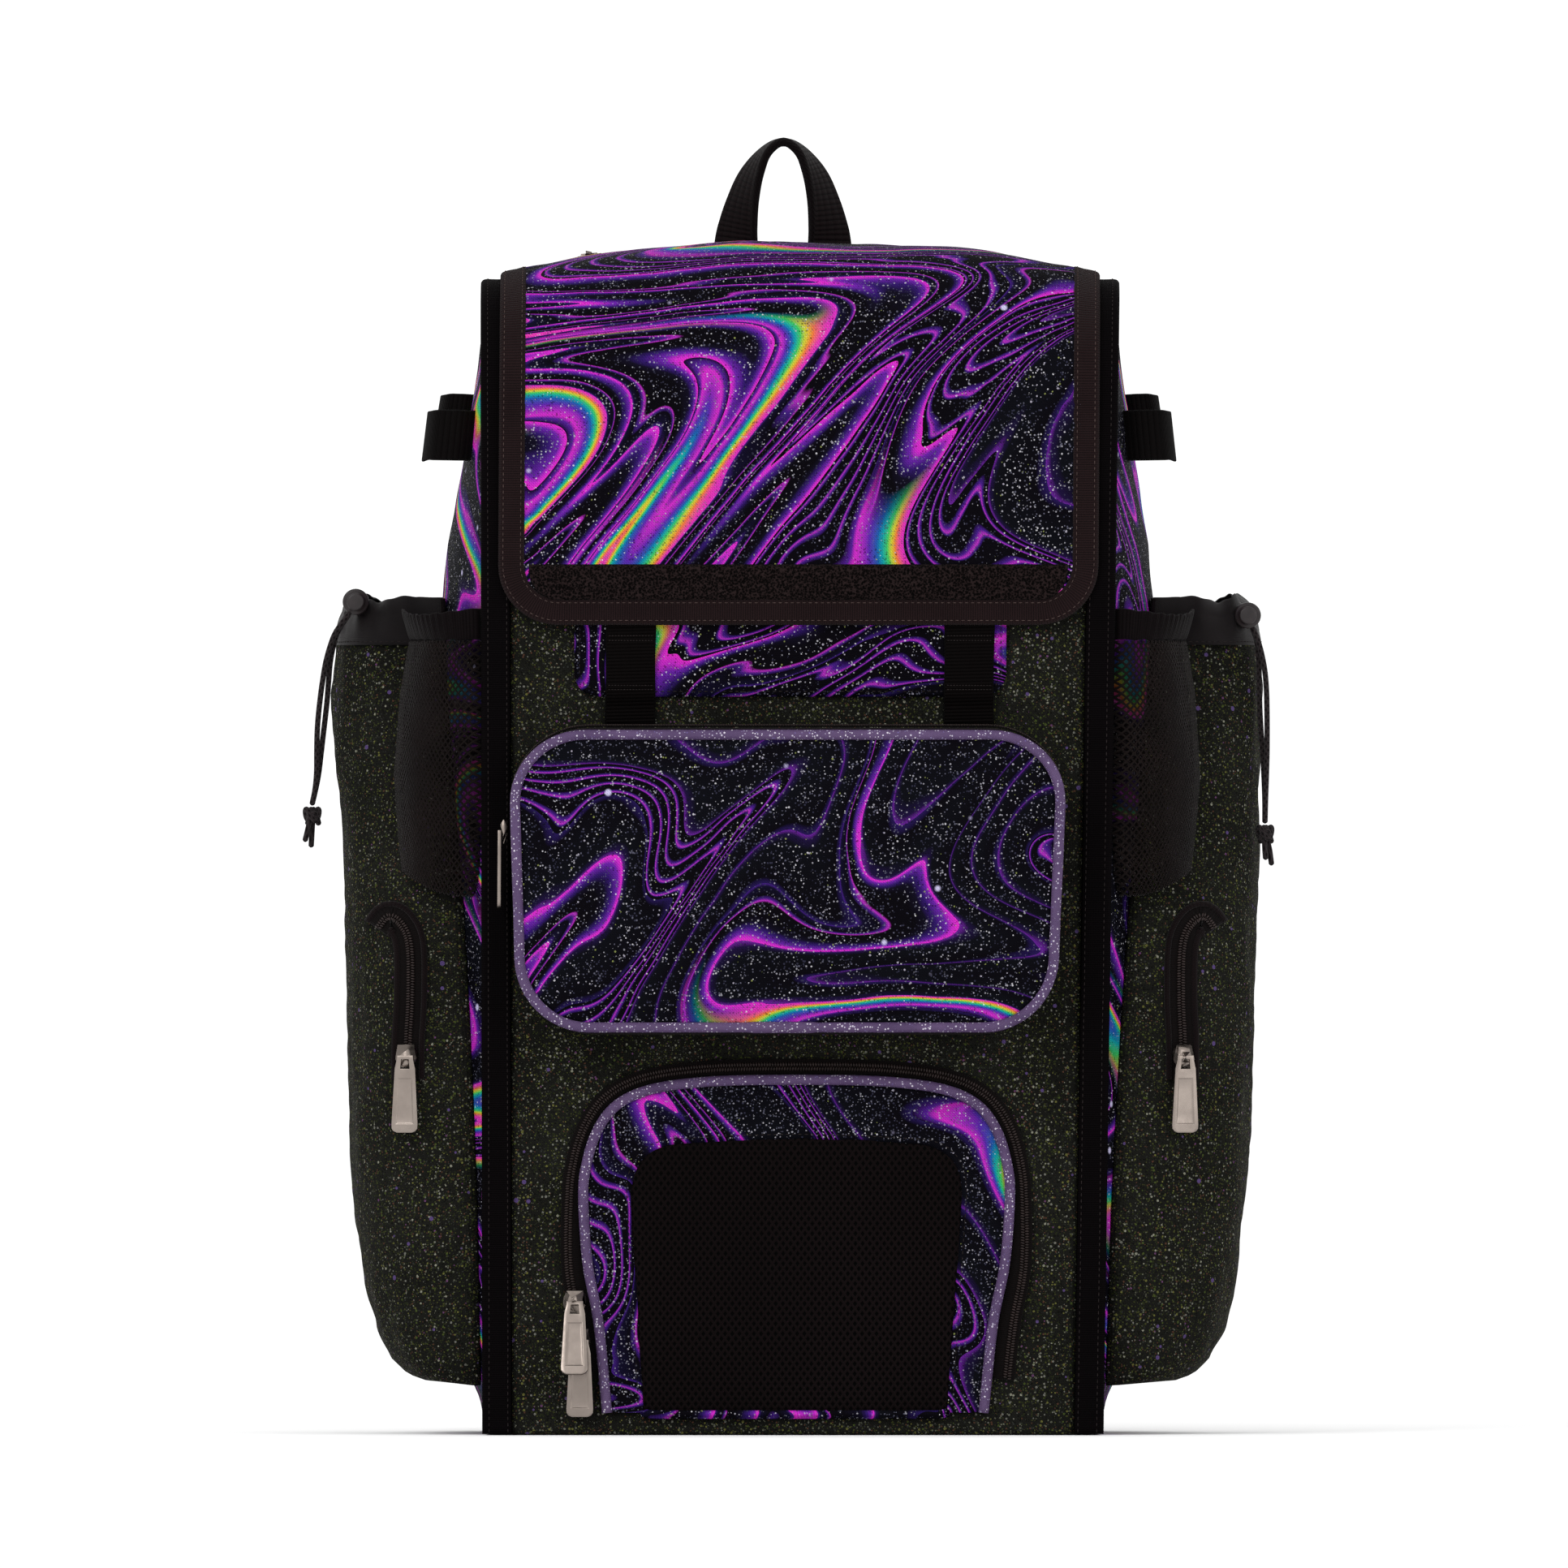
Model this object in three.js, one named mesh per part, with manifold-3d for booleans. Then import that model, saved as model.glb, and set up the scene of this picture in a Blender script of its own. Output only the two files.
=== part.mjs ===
import * as THREE from 'three';
import { mergeVertices } from 'three/addons/utils/BufferGeometryUtils.js';
import Module from 'manifold-3d';

// Baseball bat backpack, standing upright. Millimetres, +Z up, the front faces -Y.
// Soft walls are closed sheets of cloth; the pieces meet at a small clearance.

// Driving dimensions: clearances and cloths
const GAP = 0.3;
const SEAM = 0.6;
const ZIP_SEAT = 1;
const PANEL_WALL = 2.1;
const SIDE_WALL = 2.5;
const SLEEVE_WALL = 2;
const MESH_WALL = 1.2;
const COLLAR_WALL = 1.5;
const HEM_WALL = 2.5;

// Driving dimensions: main body
const BODY_HEIGHT = 572;
const BODY_DEPTH = 200;
const BODY_LEAN = 3.6;
const HALF_WIDTH_LOW = 153.5;
const HALF_WIDTH_HIGH = 158;
const FRONT_RADIUS = 48;
const REAR_RADIUS = 30;
const SIDE_FULLNESS = 23;
const BACK_PAD = 12;
const BACK_CROWN = 5;
const BASE_THICKNESS = 3.5;
const BINDING_WIDTH = 13;
const BINDING_PROUD = 4.9;
const BINDING_SIDE = 1.5;
const BINDING_END = 160;

// Driving dimensions: flap
const FLAP_HALF = 138.5;
const FLAP_DROP = 157;
const FLAP_WALL = 2.5;
const FLAP_CORNER = 18.7;
const FLAP_CROWN = 15.5;
const FLAP_TAIL = 15;
const FLAP_BINDING_WIDTH = 11;
const FLAP_BINDING_THICKNESS = 3;
const LOOP_STRIP_HEIGHT = 18;
const LOOP_STRIP_MARGIN = 4;
const LOOP_STRIP_THICKNESS = 1.8;
const LOOP_STRIP_CORNER = 15;

// Driving dimensions: webbing and what it makes
const WEBBING = 25;
const WEBBING_THICKNESS = 1.8;
const UNDER_PANEL_LEFT = -111.5;
const UNDER_PANEL_RIGHT = 104;
const UNDER_PANEL_LOW = 368;
const UNDER_PANEL_HIGH = 450;
const STRAP_LEFT = -83.5;
const STRAP_RIGHT = 85.5;
const STRAP_TOP = 440;
const LOOP_REACH = 23;
const LOOP_OPENING = 9;
const HANDLE_CENTRE = -8.8;
const HANDLE_HEIGHT = 647;
const HANDLE_HALF = 24;
const HANDLE_THICKNESS = 4.4;
const SHOULDER_PAD_WIDTH = 64;
const SHOULDER_PAD_THICKNESS = 10;

// Driving dimensions: middle pocket
const POCKET_CENTRE = -4.6;
const POCKET_HALF = 137.4;
const POCKET_LOW = 199.5;
const POCKET_HIGH = 352.5;
const POCKET_CORNER = 38;
const POCKET_DEPTH = 30;
const POCKET_CROWN = 6;
const POCKET_WALL = 2;
const PIPING_RADIUS = 2.6;
const PIPING_INSET = 1;

// Driving dimensions: lower arched pocket
const ARCH_CENTRE = 1.1;
const ARCH_HALF = 106.5;
const ARCH_TOP = 176.6;
const ARCH_FOOT = 10.5;
const ARCH_COIL = 3.7;
const ARCH_ZIP_WIDTH = 7.5;
const ARCH_ZIP_SPREAD = 3.4;
const ARCH_ZIP_FOOT = 27;
const DOOR_WALL = 2.5;
const DOOR_LAP = 5;
const WINDOW_HALF_LOW = 76.5;
const WINDOW_HALF_HIGH = 83;
const WINDOW_LOW = 13.5;
const WINDOW_HIGH = 146;
const WINDOW_CORNER = 18;

// Driving dimensions: bat sleeves, collars and bottle pockets
const SLEEVE_LOW = 24;
const SLEEVE_HIGH = 396;
const SLEEVE_REACH = 74;
const SLEEVE_BACK = 84;
const SLEEVE_SQUARENESS = 3;
const SLEEVE_FOLD = 2;
const SLEEVE_WAVES = 1.9;
const COLLAR_HEIGHT = 21;
const COLLAR_LEAN = 13;
const COLLAR_GATHER = 1.8;
const BOTTLE_LOW = 262;
const BOTTLE_REACH = 45.5;
const HEM_HEIGHT = 15.7;
const HEM_FLARE = 4;

// Driving dimensions: zips and their hardware
const TAPE_THICKNESS = 0.5;
const COIL_HEIGHT = 0.8;
const COIL_HALF = 2.4;
const SIDE_TAPE_HALF = 6;
const SLIDER_LENGTH = 13;
const SLIDER_WIDTH = 11.6;
const SLIDER_THICKNESS = 2.4;
const RING_INNER = 2.2;
const RING_OUTER = 4;
const RING_WIDTH = 3.2;
const PIN_HEIGHT = 1.9;
const PULL_LENGTH = 38.6;
const PULL_WIDTH_TOP = 10;
const PULL_WIDTH_LOW = 13.6;
const PULL_THICKNESS = 1.8;
const PULL_WINDOW_HALF = 2.3;
const PULL_WINDOW_LENGTH = 4.8;
const SIDE_PULL_HEIGHT = 188;
const SIDE_PULL_OFFSET = 193;
const UPPER_PULL_TILT = 20;

// Driving dimensions: drawcords
const CORD_DIAMETER = 2.8;
const LOCK_RADIUS = 6.6;
const LOCK_LENGTH = 13;
const KNOT_RADIUS = 4.6;

const { abs, cos, max, min, PI, sign, sin, sqrt } = Math;
const { clamp, degToRad, lerp, smoothstep } = THREE.MathUtils;
const point = (x, y, z) => new THREE.Vector3(x, y, z);
const FRONT = -BODY_DEPTH / 2;
const BACK = BODY_DEPTH / 2;
const SIDE_INSET = PANEL_WALL + GAP;
const INSIDE_FRONT = FRONT + SIDE_INSET;
const INSIDE_BACK = BACK - BACK_PAD - GAP;
const FRONT_RISE = BODY_HEIGHT - FRONT_RADIUS;
const REAR_RISE = BODY_HEIGHT - REAR_RADIUS;

// Solid makers

// Closes a mesh: shared points are merged and the faces point out.
function closedMesh(points, faces) {
  const keys = new Map();
  const merged = [];
  const names = points.map((p) => {
    const key = [p.x, p.y, p.z].map((value) => value.toFixed(3)).join();
    if (!keys.has(key)) {
      keys.set(key, merged.length);
      merged.push(p);
    }
    return keys.get(key);
  });
  let kept = faces.map((face) => face.map((corner) => names[corner]));
  kept = kept.filter(([a, b, c]) => a !== b && b !== c && c !== a);
  let volume = 0;
  for (const [a, b, c] of kept) {
    volume += merged[a].dot(merged[b].clone().cross(merged[c]));
  }
  if (volume < 0) kept = kept.map(([a, b, c]) => [c, b, a]);
  const geometry = new THREE.BufferGeometry();
  const flat = merged.flatMap((p) => [p.x, p.y, p.z]);
  geometry.setAttribute('position', new THREE.Float32BufferAttribute(flat, 3));
  geometry.setIndex(kept.flat());
  geometry.computeVertexNormals();
  return geometry;
}

const halves = (quads) => quads.flatMap(([a, b, c, d]) => [[a, b, c], [a, c, d]]);

// A sheet of cloth between a grid of outer points and a grid of inner points.
function sheet(outer, inner, closed = false) {
  const rows = outer.length;
  const columns = outer[0].length;
  const steps = closed ? columns : columns - 1;
  const at = (side, row, column) => (side * rows + row) * columns + (column % columns);
  const quads = [];
  for (let row = 0; row < rows - 1; row += 1) {
    for (let k = 0; k < steps; k += 1) {
      quads.push([at(0, row, k), at(0, row, k + 1), at(0, row + 1, k + 1), at(0, row + 1, k)]);
      quads.push([at(1, row, k), at(1, row + 1, k), at(1, row + 1, k + 1), at(1, row, k + 1)]);
    }
    if (!closed) {
      quads.push([at(0, row, 0), at(0, row + 1, 0), at(1, row + 1, 0), at(1, row, 0)]);
      const edge = columns - 1;
      quads.push([at(1, row, edge), at(1, row + 1, edge), at(0, row + 1, edge), at(0, row, edge)]);
    }
  }
  const last = rows - 1;
  for (let k = 0; k < steps; k += 1) {
    quads.push([at(1, 0, k), at(1, 0, k + 1), at(0, 0, k + 1), at(0, 0, k)]);
    quads.push([at(0, last, k), at(0, last, k + 1), at(1, last, k + 1), at(1, last, k)]);
  }
  return closedMesh([...outer.flat(), ...inner.flat()], halves(quads));
}

// The direction square to a surface given by two shares.
function squareTo(surface, u, v) {
  const step = 0.004;
  const along = surface(min(u + step, 1), v).sub(surface(max(u - step, 0), v));
  const up = surface(u, min(v + step, 1)).sub(surface(u, max(v - step, 0)));
  return along.cross(up).normalize();
}

// A sheet of even thickness behind a surface; the surface's normal points out.
function cloth(surface, across, heights, thickness, keepOut = (p) => p) {
  const outer = heights.map((v) => across.map((u) => surface(u, v)));
  const inner = heights.map((v) => across.map((u) => {
    const inwards = squareTo(surface, u, v).multiplyScalar(-thickness);
    return keepOut(surface(u, v).add(inwards));
  }));
  return sheet(outer, inner);
}

const shares = (count) => Array.from({ length: count + 1 }, (_, k) => k / count);

// Joins like sections into a solid, capped at its ends or closed into a ring.
function loft(rows, { ring = false, cap = null } = {}) {
  const sides = rows[0].length;
  const at = (row, k) => (row % rows.length) * sides + (k % sides);
  const quads = [];
  for (let row = 0; row < (ring ? rows.length : rows.length - 1); row += 1) {
    for (let k = 0; k < sides; k += 1) {
      quads.push([at(row, k), at(row, k + 1), at(row + 1, k + 1), at(row + 1, k)]);
    }
  }
  const faces = halves(quads);
  if (!ring) {
    const fan = cap ?? Array.from({ length: sides - 2 }, (_, k) => [0, k + 1, k + 2]);
    const last = rows.length - 1;
    for (const [a, b, c] of fan) {
      faces.push([at(0, c), at(0, b), at(0, a)]);
      faces.push([at(last, a), at(last, b), at(last, c)]);
    }
  }
  return closedMesh(rows.flat(), faces);
}

const outwards = (from, to) => new THREE.Vector2(to.y - from.y, from.x - to.x).normalize();

// Moves each point of a path square to it, with mitred corners.
function offsetPath(path, distance, closed = false) {
  const count = path.length;
  return path.map((here, k) => {
    const before = closed || k > 0 ? path[(k - 1 + count) % count] : null;
    const after = closed || k < count - 1 ? path[(k + 1) % count] : null;
    const first = before ? outwards(before, here) : outwards(here, after);
    const second = after ? outwards(here, after) : first;
    const mitre = first.clone().add(second).divideScalar(1 + first.dot(second));
    return here.clone().addScaledVector(mitre, distance);
  });
}

const onFront = (x, z, lift) => point(x, FRONT - lift, z);

// An edging along a path: out is square to the path, lift is off the surface. The section
// is a list, or a function that gives one for a point of the path.
function edging(path, section, { closed = false, place = onFront } = {}) {
  const sectionAt = typeof section === 'function' ? section : () => section;
  const flat = sectionAt(path[0]).map(({ out, lift }) => new THREE.Vector2(out, lift));
  const turned = THREE.ShapeUtils.area(flat) < 0;
  if (turned) flat.reverse();
  const square = offsetPath(path, 1, closed);
  const rows = path.map((here, k) => {
    const corners = turned ? [...sectionAt(here)].reverse() : sectionAt(here);
    return corners.map(({ out, lift }) => {
      const at = here.clone().lerp(square[k], out);
      return place(at.x, at.y, lift);
    });
  });
  return loft(rows, { ring: closed, cap: THREE.ShapeUtils.triangulateShape(flat, []) });
}

const bar = (near, far, low, high) => [
  { out: near, lift: low }, { out: far, lift: low }, { out: far, lift: high }, { out: near, lift: high },
];

function roundBar(centre, lift, radius, sides = 6) {
  return shares(sides).slice(1).map((turn) => ({
    out: centre + radius * cos(2 * PI * turn),
    lift: lift + radius * sin(2 * PI * turn),
  }));
}

// Zip tape with the coil standing on it, along its middle unless told otherwise.
function zipSection(near, far, base, middle = (near + far) / 2) {
  const tape = base + TAPE_THICKNESS;
  return [
    { out: near, lift: base }, { out: far, lift: base }, { out: far, lift: tape },
    { out: middle + COIL_HALF, lift: tape }, { out: middle + COIL_HALF / 2, lift: tape + COIL_HEIGHT },
    { out: middle - COIL_HALF / 2, lift: tape + COIL_HEIGHT }, { out: middle - COIL_HALF, lift: tape },
    { out: near, lift: tape },
  ];
}

const ZIP_HEIGHT = TAPE_THICKNESS + COIL_HEIGHT;

// A flat plate seen from the front; it grows forwards from its back face.
function plate(outline, backFace, thickness, curveSegments = 6) {
  const geometry = new THREE.ExtrudeGeometry(outline, { depth: thickness, bevelEnabled: false, curveSegments });
  geometry.rotateX(PI / 2);
  geometry.translate(0, backFace, 0);
  return geometry;
}

function roundedOutline(left, right, low, high, radius) {
  const shape = new THREE.Shape();
  shape.absarc(right - radius, low + radius, radius, -PI / 2, 0);
  shape.absarc(right - radius, high - radius, radius, 0, PI / 2);
  shape.absarc(left + radius, high - radius, radius, PI / 2, PI);
  shape.absarc(left + radius, low + radius, radius, PI, 1.5 * PI);
  return shape;
}

const withoutRepeats = (path) => path.filter((here, k) => (
  here.distanceTo(path[(k + path.length - 1) % path.length]) > 0.01));

// Flat webbing along a path; wide gives the direction of its width at each point.
function webbing(path, wide, width, thickness) {
  const rows = path.map((here, k) => {
    const tangent = path[min(k + 1, path.length - 1)].clone().sub(path[max(k - 1, 0)]).normalize();
    const across = wide(k / (path.length - 1), tangent).clone();
    across.addScaledVector(tangent, -across.dot(tangent)).normalize();
    const depth = tangent.clone().cross(across);
    const size = (value) => (typeof value === 'function' ? value(k / (path.length - 1)) : value);
    const corners = [[-1, 0], [-0.93, -1], [0.93, -1], [1, 0], [0.93, 1], [-0.93, 1]];
    return corners.map(([a, b]) => here.clone()
      .addScaledVector(across, a * size(width) / 2)
      .addScaledVector(depth, b * size(thickness) / 2));
  });
  return loft(rows);
}

const wasm = await Module();
wasm.setup();

function toSolid(geometry) {
  const bare = geometry.clone();
  bare.deleteAttribute('normal');
  bare.deleteAttribute('uv');
  const merged = mergeVertices(bare, 1e-3);
  const mesh = new wasm.Mesh({
    numProp: 3,
    vertProperties: Float32Array.from(merged.attributes.position.array),
    triVerts: Uint32Array.from(merged.index.array),
  });
  return new wasm.Manifold(mesh);
}

function fused(...geometries) {
  const whole = geometries.map(toSolid).reduce((sum, next) => sum.add(next)).getMesh();
  const geometry = new THREE.BufferGeometry();
  geometry.setAttribute('position', new THREE.BufferAttribute(Float32Array.from(whole.vertProperties), 3));
  geometry.setIndex(new THREE.BufferAttribute(Uint32Array.from(whole.triVerts), 1));
  geometry.computeVertexNormals();
  return geometry;
}

// Colours and finishes
const finish = (color, roughness = 0.9, metalness = 0) => (
  new THREE.MeshStandardMaterial({ color, roughness, metalness }));
const finishes = {
  marbled: finish('#2c1250', 0.7),
  speckled: finish('#1a1b17'),
  black: finish('#0b090a'),
  binding: finish('#322b2a'),
  piping: finish('#6a5590', 0.6),
  mesh: finish('#070506'),
  nickel: finish('#c8beb4', 0.32, 1),
  cord: finish('#060505', 0.6),
  plastic: finish('#1a1314', 0.45),
};

const bag = new THREE.Group();

function add(name, geometry, material) {
  const mesh = new THREE.Mesh(geometry, finishes[material]);
  mesh.name = name;
  bag.add(mesh);
  return mesh;
}

const bothSides = [{ side: 'left', hand: -1 }, { side: 'right', hand: 1 }];

// Turns a shape made on the right-hand side over to the left.
function onSide(geometry, hand) {
  if (hand > 0) return geometry;
  const turned = geometry.index ? geometry.toNonIndexed() : geometry.clone();
  const places = turned.attributes.position;
  for (let k = 0; k < places.count; k += 1) places.setX(k, -places.getX(k));
  const merged = mergeVertices(new THREE.BufferGeometry().setAttribute('position', places), 1e-4);
  const order = merged.index.array;
  for (let k = 0; k < order.length; k += 3) [order[k], order[k + 2]] = [order[k + 2], order[k]];
  merged.computeVertexNormals();
  return merged;
}

// Body shape: half its width at a height, and its outline seen from the side
const bodyHalf = (z) => lerp(HALF_WIDTH_LOW, HALF_WIDTH_HIGH, clamp(z / BODY_HEIGHT, 0, 1));

const frontArc = FRONT_RADIUS * PI / 2;
const rearArc = REAR_RADIUS * PI / 2;
const topRun = BODY_DEPTH - FRONT_RADIUS - REAR_RADIUS;
const TOP_START = FRONT_RISE + frontArc;
const REAR_START = TOP_START + topRun;
const TAIL_START = REAR_START + rearArc;

// Goes up the front, over the top and down the back; out is square to the outline.
function bodyOutline(run, out) {
  if (run < FRONT_RISE) return [FRONT - out, run];
  if (run < TOP_START) {
    const turn = (run - FRONT_RISE) / FRONT_RADIUS;
    const reach = FRONT_RADIUS + out;
    return [FRONT + FRONT_RADIUS - reach * cos(turn), FRONT_RISE + reach * sin(turn)];
  }
  if (run < REAR_START) return [FRONT + FRONT_RADIUS + run - TOP_START, BODY_HEIGHT + out];
  if (run < TAIL_START) {
    const turn = (run - REAR_START) / REAR_RADIUS;
    const reach = REAR_RADIUS + out;
    return [BACK - REAR_RADIUS + reach * sin(turn), REAR_RISE + reach * cos(turn)];
  }
  return [BACK + out, REAR_RISE - (run - TAIL_START)];
}

// The side panels swell between the front and back edges.
const sideRows = [
  { height: 0, full: 0 }, { height: 0.03, full: 0.14 }, { height: 0.045, full: 0.31 },
  { height: 0.07, full: 0.6 }, { height: 0.12, full: 0.97 }, { height: 0.2, full: 1 },
  { height: 0.66, full: 1 }, { height: 0.72, full: 0.95 },
  { height: 0.78, full: 0.79 }, { height: 0.84, full: 0.54 }, { height: 0.89, full: 0.31 },
  { height: 0.93, full: 0.16 }, { height: 0.965, full: 0.06 }, { height: 0.985, full: 0.02 },
  { height: 1, full: 0 },
];
const SIDE_TOP = BODY_HEIGHT - SIDE_INSET;

function readRows(rows, share, column) {
  const next = max(1, rows.findIndex((row) => row.height >= min(share, 1)));
  const low = rows[next - 1];
  const high = rows[next];
  const part = clamp((share - low.height) / (high.height - low.height), 0, 1);
  return lerp(low[column], high[column], part);
}

function sideSpan(z) {
  const frontReach = FRONT_RADIUS - SIDE_INSET;
  const rearReach = REAR_RADIUS - SIDE_INSET;
  const frontDrop = max(0, z - FRONT_RISE);
  const rearDrop = max(0, z - REAR_RISE);
  const front = FRONT + FRONT_RADIUS - sqrt(max(0, frontReach ** 2 - frontDrop ** 2));
  const back = BACK - REAR_RADIUS + sqrt(max(0, rearReach ** 2 - rearDrop ** 2));
  return { front, back: min(INSIDE_BACK, back) };
}

function fullAcross(share) {
  const arch = sin(PI * clamp(share, 0, 1));
  return arch * (1 + 0.35 * (1 - arch));
}

// How far out the side panel's face lies, on the right-hand side
function sideFace(y, z) {
  const { front, back } = sideSpan(z);
  const full = readRows(sideRows, z / SIDE_TOP, 'full') * fullAcross((y - front) / (back - front));
  return bodyHalf(z) + SIDE_FULLNESS * full;
}

function sidePanel() {
  const surface = (u, v) => {
    const z = v * SIDE_TOP;
    const { front, back } = sideSpan(z);
    const y = lerp(front, back, u);
    return point(sideFace(y, z), y, z);
  };
  const across = [0, 0.04, 0.11, 0.22, 0.36, 0.5, 0.64, 0.78, 0.89, 1];
  const outer = sideRows.map(({ height }) => across.map((u) => surface(u, height)));
  const inner = outer.map((row) => row.map((p) => point(p.x - SIDE_WALL, p.y, p.z)));
  return sheet(outer, inner);
}

// Main body
function frontPanel() {
  const low = bodyHalf(0) - BINDING_WIDTH - GAP;
  const high = bodyHalf(FRONT_RISE) - BINDING_WIDTH - GAP;
  const outline = new THREE.Shape();
  outline.moveTo(-low, 0);
  outline.lineTo(low, 0);
  outline.lineTo(high, FRONT_RISE);
  outline.lineTo(-high, FRONT_RISE);
  const doorway = offsetPath(archPath(), -PIPING_RADIUS - GAP - DOOR_LAP);
  doorway.forEach((corner) => {
    corner.y = max(corner.y, ARCH_FOOT + DOOR_LAP);
  });
  outline.holes.push(new THREE.Path(doorway));
  return plate(outline, FRONT + PANEL_WALL, PANEL_WALL);
}

function backPanel() {
  const surface = (u, v) => {
    const z = v * (REAR_RISE - GAP);
    const half = bodyHalf(z);
    const crown = BACK_CROWN * smoothstep(v, 0.08, 0.3) * (1 - smoothstep(v, 0.7, 0.88));
    return point(half * (1 - 2 * u), BACK + crown * sin(PI * u), z);
  };
  const heights = [0, 0.08, 0.19, 0.3, 0.5, 0.7, 0.79, 0.88, 1];
  const outer = heights.map((v) => shares(6).map((u) => surface(u, v)));
  const inner = outer.map((row) => row.map((p) => point(p.x, BACK - BACK_PAD, p.z)));
  return sheet(outer, inner);
}

function basePanel() {
  const half = bodyHalf(0) - SIDE_WALL - GAP;
  const geometry = new THREE.BoxGeometry(2 * half, INSIDE_BACK - INSIDE_FRONT, BASE_THICKNESS);
  geometry.translate(0, (INSIDE_BACK + INSIDE_FRONT) / 2, BASE_THICKNESS / 2);
  return geometry;
}

function edgeBinding() {
  const runs = [0, 0.25 * FRONT_RISE, 0.5 * FRONT_RISE, 0.75 * FRONT_RISE];
  shares(6).forEach((share) => runs.push(FRONT_RISE + share * frontArc));
  runs.push(TOP_START + topRun * 0.45, TOP_START + topRun * BINDING_END / BODY_DEPTH);
  const section = [
    { out: -BINDING_WIDTH, lift: GAP - PANEL_WALL }, { out: BINDING_SIDE, lift: GAP - PANEL_WALL },
    { out: BINDING_SIDE, lift: BINDING_PROUD * 0.7 }, { out: 0, lift: BINDING_PROUD },
    { out: 1.5 - BINDING_WIDTH, lift: BINDING_PROUD }, { out: -BINDING_WIDTH, lift: BINDING_PROUD * 0.7 },
  ];
  return loft(runs.map((run) => section.map(({ out, lift }) => {
    const [y, z] = bodyOutline(run, lift);
    return point(bodyHalf(min(run, BODY_HEIGHT)) + out, y, z);
  })));
}

// Flap: a cover in the flap's own plane, x across and run along the body's outline
const STRAP_STACK = 2 * GAP + FLAP_WALL + WEBBING_THICKNESS;
const FLAP_LIFT = max(BINDING_PROUD, STRAP_STACK) + GAP;
const FLAP_LOW = BODY_HEIGHT - FLAP_DROP;
const FLAP_END = TAIL_START + FLAP_TAIL;
const CREST = TOP_START + topRun * 0.2;

function flapPoint(x, run, lift) {
  const across = clamp(abs(x) / (FLAP_HALF + FLAP_BINDING_WIDTH), 0, 1);
  const rise = smoothstep(run, FRONT_RISE * 0.9, CREST) * (1 - smoothstep(run, CREST + topRun * 0.55, TAIL_START));
  const crown = FLAP_CROWN * (1 - across ** 2.4) * rise;
  const settle = smoothstep(run, TOP_START + topRun * 0.88, REAR_START + rearArc * 0.5);
  const [y, z] = bodyOutline(run, lerp(FLAP_LIFT, GAP, settle) + crown + lift);
  return point(x, y, z);
}

const flapRuns = [
  FRONT_RISE * 0.9, FRONT_RISE * 0.95, ...shares(6).map((s) => FRONT_RISE + s * frontArc),
  ...[0.2, 0.4, 0.6, 0.8, 0.9, 1].map((s) => TOP_START + s * topRun),
  ...[0.25, 0.5, 0.75, 1].map((s) => REAR_START + s * rearArc), FLAP_END,
];

function flapCover() {
  const cornerRuns = [0, 0.08, 0.29, 0.62, 1].map((s) => FLAP_LOW + s * FLAP_CORNER);
  const rows = [...cornerRuns, ...flapRuns].map((run) => {
    const rise = max(0, FLAP_CORNER - (run - FLAP_LOW));
    const half = FLAP_HALF - FLAP_CORNER + sqrt(FLAP_CORNER ** 2 - rise ** 2);
    return { run, half };
  });
  const skin = (lift) => rows.map(({ run, half }) => shares(10).map((u) => (
    flapPoint(half * (2 * u - 1), run, lift))));
  return sheet(skin(FLAP_WALL), skin(0));
}

function flapBinding() {
  const side = [...flapRuns].reverse();
  const path = side.map((run) => new THREE.Vector2(-FLAP_HALF, run));
  const bottom = new THREE.Path();
  bottom.absarc(FLAP_CORNER - FLAP_HALF, FLAP_LOW + FLAP_CORNER, FLAP_CORNER, PI, 1.5 * PI);
  bottom.absarc(FLAP_HALF - FLAP_CORNER, FLAP_LOW + FLAP_CORNER, FLAP_CORNER, 1.5 * PI, 2 * PI);
  path.push(...bottom.getPoints(2));
  path.push(...side.reverse().map((run) => new THREE.Vector2(FLAP_HALF, run)));
  return edging(path, bar(GAP, FLAP_BINDING_WIDTH + GAP, 0, FLAP_BINDING_THICKNESS), { place: flapPoint });
}

function loopStrip() {
  const low = FLAP_LOW + 1;
  const half = FLAP_HALF - LOOP_STRIP_MARGIN;
  const round = LOOP_STRIP_CORNER;
  const outline = new THREE.Shape();
  outline.absarc(round - half, low + round, round, PI, 1.5 * PI);
  outline.absarc(half - round, low + round, round, 1.5 * PI, 2 * PI);
  outline.lineTo(half, low + LOOP_STRIP_HEIGHT);
  outline.lineTo(-half, low + LOOP_STRIP_HEIGHT);
  return plate(outline, FRONT - FLAP_LIFT - FLAP_WALL - GAP, LOOP_STRIP_THICKNESS, 3);
}

// Under the flap: a printed panel and two straps that run down behind the middle pocket's zip
function underPanel() {
  const outline = roundedOutline(UNDER_PANEL_LEFT, UNDER_PANEL_RIGHT, UNDER_PANEL_LOW, UNDER_PANEL_HIGH, 12);
  return plate(outline, FRONT - GAP, FLAP_WALL, 3);
}

function frontStrap(centre) {
  const over = FRONT - FLAP_WALL - 2 * GAP - WEBBING_THICKNESS / 2;
  const low = FRONT - GAP - WEBBING_THICKNESS / 2;
  const foot = POCKET_HIGH + ZIP_HEIGHT + 2 * GAP;
  const path = [
    point(centre, over, STRAP_TOP), point(centre, over, UNDER_PANEL_LOW - 0.5),
    point(centre, low, UNDER_PANEL_LOW - 5), point(centre, low, foot),
  ];
  return webbing(path, () => point(1, 0, 0), WEBBING, WEBBING_THICKNESS);
}

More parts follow.
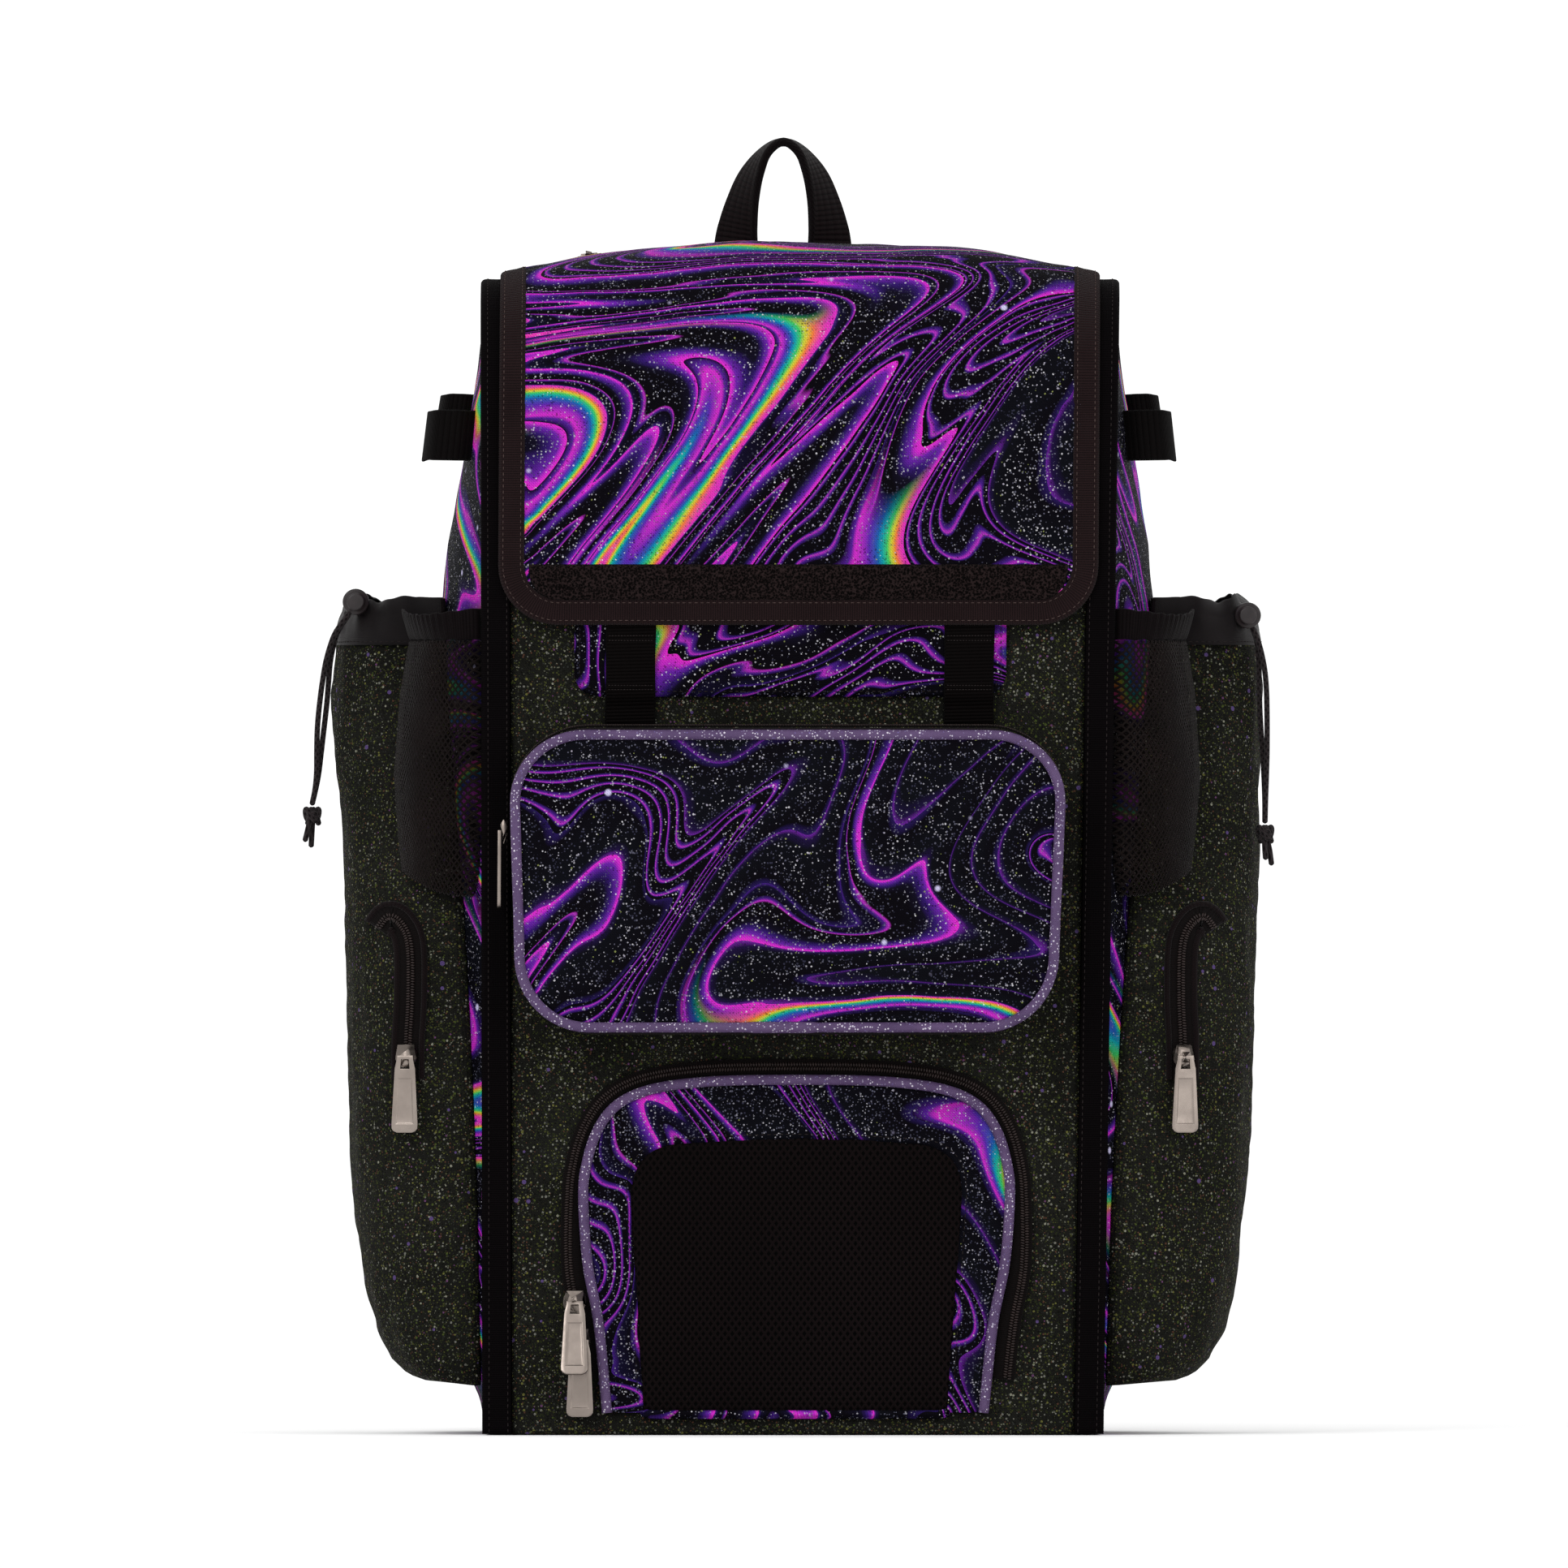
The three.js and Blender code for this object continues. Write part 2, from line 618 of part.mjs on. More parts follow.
// Middle pocket: a gusset standing off the front panel, with a crowned face inside its piping
const pocketOutline = (inset) => withoutRepeats(roundedOutline(
  POCKET_CENTRE - POCKET_HALF + inset, POCKET_CENTRE + POCKET_HALF - inset,
  POCKET_LOW + inset, POCKET_HIGH - inset, POCKET_CORNER - inset,
).getPoints(3)).map((corner) => new THREE.Vector2(
  POCKET_CENTRE + (corner.x - POCKET_CENTRE) * lerp(0.972, 1, smoothstep(corner.y, POCKET_LOW, POCKET_HIGH)),
  corner.y,
));

const POCKET_FACE = GAP + POCKET_DEPTH;
const pipingLift = POCKET_FACE + PIPING_RADIUS;
const pipingTrack = PIPING_INSET + PIPING_RADIUS;

function pocketGusset() {
  return edging(pocketOutline(0), bar(-POCKET_WALL, 0, GAP, POCKET_FACE), { closed: true });
}

function pocketPiping() {
  return edging(pocketOutline(0), roundBar(-pipingTrack, pipingLift, PIPING_RADIUS), { closed: true });
}

function pocketFace() {
  const rim = pocketOutline(pipingTrack + PIPING_RADIUS + SEAM);
  const middle = new THREE.Vector2(POCKET_CENTRE, (POCKET_LOW + POCKET_HIGH) / 2);
  const rings = [1, 0.92, 0.75, 0.45, 0];
  const skin = (lift) => rings.map((share) => rim.map((corner) => {
    const here = corner.clone().lerp(middle, 1 - share);
    return onFront(here.x, here.y, pipingLift - 1 + lift + POCKET_CROWN * (1 - share ** 2.6));
  }));
  return sheet(skin(POCKET_WALL), skin(0), true);
}

// The zip lies on the gusset, over its top and down both sides
function pocketZip() {
  const low = lerp(POCKET_LOW, POCKET_HIGH, 0.28);
  const loop = pocketOutline(0);
  const above = loop.filter((corner) => corner.y > low);
  const start = new THREE.Vector2(above[0].x, low);
  const end = new THREE.Vector2(above[above.length - 1].x, low);
  const path = [start, ...above, end];
  const inner = POCKET_FACE * 0.28;
  const outer = POCKET_FACE * 0.9;
  const middle = (inner + outer) / 2;
  const base = GAP + TAPE_THICKNESS;
  const section = [
    { out: GAP, lift: inner }, { out: base, lift: inner }, { out: base, lift: middle - COIL_HALF },
    { out: base + COIL_HEIGHT, lift: middle - COIL_HALF / 2 },
    { out: base + COIL_HEIGHT, lift: middle + COIL_HALF / 2 },
    { out: base, lift: middle + COIL_HALF }, { out: base, lift: outer }, { out: GAP, lift: outer },
  ];
  return edging(path, section);
}

// Lower pocket: an arched door with a mesh window, piping round it and a zip outside the piping
const archRows = [
  { across: 0.882, up: 0 }, { across: 0.925, up: 0.27 }, { across: 0.978, up: 0.45 },
  { across: 1, up: 0.65 }, { across: 0.985, up: 0.75 }, { across: 0.935, up: 0.85 },
  { across: 0.848, up: 0.924 }, { across: 0.711, up: 0.968 }, { across: 0.517, up: 0.99 },
  { across: 0.247, up: 1 },
];

function archPath() {
  const rise = ARCH_TOP - ARCH_FOOT;
  const right = archRows.map(({ across, up }) => (
    new THREE.Vector2(ARCH_CENTRE + across * ARCH_HALF, ARCH_FOOT + up * rise)));
  const left = right.map((corner) => new THREE.Vector2(2 * ARCH_CENTRE - corner.x, corner.y)).reverse();
  return [...right, ...left];
}

function windowOutline(inset) {
  const low = WINDOW_HALF_LOW - inset;
  const high = WINDOW_HALF_HIGH - inset;
  const top = WINDOW_HIGH - inset;
  const foot = WINDOW_LOW + inset;
  const centre = ARCH_CENTRE;
  const outline = new THREE.Shape();
  outline.moveTo(centre - low, foot);
  outline.lineTo(centre + low, foot);
  outline.lineTo(centre + high, top - WINDOW_CORNER);
  outline.quadraticCurveTo(centre + high, top, centre + high - WINDOW_CORNER, top);
  outline.lineTo(centre - high + WINDOW_CORNER, top);
  outline.quadraticCurveTo(centre - high, top, centre - high, top - WINDOW_CORNER);
  return outline;
}

function archDoor() {
  const rim = offsetPath(archPath(), -PIPING_RADIUS - GAP);
  const outline = new THREE.Shape(rim);
  outline.holes.push(new THREE.Path(windowOutline(0).getPoints(4)));
  return plate(outline, FRONT - GAP, DOOR_WALL);
}

function meshWindow() {
  return plate(windowOutline(GAP), FRONT - GAP - (DOOR_WALL - MESH_WALL) / 2, MESH_WALL, 4);
}

function archPiping() {
  return edging(archPath(), roundBar(0, GAP + PIPING_RADIUS, PIPING_RADIUS));
}

const archSpread = (z) => ARCH_ZIP_SPREAD * (1 - smoothstep(z, 0.4 * ARCH_TOP, 0.75 * ARCH_TOP));
const archNear = PIPING_RADIUS + GAP;

function archZip() {
  const path = archPath();
  const share = (ARCH_ZIP_FOOT - path[0].y) / (path[1].y - path[0].y);
  path[0].lerp(path[1], share);
  path[path.length - 1].lerp(path[path.length - 2], share);
  return edging(path, ({ y }) => (
    zipSection(archNear, archNear + ARCH_ZIP_WIDTH + archSpread(y), GAP, archNear + ARCH_COIL + archSpread(y))));
}

// Bat sleeve: a deep tube of cloth sewn to the side panel, open at the top
const sleeveRows = [
  { height: 0, reach: 0.12, front: 0.86 }, { height: 0.004, reach: 0.46, front: 0.88 },
  { height: 0.014, reach: 0.6, front: 0.9 }, { height: 0.035, reach: 0.71, front: 0.925 },
  { height: 0.075, reach: 0.81, front: 0.94 }, { height: 0.137, reach: 0.88, front: 0.945 },
  { height: 0.23, reach: 0.92, front: 0.935 },
  { height: 0.34, reach: 0.955, front: 0.905 }, { height: 0.5, reach: 0.965, front: 0.85 },
  { height: 0.66, reach: 0.98, front: 0.77 }, { height: 0.74, reach: 0.99, front: 0.7 },
  { height: 0.82, reach: 1, front: 0.63 },
  { height: 0.93, reach: 1, front: 0.52 }, { height: 1, reach: 0.965, front: 0.46 },
];

for (const row of sleeveRows) {
  row.swell = sin(row.height * SLEEVE_WAVES * 2 * PI);
  row.sway = cos(row.height * SLEEVE_WAVES * 2 * PI);
}

function sleevePlan(z) {
  const share = clamp((z - SLEEVE_LOW) / (SLEEVE_HIGH - SLEEVE_LOW), 0, 1);
  return {
    reach: bodyHalf(z) + SLEEVE_REACH * readRows(sleeveRows, share, 'reach'),
    front: INSIDE_FRONT * readRows(sleeveRows, share, 'front'),
    swell: readRows(sleeveRows, share, 'swell'),
    sway: readRows(sleeveRows, share, 'sway'),
  };
}

// Shallow standing folds on the walls of a sleeve
const sleeveFold = (across, { swell, sway }) => (
  SLEEVE_FOLD * 4 * across * (1 - across) * (swell * cos(3 * across) + sway * sin(3 * across)));

const clearOfSide = (p) => point(max(p.x, sideFace(p.y, p.z) + SEAM), p.y, p.z);

function sleevePoint(turn, z) {
  const plan = sleevePlan(z);
  const { reach, front } = plan;
  const centre = (front + SLEEVE_BACK) / 2;
  const half = (SLEEVE_BACK - front) / 2;
  const edge = turn <= PI / 2 ? front : SLEEVE_BACK;
  const start = sideFace(edge, z) + SEAM;
  const across = max(0, sin(turn)) ** (2 / SLEEVE_SQUARENESS);
  const along = sign(cos(turn)) * abs(cos(turn)) ** (2 / SLEEVE_SQUARENESS);
  const fold = sleeveFold(across, plan) * (turn <= PI / 2 ? 1 : -1);
  return clearOfSide(point(start + (reach - start) * across, centre - half * along - fold, z));
}

function batSleeve() {
  const surface = (u, v) => sleevePoint(PI * u, lerp(SLEEVE_LOW, SLEEVE_HIGH, v));
  const turns = [0, 0.05, 0.13, 0.22, 0.31, 0.4, 0.5, 0.62, 0.75, 0.88, 1];
  return cloth(surface, turns, sleeveRows.map((row) => row.height), SLEEVE_WALL, clearOfSide);
}

// Height of a point on the sleeve's front wall, and a place off that wall
function sleeveFrontAt(x, z) {
  const plan = sleevePlan(z);
  const { reach, front } = plan;
  const start = sideFace(front, z) + SEAM;
  const across = clamp((x - start) / (reach - start), 0, 0.98);
  const centre = (front + SLEEVE_BACK) / 2;
  const half = (SLEEVE_BACK - front) / 2;
  return centre - half * (1 - across ** SLEEVE_SQUARENESS) ** (1 / SLEEVE_SQUARENESS) - sleeveFold(across, plan);
}

function frontWallNormal(x, z) {
  const slopeX = sleeveFrontAt(x + 1, z) - sleeveFrontAt(x - 1, z);
  return point(slopeX / 2, -1, 0).normalize();
}

const offSleeve = (x, z, lift) => (
  point(x, sleeveFrontAt(x, z), z).addScaledVector(frontWallNormal(x, z), lift + ZIP_SEAT));

// Short pocket zip that hooks over at its top
function sideZip() {
  const drop = SIDE_PULL_HEIGHT;
  const hook = [
    { across: -15, up: 64 }, { across: -10, up: 70 }, { across: -4, up: 67 }, { across: 0.5, up: 56 },
    { across: 1, up: 30 }, { across: 0, up: 8 }, { across: 0, up: -11 },
  ];
  const path = hook.map(({ across, up }) => new THREE.Vector2(SIDE_PULL_OFFSET - across, drop + up));
  return edging(path, zipSection(-SIDE_TAPE_HALF, SIDE_TAPE_HALF, 0), { place: offSleeve });
}

// Gathered collar that stands on the sleeve's mouth and leans in under its drawcord
const COLLAR_LOW = SLEEVE_HIGH + GAP;
const mouth = point(
  (sideFace(0, SLEEVE_HIGH) + bodyHalf(SLEEVE_HIGH) + SLEEVE_REACH) / 2,
  (INSIDE_FRONT * sleeveRows[sleeveRows.length - 1].front + SLEEVE_BACK) / 2,
  SLEEVE_HIGH,
);

function collarPoint(share, rise, inset) {
  const outside = 0.84;
  const free = share <= outside;
  const turn = PI * share / outside;
  const z = COLLAR_LOW + COLLAR_HEIGHT * rise;
  let base = sleevePoint(min(turn, PI), SLEEVE_HIGH);
  if (!free) {
    const back = (share - outside) / (1 - outside);
    const y = lerp(SLEEVE_BACK, INSIDE_FRONT * sleeveRows[sleeveRows.length - 1].front, back);
    base = point(sideFace(y, z) + SEAM, y, z);
  }
  const inwards = point(mouth.x - base.x, mouth.y - base.y, 0).normalize();
  const hold = free ? sin(turn) ** 0.5 : 0;
  const gather = COLLAR_GATHER * rise * sin(14 * turn) * hold;
  const lean = COLLAR_LEAN * rise ** 2.2 * max(hold, 0.15) + gather;
  base.addScaledVector(inwards, lean + inset);
  base.z = z + COLLAR_GATHER * rise * sin(9 * turn) * hold;
  return clearOfSide(base);
}

function sleeveCollar() {
  const steps = shares(32).slice(0, -1);
  const rises = [0, 0.4, 0.75, 1];
  const skin = (inset) => rises.map((rise) => steps.map((share) => collarPoint(share, rise, inset)));
  return sheet(skin(0), skin(COLLAR_WALL), true);
}

// Stretch mesh bottle pocket between the front edge and the sleeve, with an elastic hem
const bottleRows = [
  { height: 0, reach: 0.72, front: 0.8 }, { height: 0.056, reach: 0.84, front: 0.915 },
  { height: 0.13, reach: 0.91, front: 0.96 }, { height: 0.278, reach: 0.957, front: 0.98 },
  { height: 0.5, reach: 1, front: 0.985 }, { height: 0.806, reach: 0.93, front: 0.985 },
  { height: 1, reach: 0.83, front: 0.98 },
];

function bottlePoint(share, z, flare = 0) {
  const height = (z - BOTTLE_LOW) / (SLEEVE_HIGH - BOTTLE_LOW);
  const reach = bodyHalf(z) + BOTTLE_REACH * readRows(bottleRows, height, 'reach') + flare;
  const front = INSIDE_FRONT * readRows(bottleRows, height, 'front');
  const start = sideFace(front, z) + SEAM;
  const back = sleeveFrontAt(reach, min(z, SLEEVE_HIGH)) - SEAM;
  const turn = share * PI / 2;
  const x = start + (reach - start) * sin(turn) ** (2 / SLEEVE_SQUARENESS);
  const y = back + (front - back) * cos(turn) ** (2 / SLEEVE_SQUARENESS);
  return clearOfSide(point(x, y, z));
}

const clearOfSleeve = (p) => {
  const wall = sleeveFrontAt(p.x, min(p.z, SLEEVE_HIGH)) - SEAM;
  return clearOfSide(point(p.x, min(p.y, wall), p.z));
};

function bottlePocket() {
  const surface = (u, v) => bottlePoint(u, lerp(BOTTLE_LOW, SLEEVE_HIGH, v));
  const turns = [0, 0.15, 0.3, 0.45, 0.6, 0.75, 0.88, 1];
  return cloth(surface, turns, bottleRows.map((row) => row.height), MESH_WALL, clearOfSleeve);
}

function bottleHem() {
  const low = SLEEVE_HIGH + GAP;
  const surface = (u, v) => bottlePoint(u, lerp(low, low + HEM_HEIGHT, v), HEM_FLARE * v);
  const turns = [0, 0.15, 0.3, 0.45, 0.6, 0.75, 0.88, 1];
  return cloth(surface, turns, [0, 0.5, 1], HEM_WALL, clearOfSleeve);
}

// Webbing loops on the side panels
const batLoops = [
  { name: 'front', y: -60, z: 498.5, reach: LOOP_REACH },
  { name: 'rear', y: 6, z: 507, reach: LOOP_REACH * 0.7 },
];

function batLoop({ y, z, reach }) {
  const half = (LOOP_OPENING + WEBBING_THICKNESS) / 2;
  const path = new THREE.Path();
  path.moveTo(GAP, y - half);
  path.lineTo(reach - half, y - half);
  path.absarc(reach - half, y, half, -PI / 2, PI / 2);
  path.lineTo(GAP, y + half);
  const track = path.getPoints(3);
  const tracks = [-1, 1].map((hand) => offsetPath(track, hand * WEBBING_THICKNESS / 2));
  const corner = (p, up) => point(sideFace(p.y, z + up) + p.x, p.y, z + up);
  return loft(track.map((_, k) => [
    corner(tracks[0][k], -WEBBING / 2), corner(tracks[1][k], -WEBBING / 2),
    corner(tracks[1][k], WEBBING / 2), corner(tracks[0][k], WEBBING / 2),
  ]));
}

// Grab handle: its webbing is sewn flat on the back and turns edge-on over the top
const handleRows = [
  { across: 1, up: -0.98, turn: 0 }, { across: 1, up: -0.72, turn: 0 }, { across: 1, up: -0.5, turn: 12 },
  { across: 0.98, up: 0, turn: 32 }, { across: 0.93, up: 0.22, turn: 44 }, { across: 0.84, up: 0.43, turn: 55 },
  { across: 0.72, up: 0.62, turn: 64 }, { across: 0.57, up: 0.77, turn: 73 }, { across: 0.4, up: 0.89, turn: 82 },
  { across: 0.2, up: 0.97, turn: 87 }, { across: 0, up: 1, turn: 90 },
];
const HANDLE_Y = BACK + GAP + FLAP_WALL + GAP + HANDLE_THICKNESS / 2;

function grabHandle() {
  const waist = BODY_HEIGHT + FLAP_LIFT + FLAP_WALL + FLAP_CROWN;
  const rise = HANDLE_HEIGHT - waist;
  const rows = [...handleRows, ...handleRows.slice(0, -1).reverse().map((row) => (
    { ...row, across: -row.across }))];
  const path = rows.map(({ across, up }) => (
    point(HANDLE_CENTRE - across * HANDLE_HALF, HANDLE_Y, waist + up * rise)));
  const wide = (share, tangent) => {
    const { turn } = rows[Math.round(share * (rows.length - 1))];
    const square = point(-tangent.z, 0, tangent.x);
    return square.multiplyScalar(cos(degToRad(turn))).add(point(0, sin(degToRad(turn)), 0));
  };
  return webbing(path, wide, WEBBING, HANDLE_THICKNESS);
}

// Shoulder strap: a padded strap that runs out in webbing to a low anchor on the back
const strapRows = [
  { across: 0.29, off: 0.01, up: 0.91, pad: 1 }, { across: 0.3, off: 0.07, up: 0.885, pad: 1 },
  { across: 0.33, off: 0.3, up: 0.85, pad: 1 }, { across: 0.37, off: 0.66, up: 0.79, pad: 1 },
  { across: 0.42, off: 0.92, up: 0.72, pad: 1 }, { across: 0.46, off: 1, up: 0.63, pad: 1 },
  { across: 0.51, off: 0.94, up: 0.54, pad: 1 }, { across: 0.56, off: 0.76, up: 0.46, pad: 1 },
  { across: 0.61, off: 0.54, up: 0.39, pad: 0.9 }, { across: 0.635, off: 0.44, up: 0.365, pad: 0.1 },
  { across: 0.7, off: 0.3, up: 0.28, pad: 0 }, { across: 0.76, off: 0.17, up: 0.19, pad: 0 },
  { across: 0.8, off: 0.04, up: 0.115, pad: 0 }, { across: 0.81, off: 0, up: 0.09, pad: 0 },
];
const STRAP_STAND = 42;

function shoulderStrap() {
  const path = strapRows.map(({ across, off, up, pad }) => point(
    across * HALF_WIDTH_LOW,
    BACK + GAP + lerp(WEBBING_THICKNESS, SHOULDER_PAD_THICKNESS, pad) / 2 + off * STRAP_STAND,
    up * BODY_HEIGHT,
  ));
  const padAt = (share) => strapRows[Math.round(share * (strapRows.length - 1))].pad;
  const width = (share) => lerp(WEBBING, SHOULDER_PAD_WIDTH, padAt(share));
  const thickness = (share) => lerp(WEBBING_THICKNESS, SHOULDER_PAD_THICKNESS, padAt(share));
  const wide = (share, tangent) => point(-tangent.z, 0, tangent.x);
  return webbing(path, wide, width, thickness);
}

// Zip slider with a bridge over the pull's crossbar; the origin is the crossbar's axis
function zipSlider() {
  const half = SLIDER_WIDTH / 2;
  const long = SLIDER_LENGTH / 2;
  const body = new THREE.Shape();
  body.moveTo(-0.75 * half, long);
  body.lineTo(-half, 0.4 * long);
  body.lineTo(-half, -0.15 * long);
  body.lineTo(-0.58 * half, -long);
  body.lineTo(0.58 * half, -long);
  body.lineTo(half, -0.15 * long);
  body.lineTo(half, 0.4 * long);
  body.lineTo(0.75 * half, long);
  const block = plate(body, -PIN_HEIGHT, SLIDER_THICKNESS);
  const bridge = new THREE.Shape();
  const foot = PIN_HEIGHT + SLIDER_THICKNESS / 3;
  bridge.moveTo(RING_OUTER, -foot);
  bridge.absarc(0, 0, RING_OUTER, 0, PI);
  bridge.lineTo(-RING_OUTER, -foot);
  bridge.lineTo(-RING_INNER, -foot);
  bridge.absarc(0, 0, RING_INNER, PI, 0, true);
  bridge.lineTo(RING_INNER, -foot);
  const ring = new THREE.ExtrudeGeometry(bridge, { depth: RING_WIDTH, bevelEnabled: false, curveSegments: 4 });
  ring.translate(0, 0, -RING_WIDTH / 2);
  ring.rotateY(-PI / 2);
  return fused(block, ring);
}

// Pull tab: a flat plate that widens downwards, with a window for the bridge below its crossbar
function pullTab() {
  const top = PULL_THICKNESS / 2;
  const foot = top - PULL_LENGTH;
  const high = PULL_WIDTH_TOP / 2;
  const low = PULL_WIDTH_LOW / 2;
  const outline = new THREE.Shape();
  outline.moveTo(-0.8 * high, top);
  outline.lineTo(-high, -1);
  outline.lineTo(-low, foot + 3);
  outline.quadraticCurveTo(-low, foot, 3 - low, foot);
  outline.lineTo(low - 3, foot);
  outline.quadraticCurveTo(low, foot, low, foot + 3);
  outline.lineTo(high, -1);
  outline.lineTo(0.8 * high, top);
  const opening = new THREE.Path();
  opening.moveTo(-PULL_WINDOW_HALF, -1);
  opening.lineTo(PULL_WINDOW_HALF, -1);
  opening.lineTo(PULL_WINDOW_HALF, -1 - PULL_WINDOW_LENGTH);
  opening.lineTo(-PULL_WINDOW_HALF, -1 - PULL_WINDOW_LENGTH);
  outline.holes.push(opening);
  return plate(outline, PULL_THICKNESS / 2, PULL_THICKNESS, 2);
}

// Seats a slider and its pull on a zip: out is square to the tape, up is the zip's run
function addPull(names, seat, out, up, tilt = 0) {
  const across = out.clone().cross(up).normalize();
  const level = across.clone().cross(out).normalize();
  const turn = new THREE.Quaternion().setFromRotationMatrix(new THREE.Matrix4().makeBasis(across, out, level));
  const axis = seat.clone().addScaledVector(out, GAP + SLIDER_THICKNESS + PIN_HEIGHT);
  const body = add(names.slider, zipSlider(), 'nickel');
  body.position.copy(axis);
  body.quaternion.copy(turn);
  const tab = add(names.pull, pullTab(), 'nickel');
  tab.position.copy(axis);
  const lean = new THREE.Quaternion().setFromAxisAngle(point(1, 0, 0), degToRad(tilt));
  tab.quaternion.copy(turn).multiply(lean);
}

// Drawcords: where each strand leaves its lock, hangs beside the sleeve and meets the knot;
// y is measured from the front of the sleeve's mouth
const mouthFront = INSIDE_FRONT * sleeveRows[sleeveRows.length - 1].front;
const fromMouth = ([x, y, z]) => point(x, mouthFront + y, z);
const lockPlaces = { left: [-221.3, 11.4, 415.5], right: [225, 13.3, 408.7] };
const cordRoutes = {
  left: [
    [-224.6, 9.9, 409.5], [-227.8, 9.7, 405], [-231.4, 9.5, 398.4], [-234.3, 9.4, 387],
    [-235.6, 9.3, 376], [-236.4, 9.3, 367], [-237.4, 9.3, 357], [-238.2, 9.1, 348.3],
    [-238.9, 9.5, 339], [-239.6, 9.9, 330], [-240.8, 10.1, 322], [-242.4, 10.3, 314.6],
  ],
  right: [
    [227.4, 14.9, 402.3], [229.1, 14.5, 398.3], [230.3, 13.9, 393.4], [231.2, 13.1, 387],
    [231.8, 12.3, 380], [232.2, 11.5, 371], [232.5, 10.9, 361], [233, 10.9, 350],
    [233.6, 10.9, 339], [234, 10.9, 327], [234.2, 10.9, 316], [234.2, 10.9, 305.6],
  ],
};
const strandShift = [
  { name: 'outer', y: -1.7, bow: -2.4 }, { name: 'inner', y: 1.7, bow: 1.2 },
];

function cordStrand(route, shift) {
  const path = route.map(fromMouth).map(({ x, y, z }, k) => {
    const bow = shift.bow * sin(PI * k / (route.length - 1)) ** 2;
    return point(x + bow * sign(x) * -1, y + shift.y, z);
  });
  const section = new THREE.Shape();
  section.absarc(0, 0, CORD_DIAMETER / 2, 0, 2 * PI);
  const extrudePath = new THREE.CatmullRomCurve3(path);
  return new THREE.ExtrudeGeometry(section, { steps: 12, bevelEnabled: false, extrudePath, curveSegments: 4 });
}

function cordKnot(route, hand) {
  const { x, y, z } = fromMouth(route[route.length - 1]);
  const lump = new THREE.SphereGeometry(KNOT_RADIUS, 8, 6);
  lump.scale(1, 1.05, 1.15);
  lump.translate(x, y, z - GAP - 1.15 * KNOT_RADIUS);
  const tails = [-1, 1].map((way) => {
    const tail = new THREE.CylinderGeometry(CORD_DIAMETER / 2, CORD_DIAMETER / 2, 14, 6);
    tail.rotateX(PI / 2);
    tail.rotateY(hand * 0.2 + way * 0.14);
    tail.translate(x + hand * 1.5 + way * 0.6, y + way * 1.5, z - 15);
    return tail;
  });
  return fused(lump, ...tails);
}

function cordLock(seat) {
  const profile = [[0, -0.5], [0.7, -0.5], [0.95, -0.3], [1, 0], [0.95, 0.3], [0.7, 0.5], [0, 0.5]];
  const points = profile.map(([r, t]) => new THREE.Vector2(r * LOCK_RADIUS, t * LOCK_LENGTH));
  const geometry = new THREE.LatheGeometry(points, 12);
  geometry.translate(seat.x, seat.y, seat.z);
  return geometry;
}

// The build, in the order in which it is sewn
add('base_panel', basePanel(), 'black');
add('back_panel', backPanel(), 'black');
add('front_panel', frontPanel(), 'speckled');
for (const { side, hand } of bothSides) {
  add(`side_panel_${side}`, onSide(sidePanel(), hand), 'marbled');
  add(`edge_binding_${side}`, onSide(edgeBinding(), hand), 'black');
}

add('under_flap_panel', underPanel(), 'marbled');
add('strap_left', frontStrap(STRAP_LEFT), 'black');
add('strap_right', frontStrap(STRAP_RIGHT), 'black');

add('mid_pocket_gusset', pocketGusset(), 'black');
add('mid_pocket_piping', pocketPiping(), 'piping');
add('mid_pocket_face', pocketFace(), 'marbled');
add('mid_pocket_zip', pocketZip(), 'black');
const pocketPullSeat = point(
  POCKET_CENTRE - POCKET_HALF - GAP - ZIP_HEIGHT, FRONT - POCKET_FACE * 0.59, lerp(POCKET_LOW, POCKET_HIGH, 0.66));
addPull(
  { slider: 'mid_pocket_slider', pull: 'mid_pocket_pull' }, pocketPullSeat, point(-1, 0, 0), point(0, 0, 1));

add('arch_door', archDoor(), 'marbled');
add('mesh_window', meshWindow(), 'mesh');
add('arch_piping', archPiping(), 'piping');
add('arch_zip', archZip(), 'black');
const archPulls = [
  { name: 'upper', up: 0.33, tilt: UPPER_PULL_TILT }, { name: 'lower', up: 0.215, tilt: 0 },
];
for (const { name, up, tilt } of archPulls) {
  const z = lerp(ARCH_FOOT, ARCH_TOP, up);
  const rows = archRows.map((row) => ({ height: row.up, across: row.across }));
  const x = ARCH_CENTRE - ARCH_HALF * readRows(rows, up, 'across');
  const seat = onFront(x - archNear - ARCH_COIL - archSpread(z), z, GAP + ZIP_HEIGHT);
  addPull({ slider: `arch_slider_${name}`, pull: `arch_pull_${name}` }, seat, point(0, -1, 0), point(0, 0, 1), tilt);
}

for (const { side, hand } of bothSides) {
  add(`bat_sleeve_${side}`, onSide(batSleeve(), hand), 'speckled');
  add(`sleeve_collar_${side}`, onSide(sleeveCollar(), hand), 'black');
  add(`bottle_pocket_${side}`, onSide(bottlePocket(), hand), 'mesh');
  add(`bottle_hem_${side}`, onSide(bottleHem(), hand), 'black');
  add(`side_zip_${side}`, onSide(sideZip(), hand), 'black');
  const seat = offSleeve(SIDE_PULL_OFFSET, SIDE_PULL_HEIGHT, ZIP_HEIGHT + GAP);
  const out = frontWallNormal(SIDE_PULL_OFFSET, SIDE_PULL_HEIGHT);
  seat.x *= hand;
  out.x *= hand;
  addPull({ slider: `side_slider_${side}`, pull: `side_pull_${side}` }, seat, out, point(0, 0, 1));
  for (const loop of batLoops) {
    add(`bat_loop_${loop.name}_${side}`, onSide(batLoop(loop), hand), 'black');
  }
}

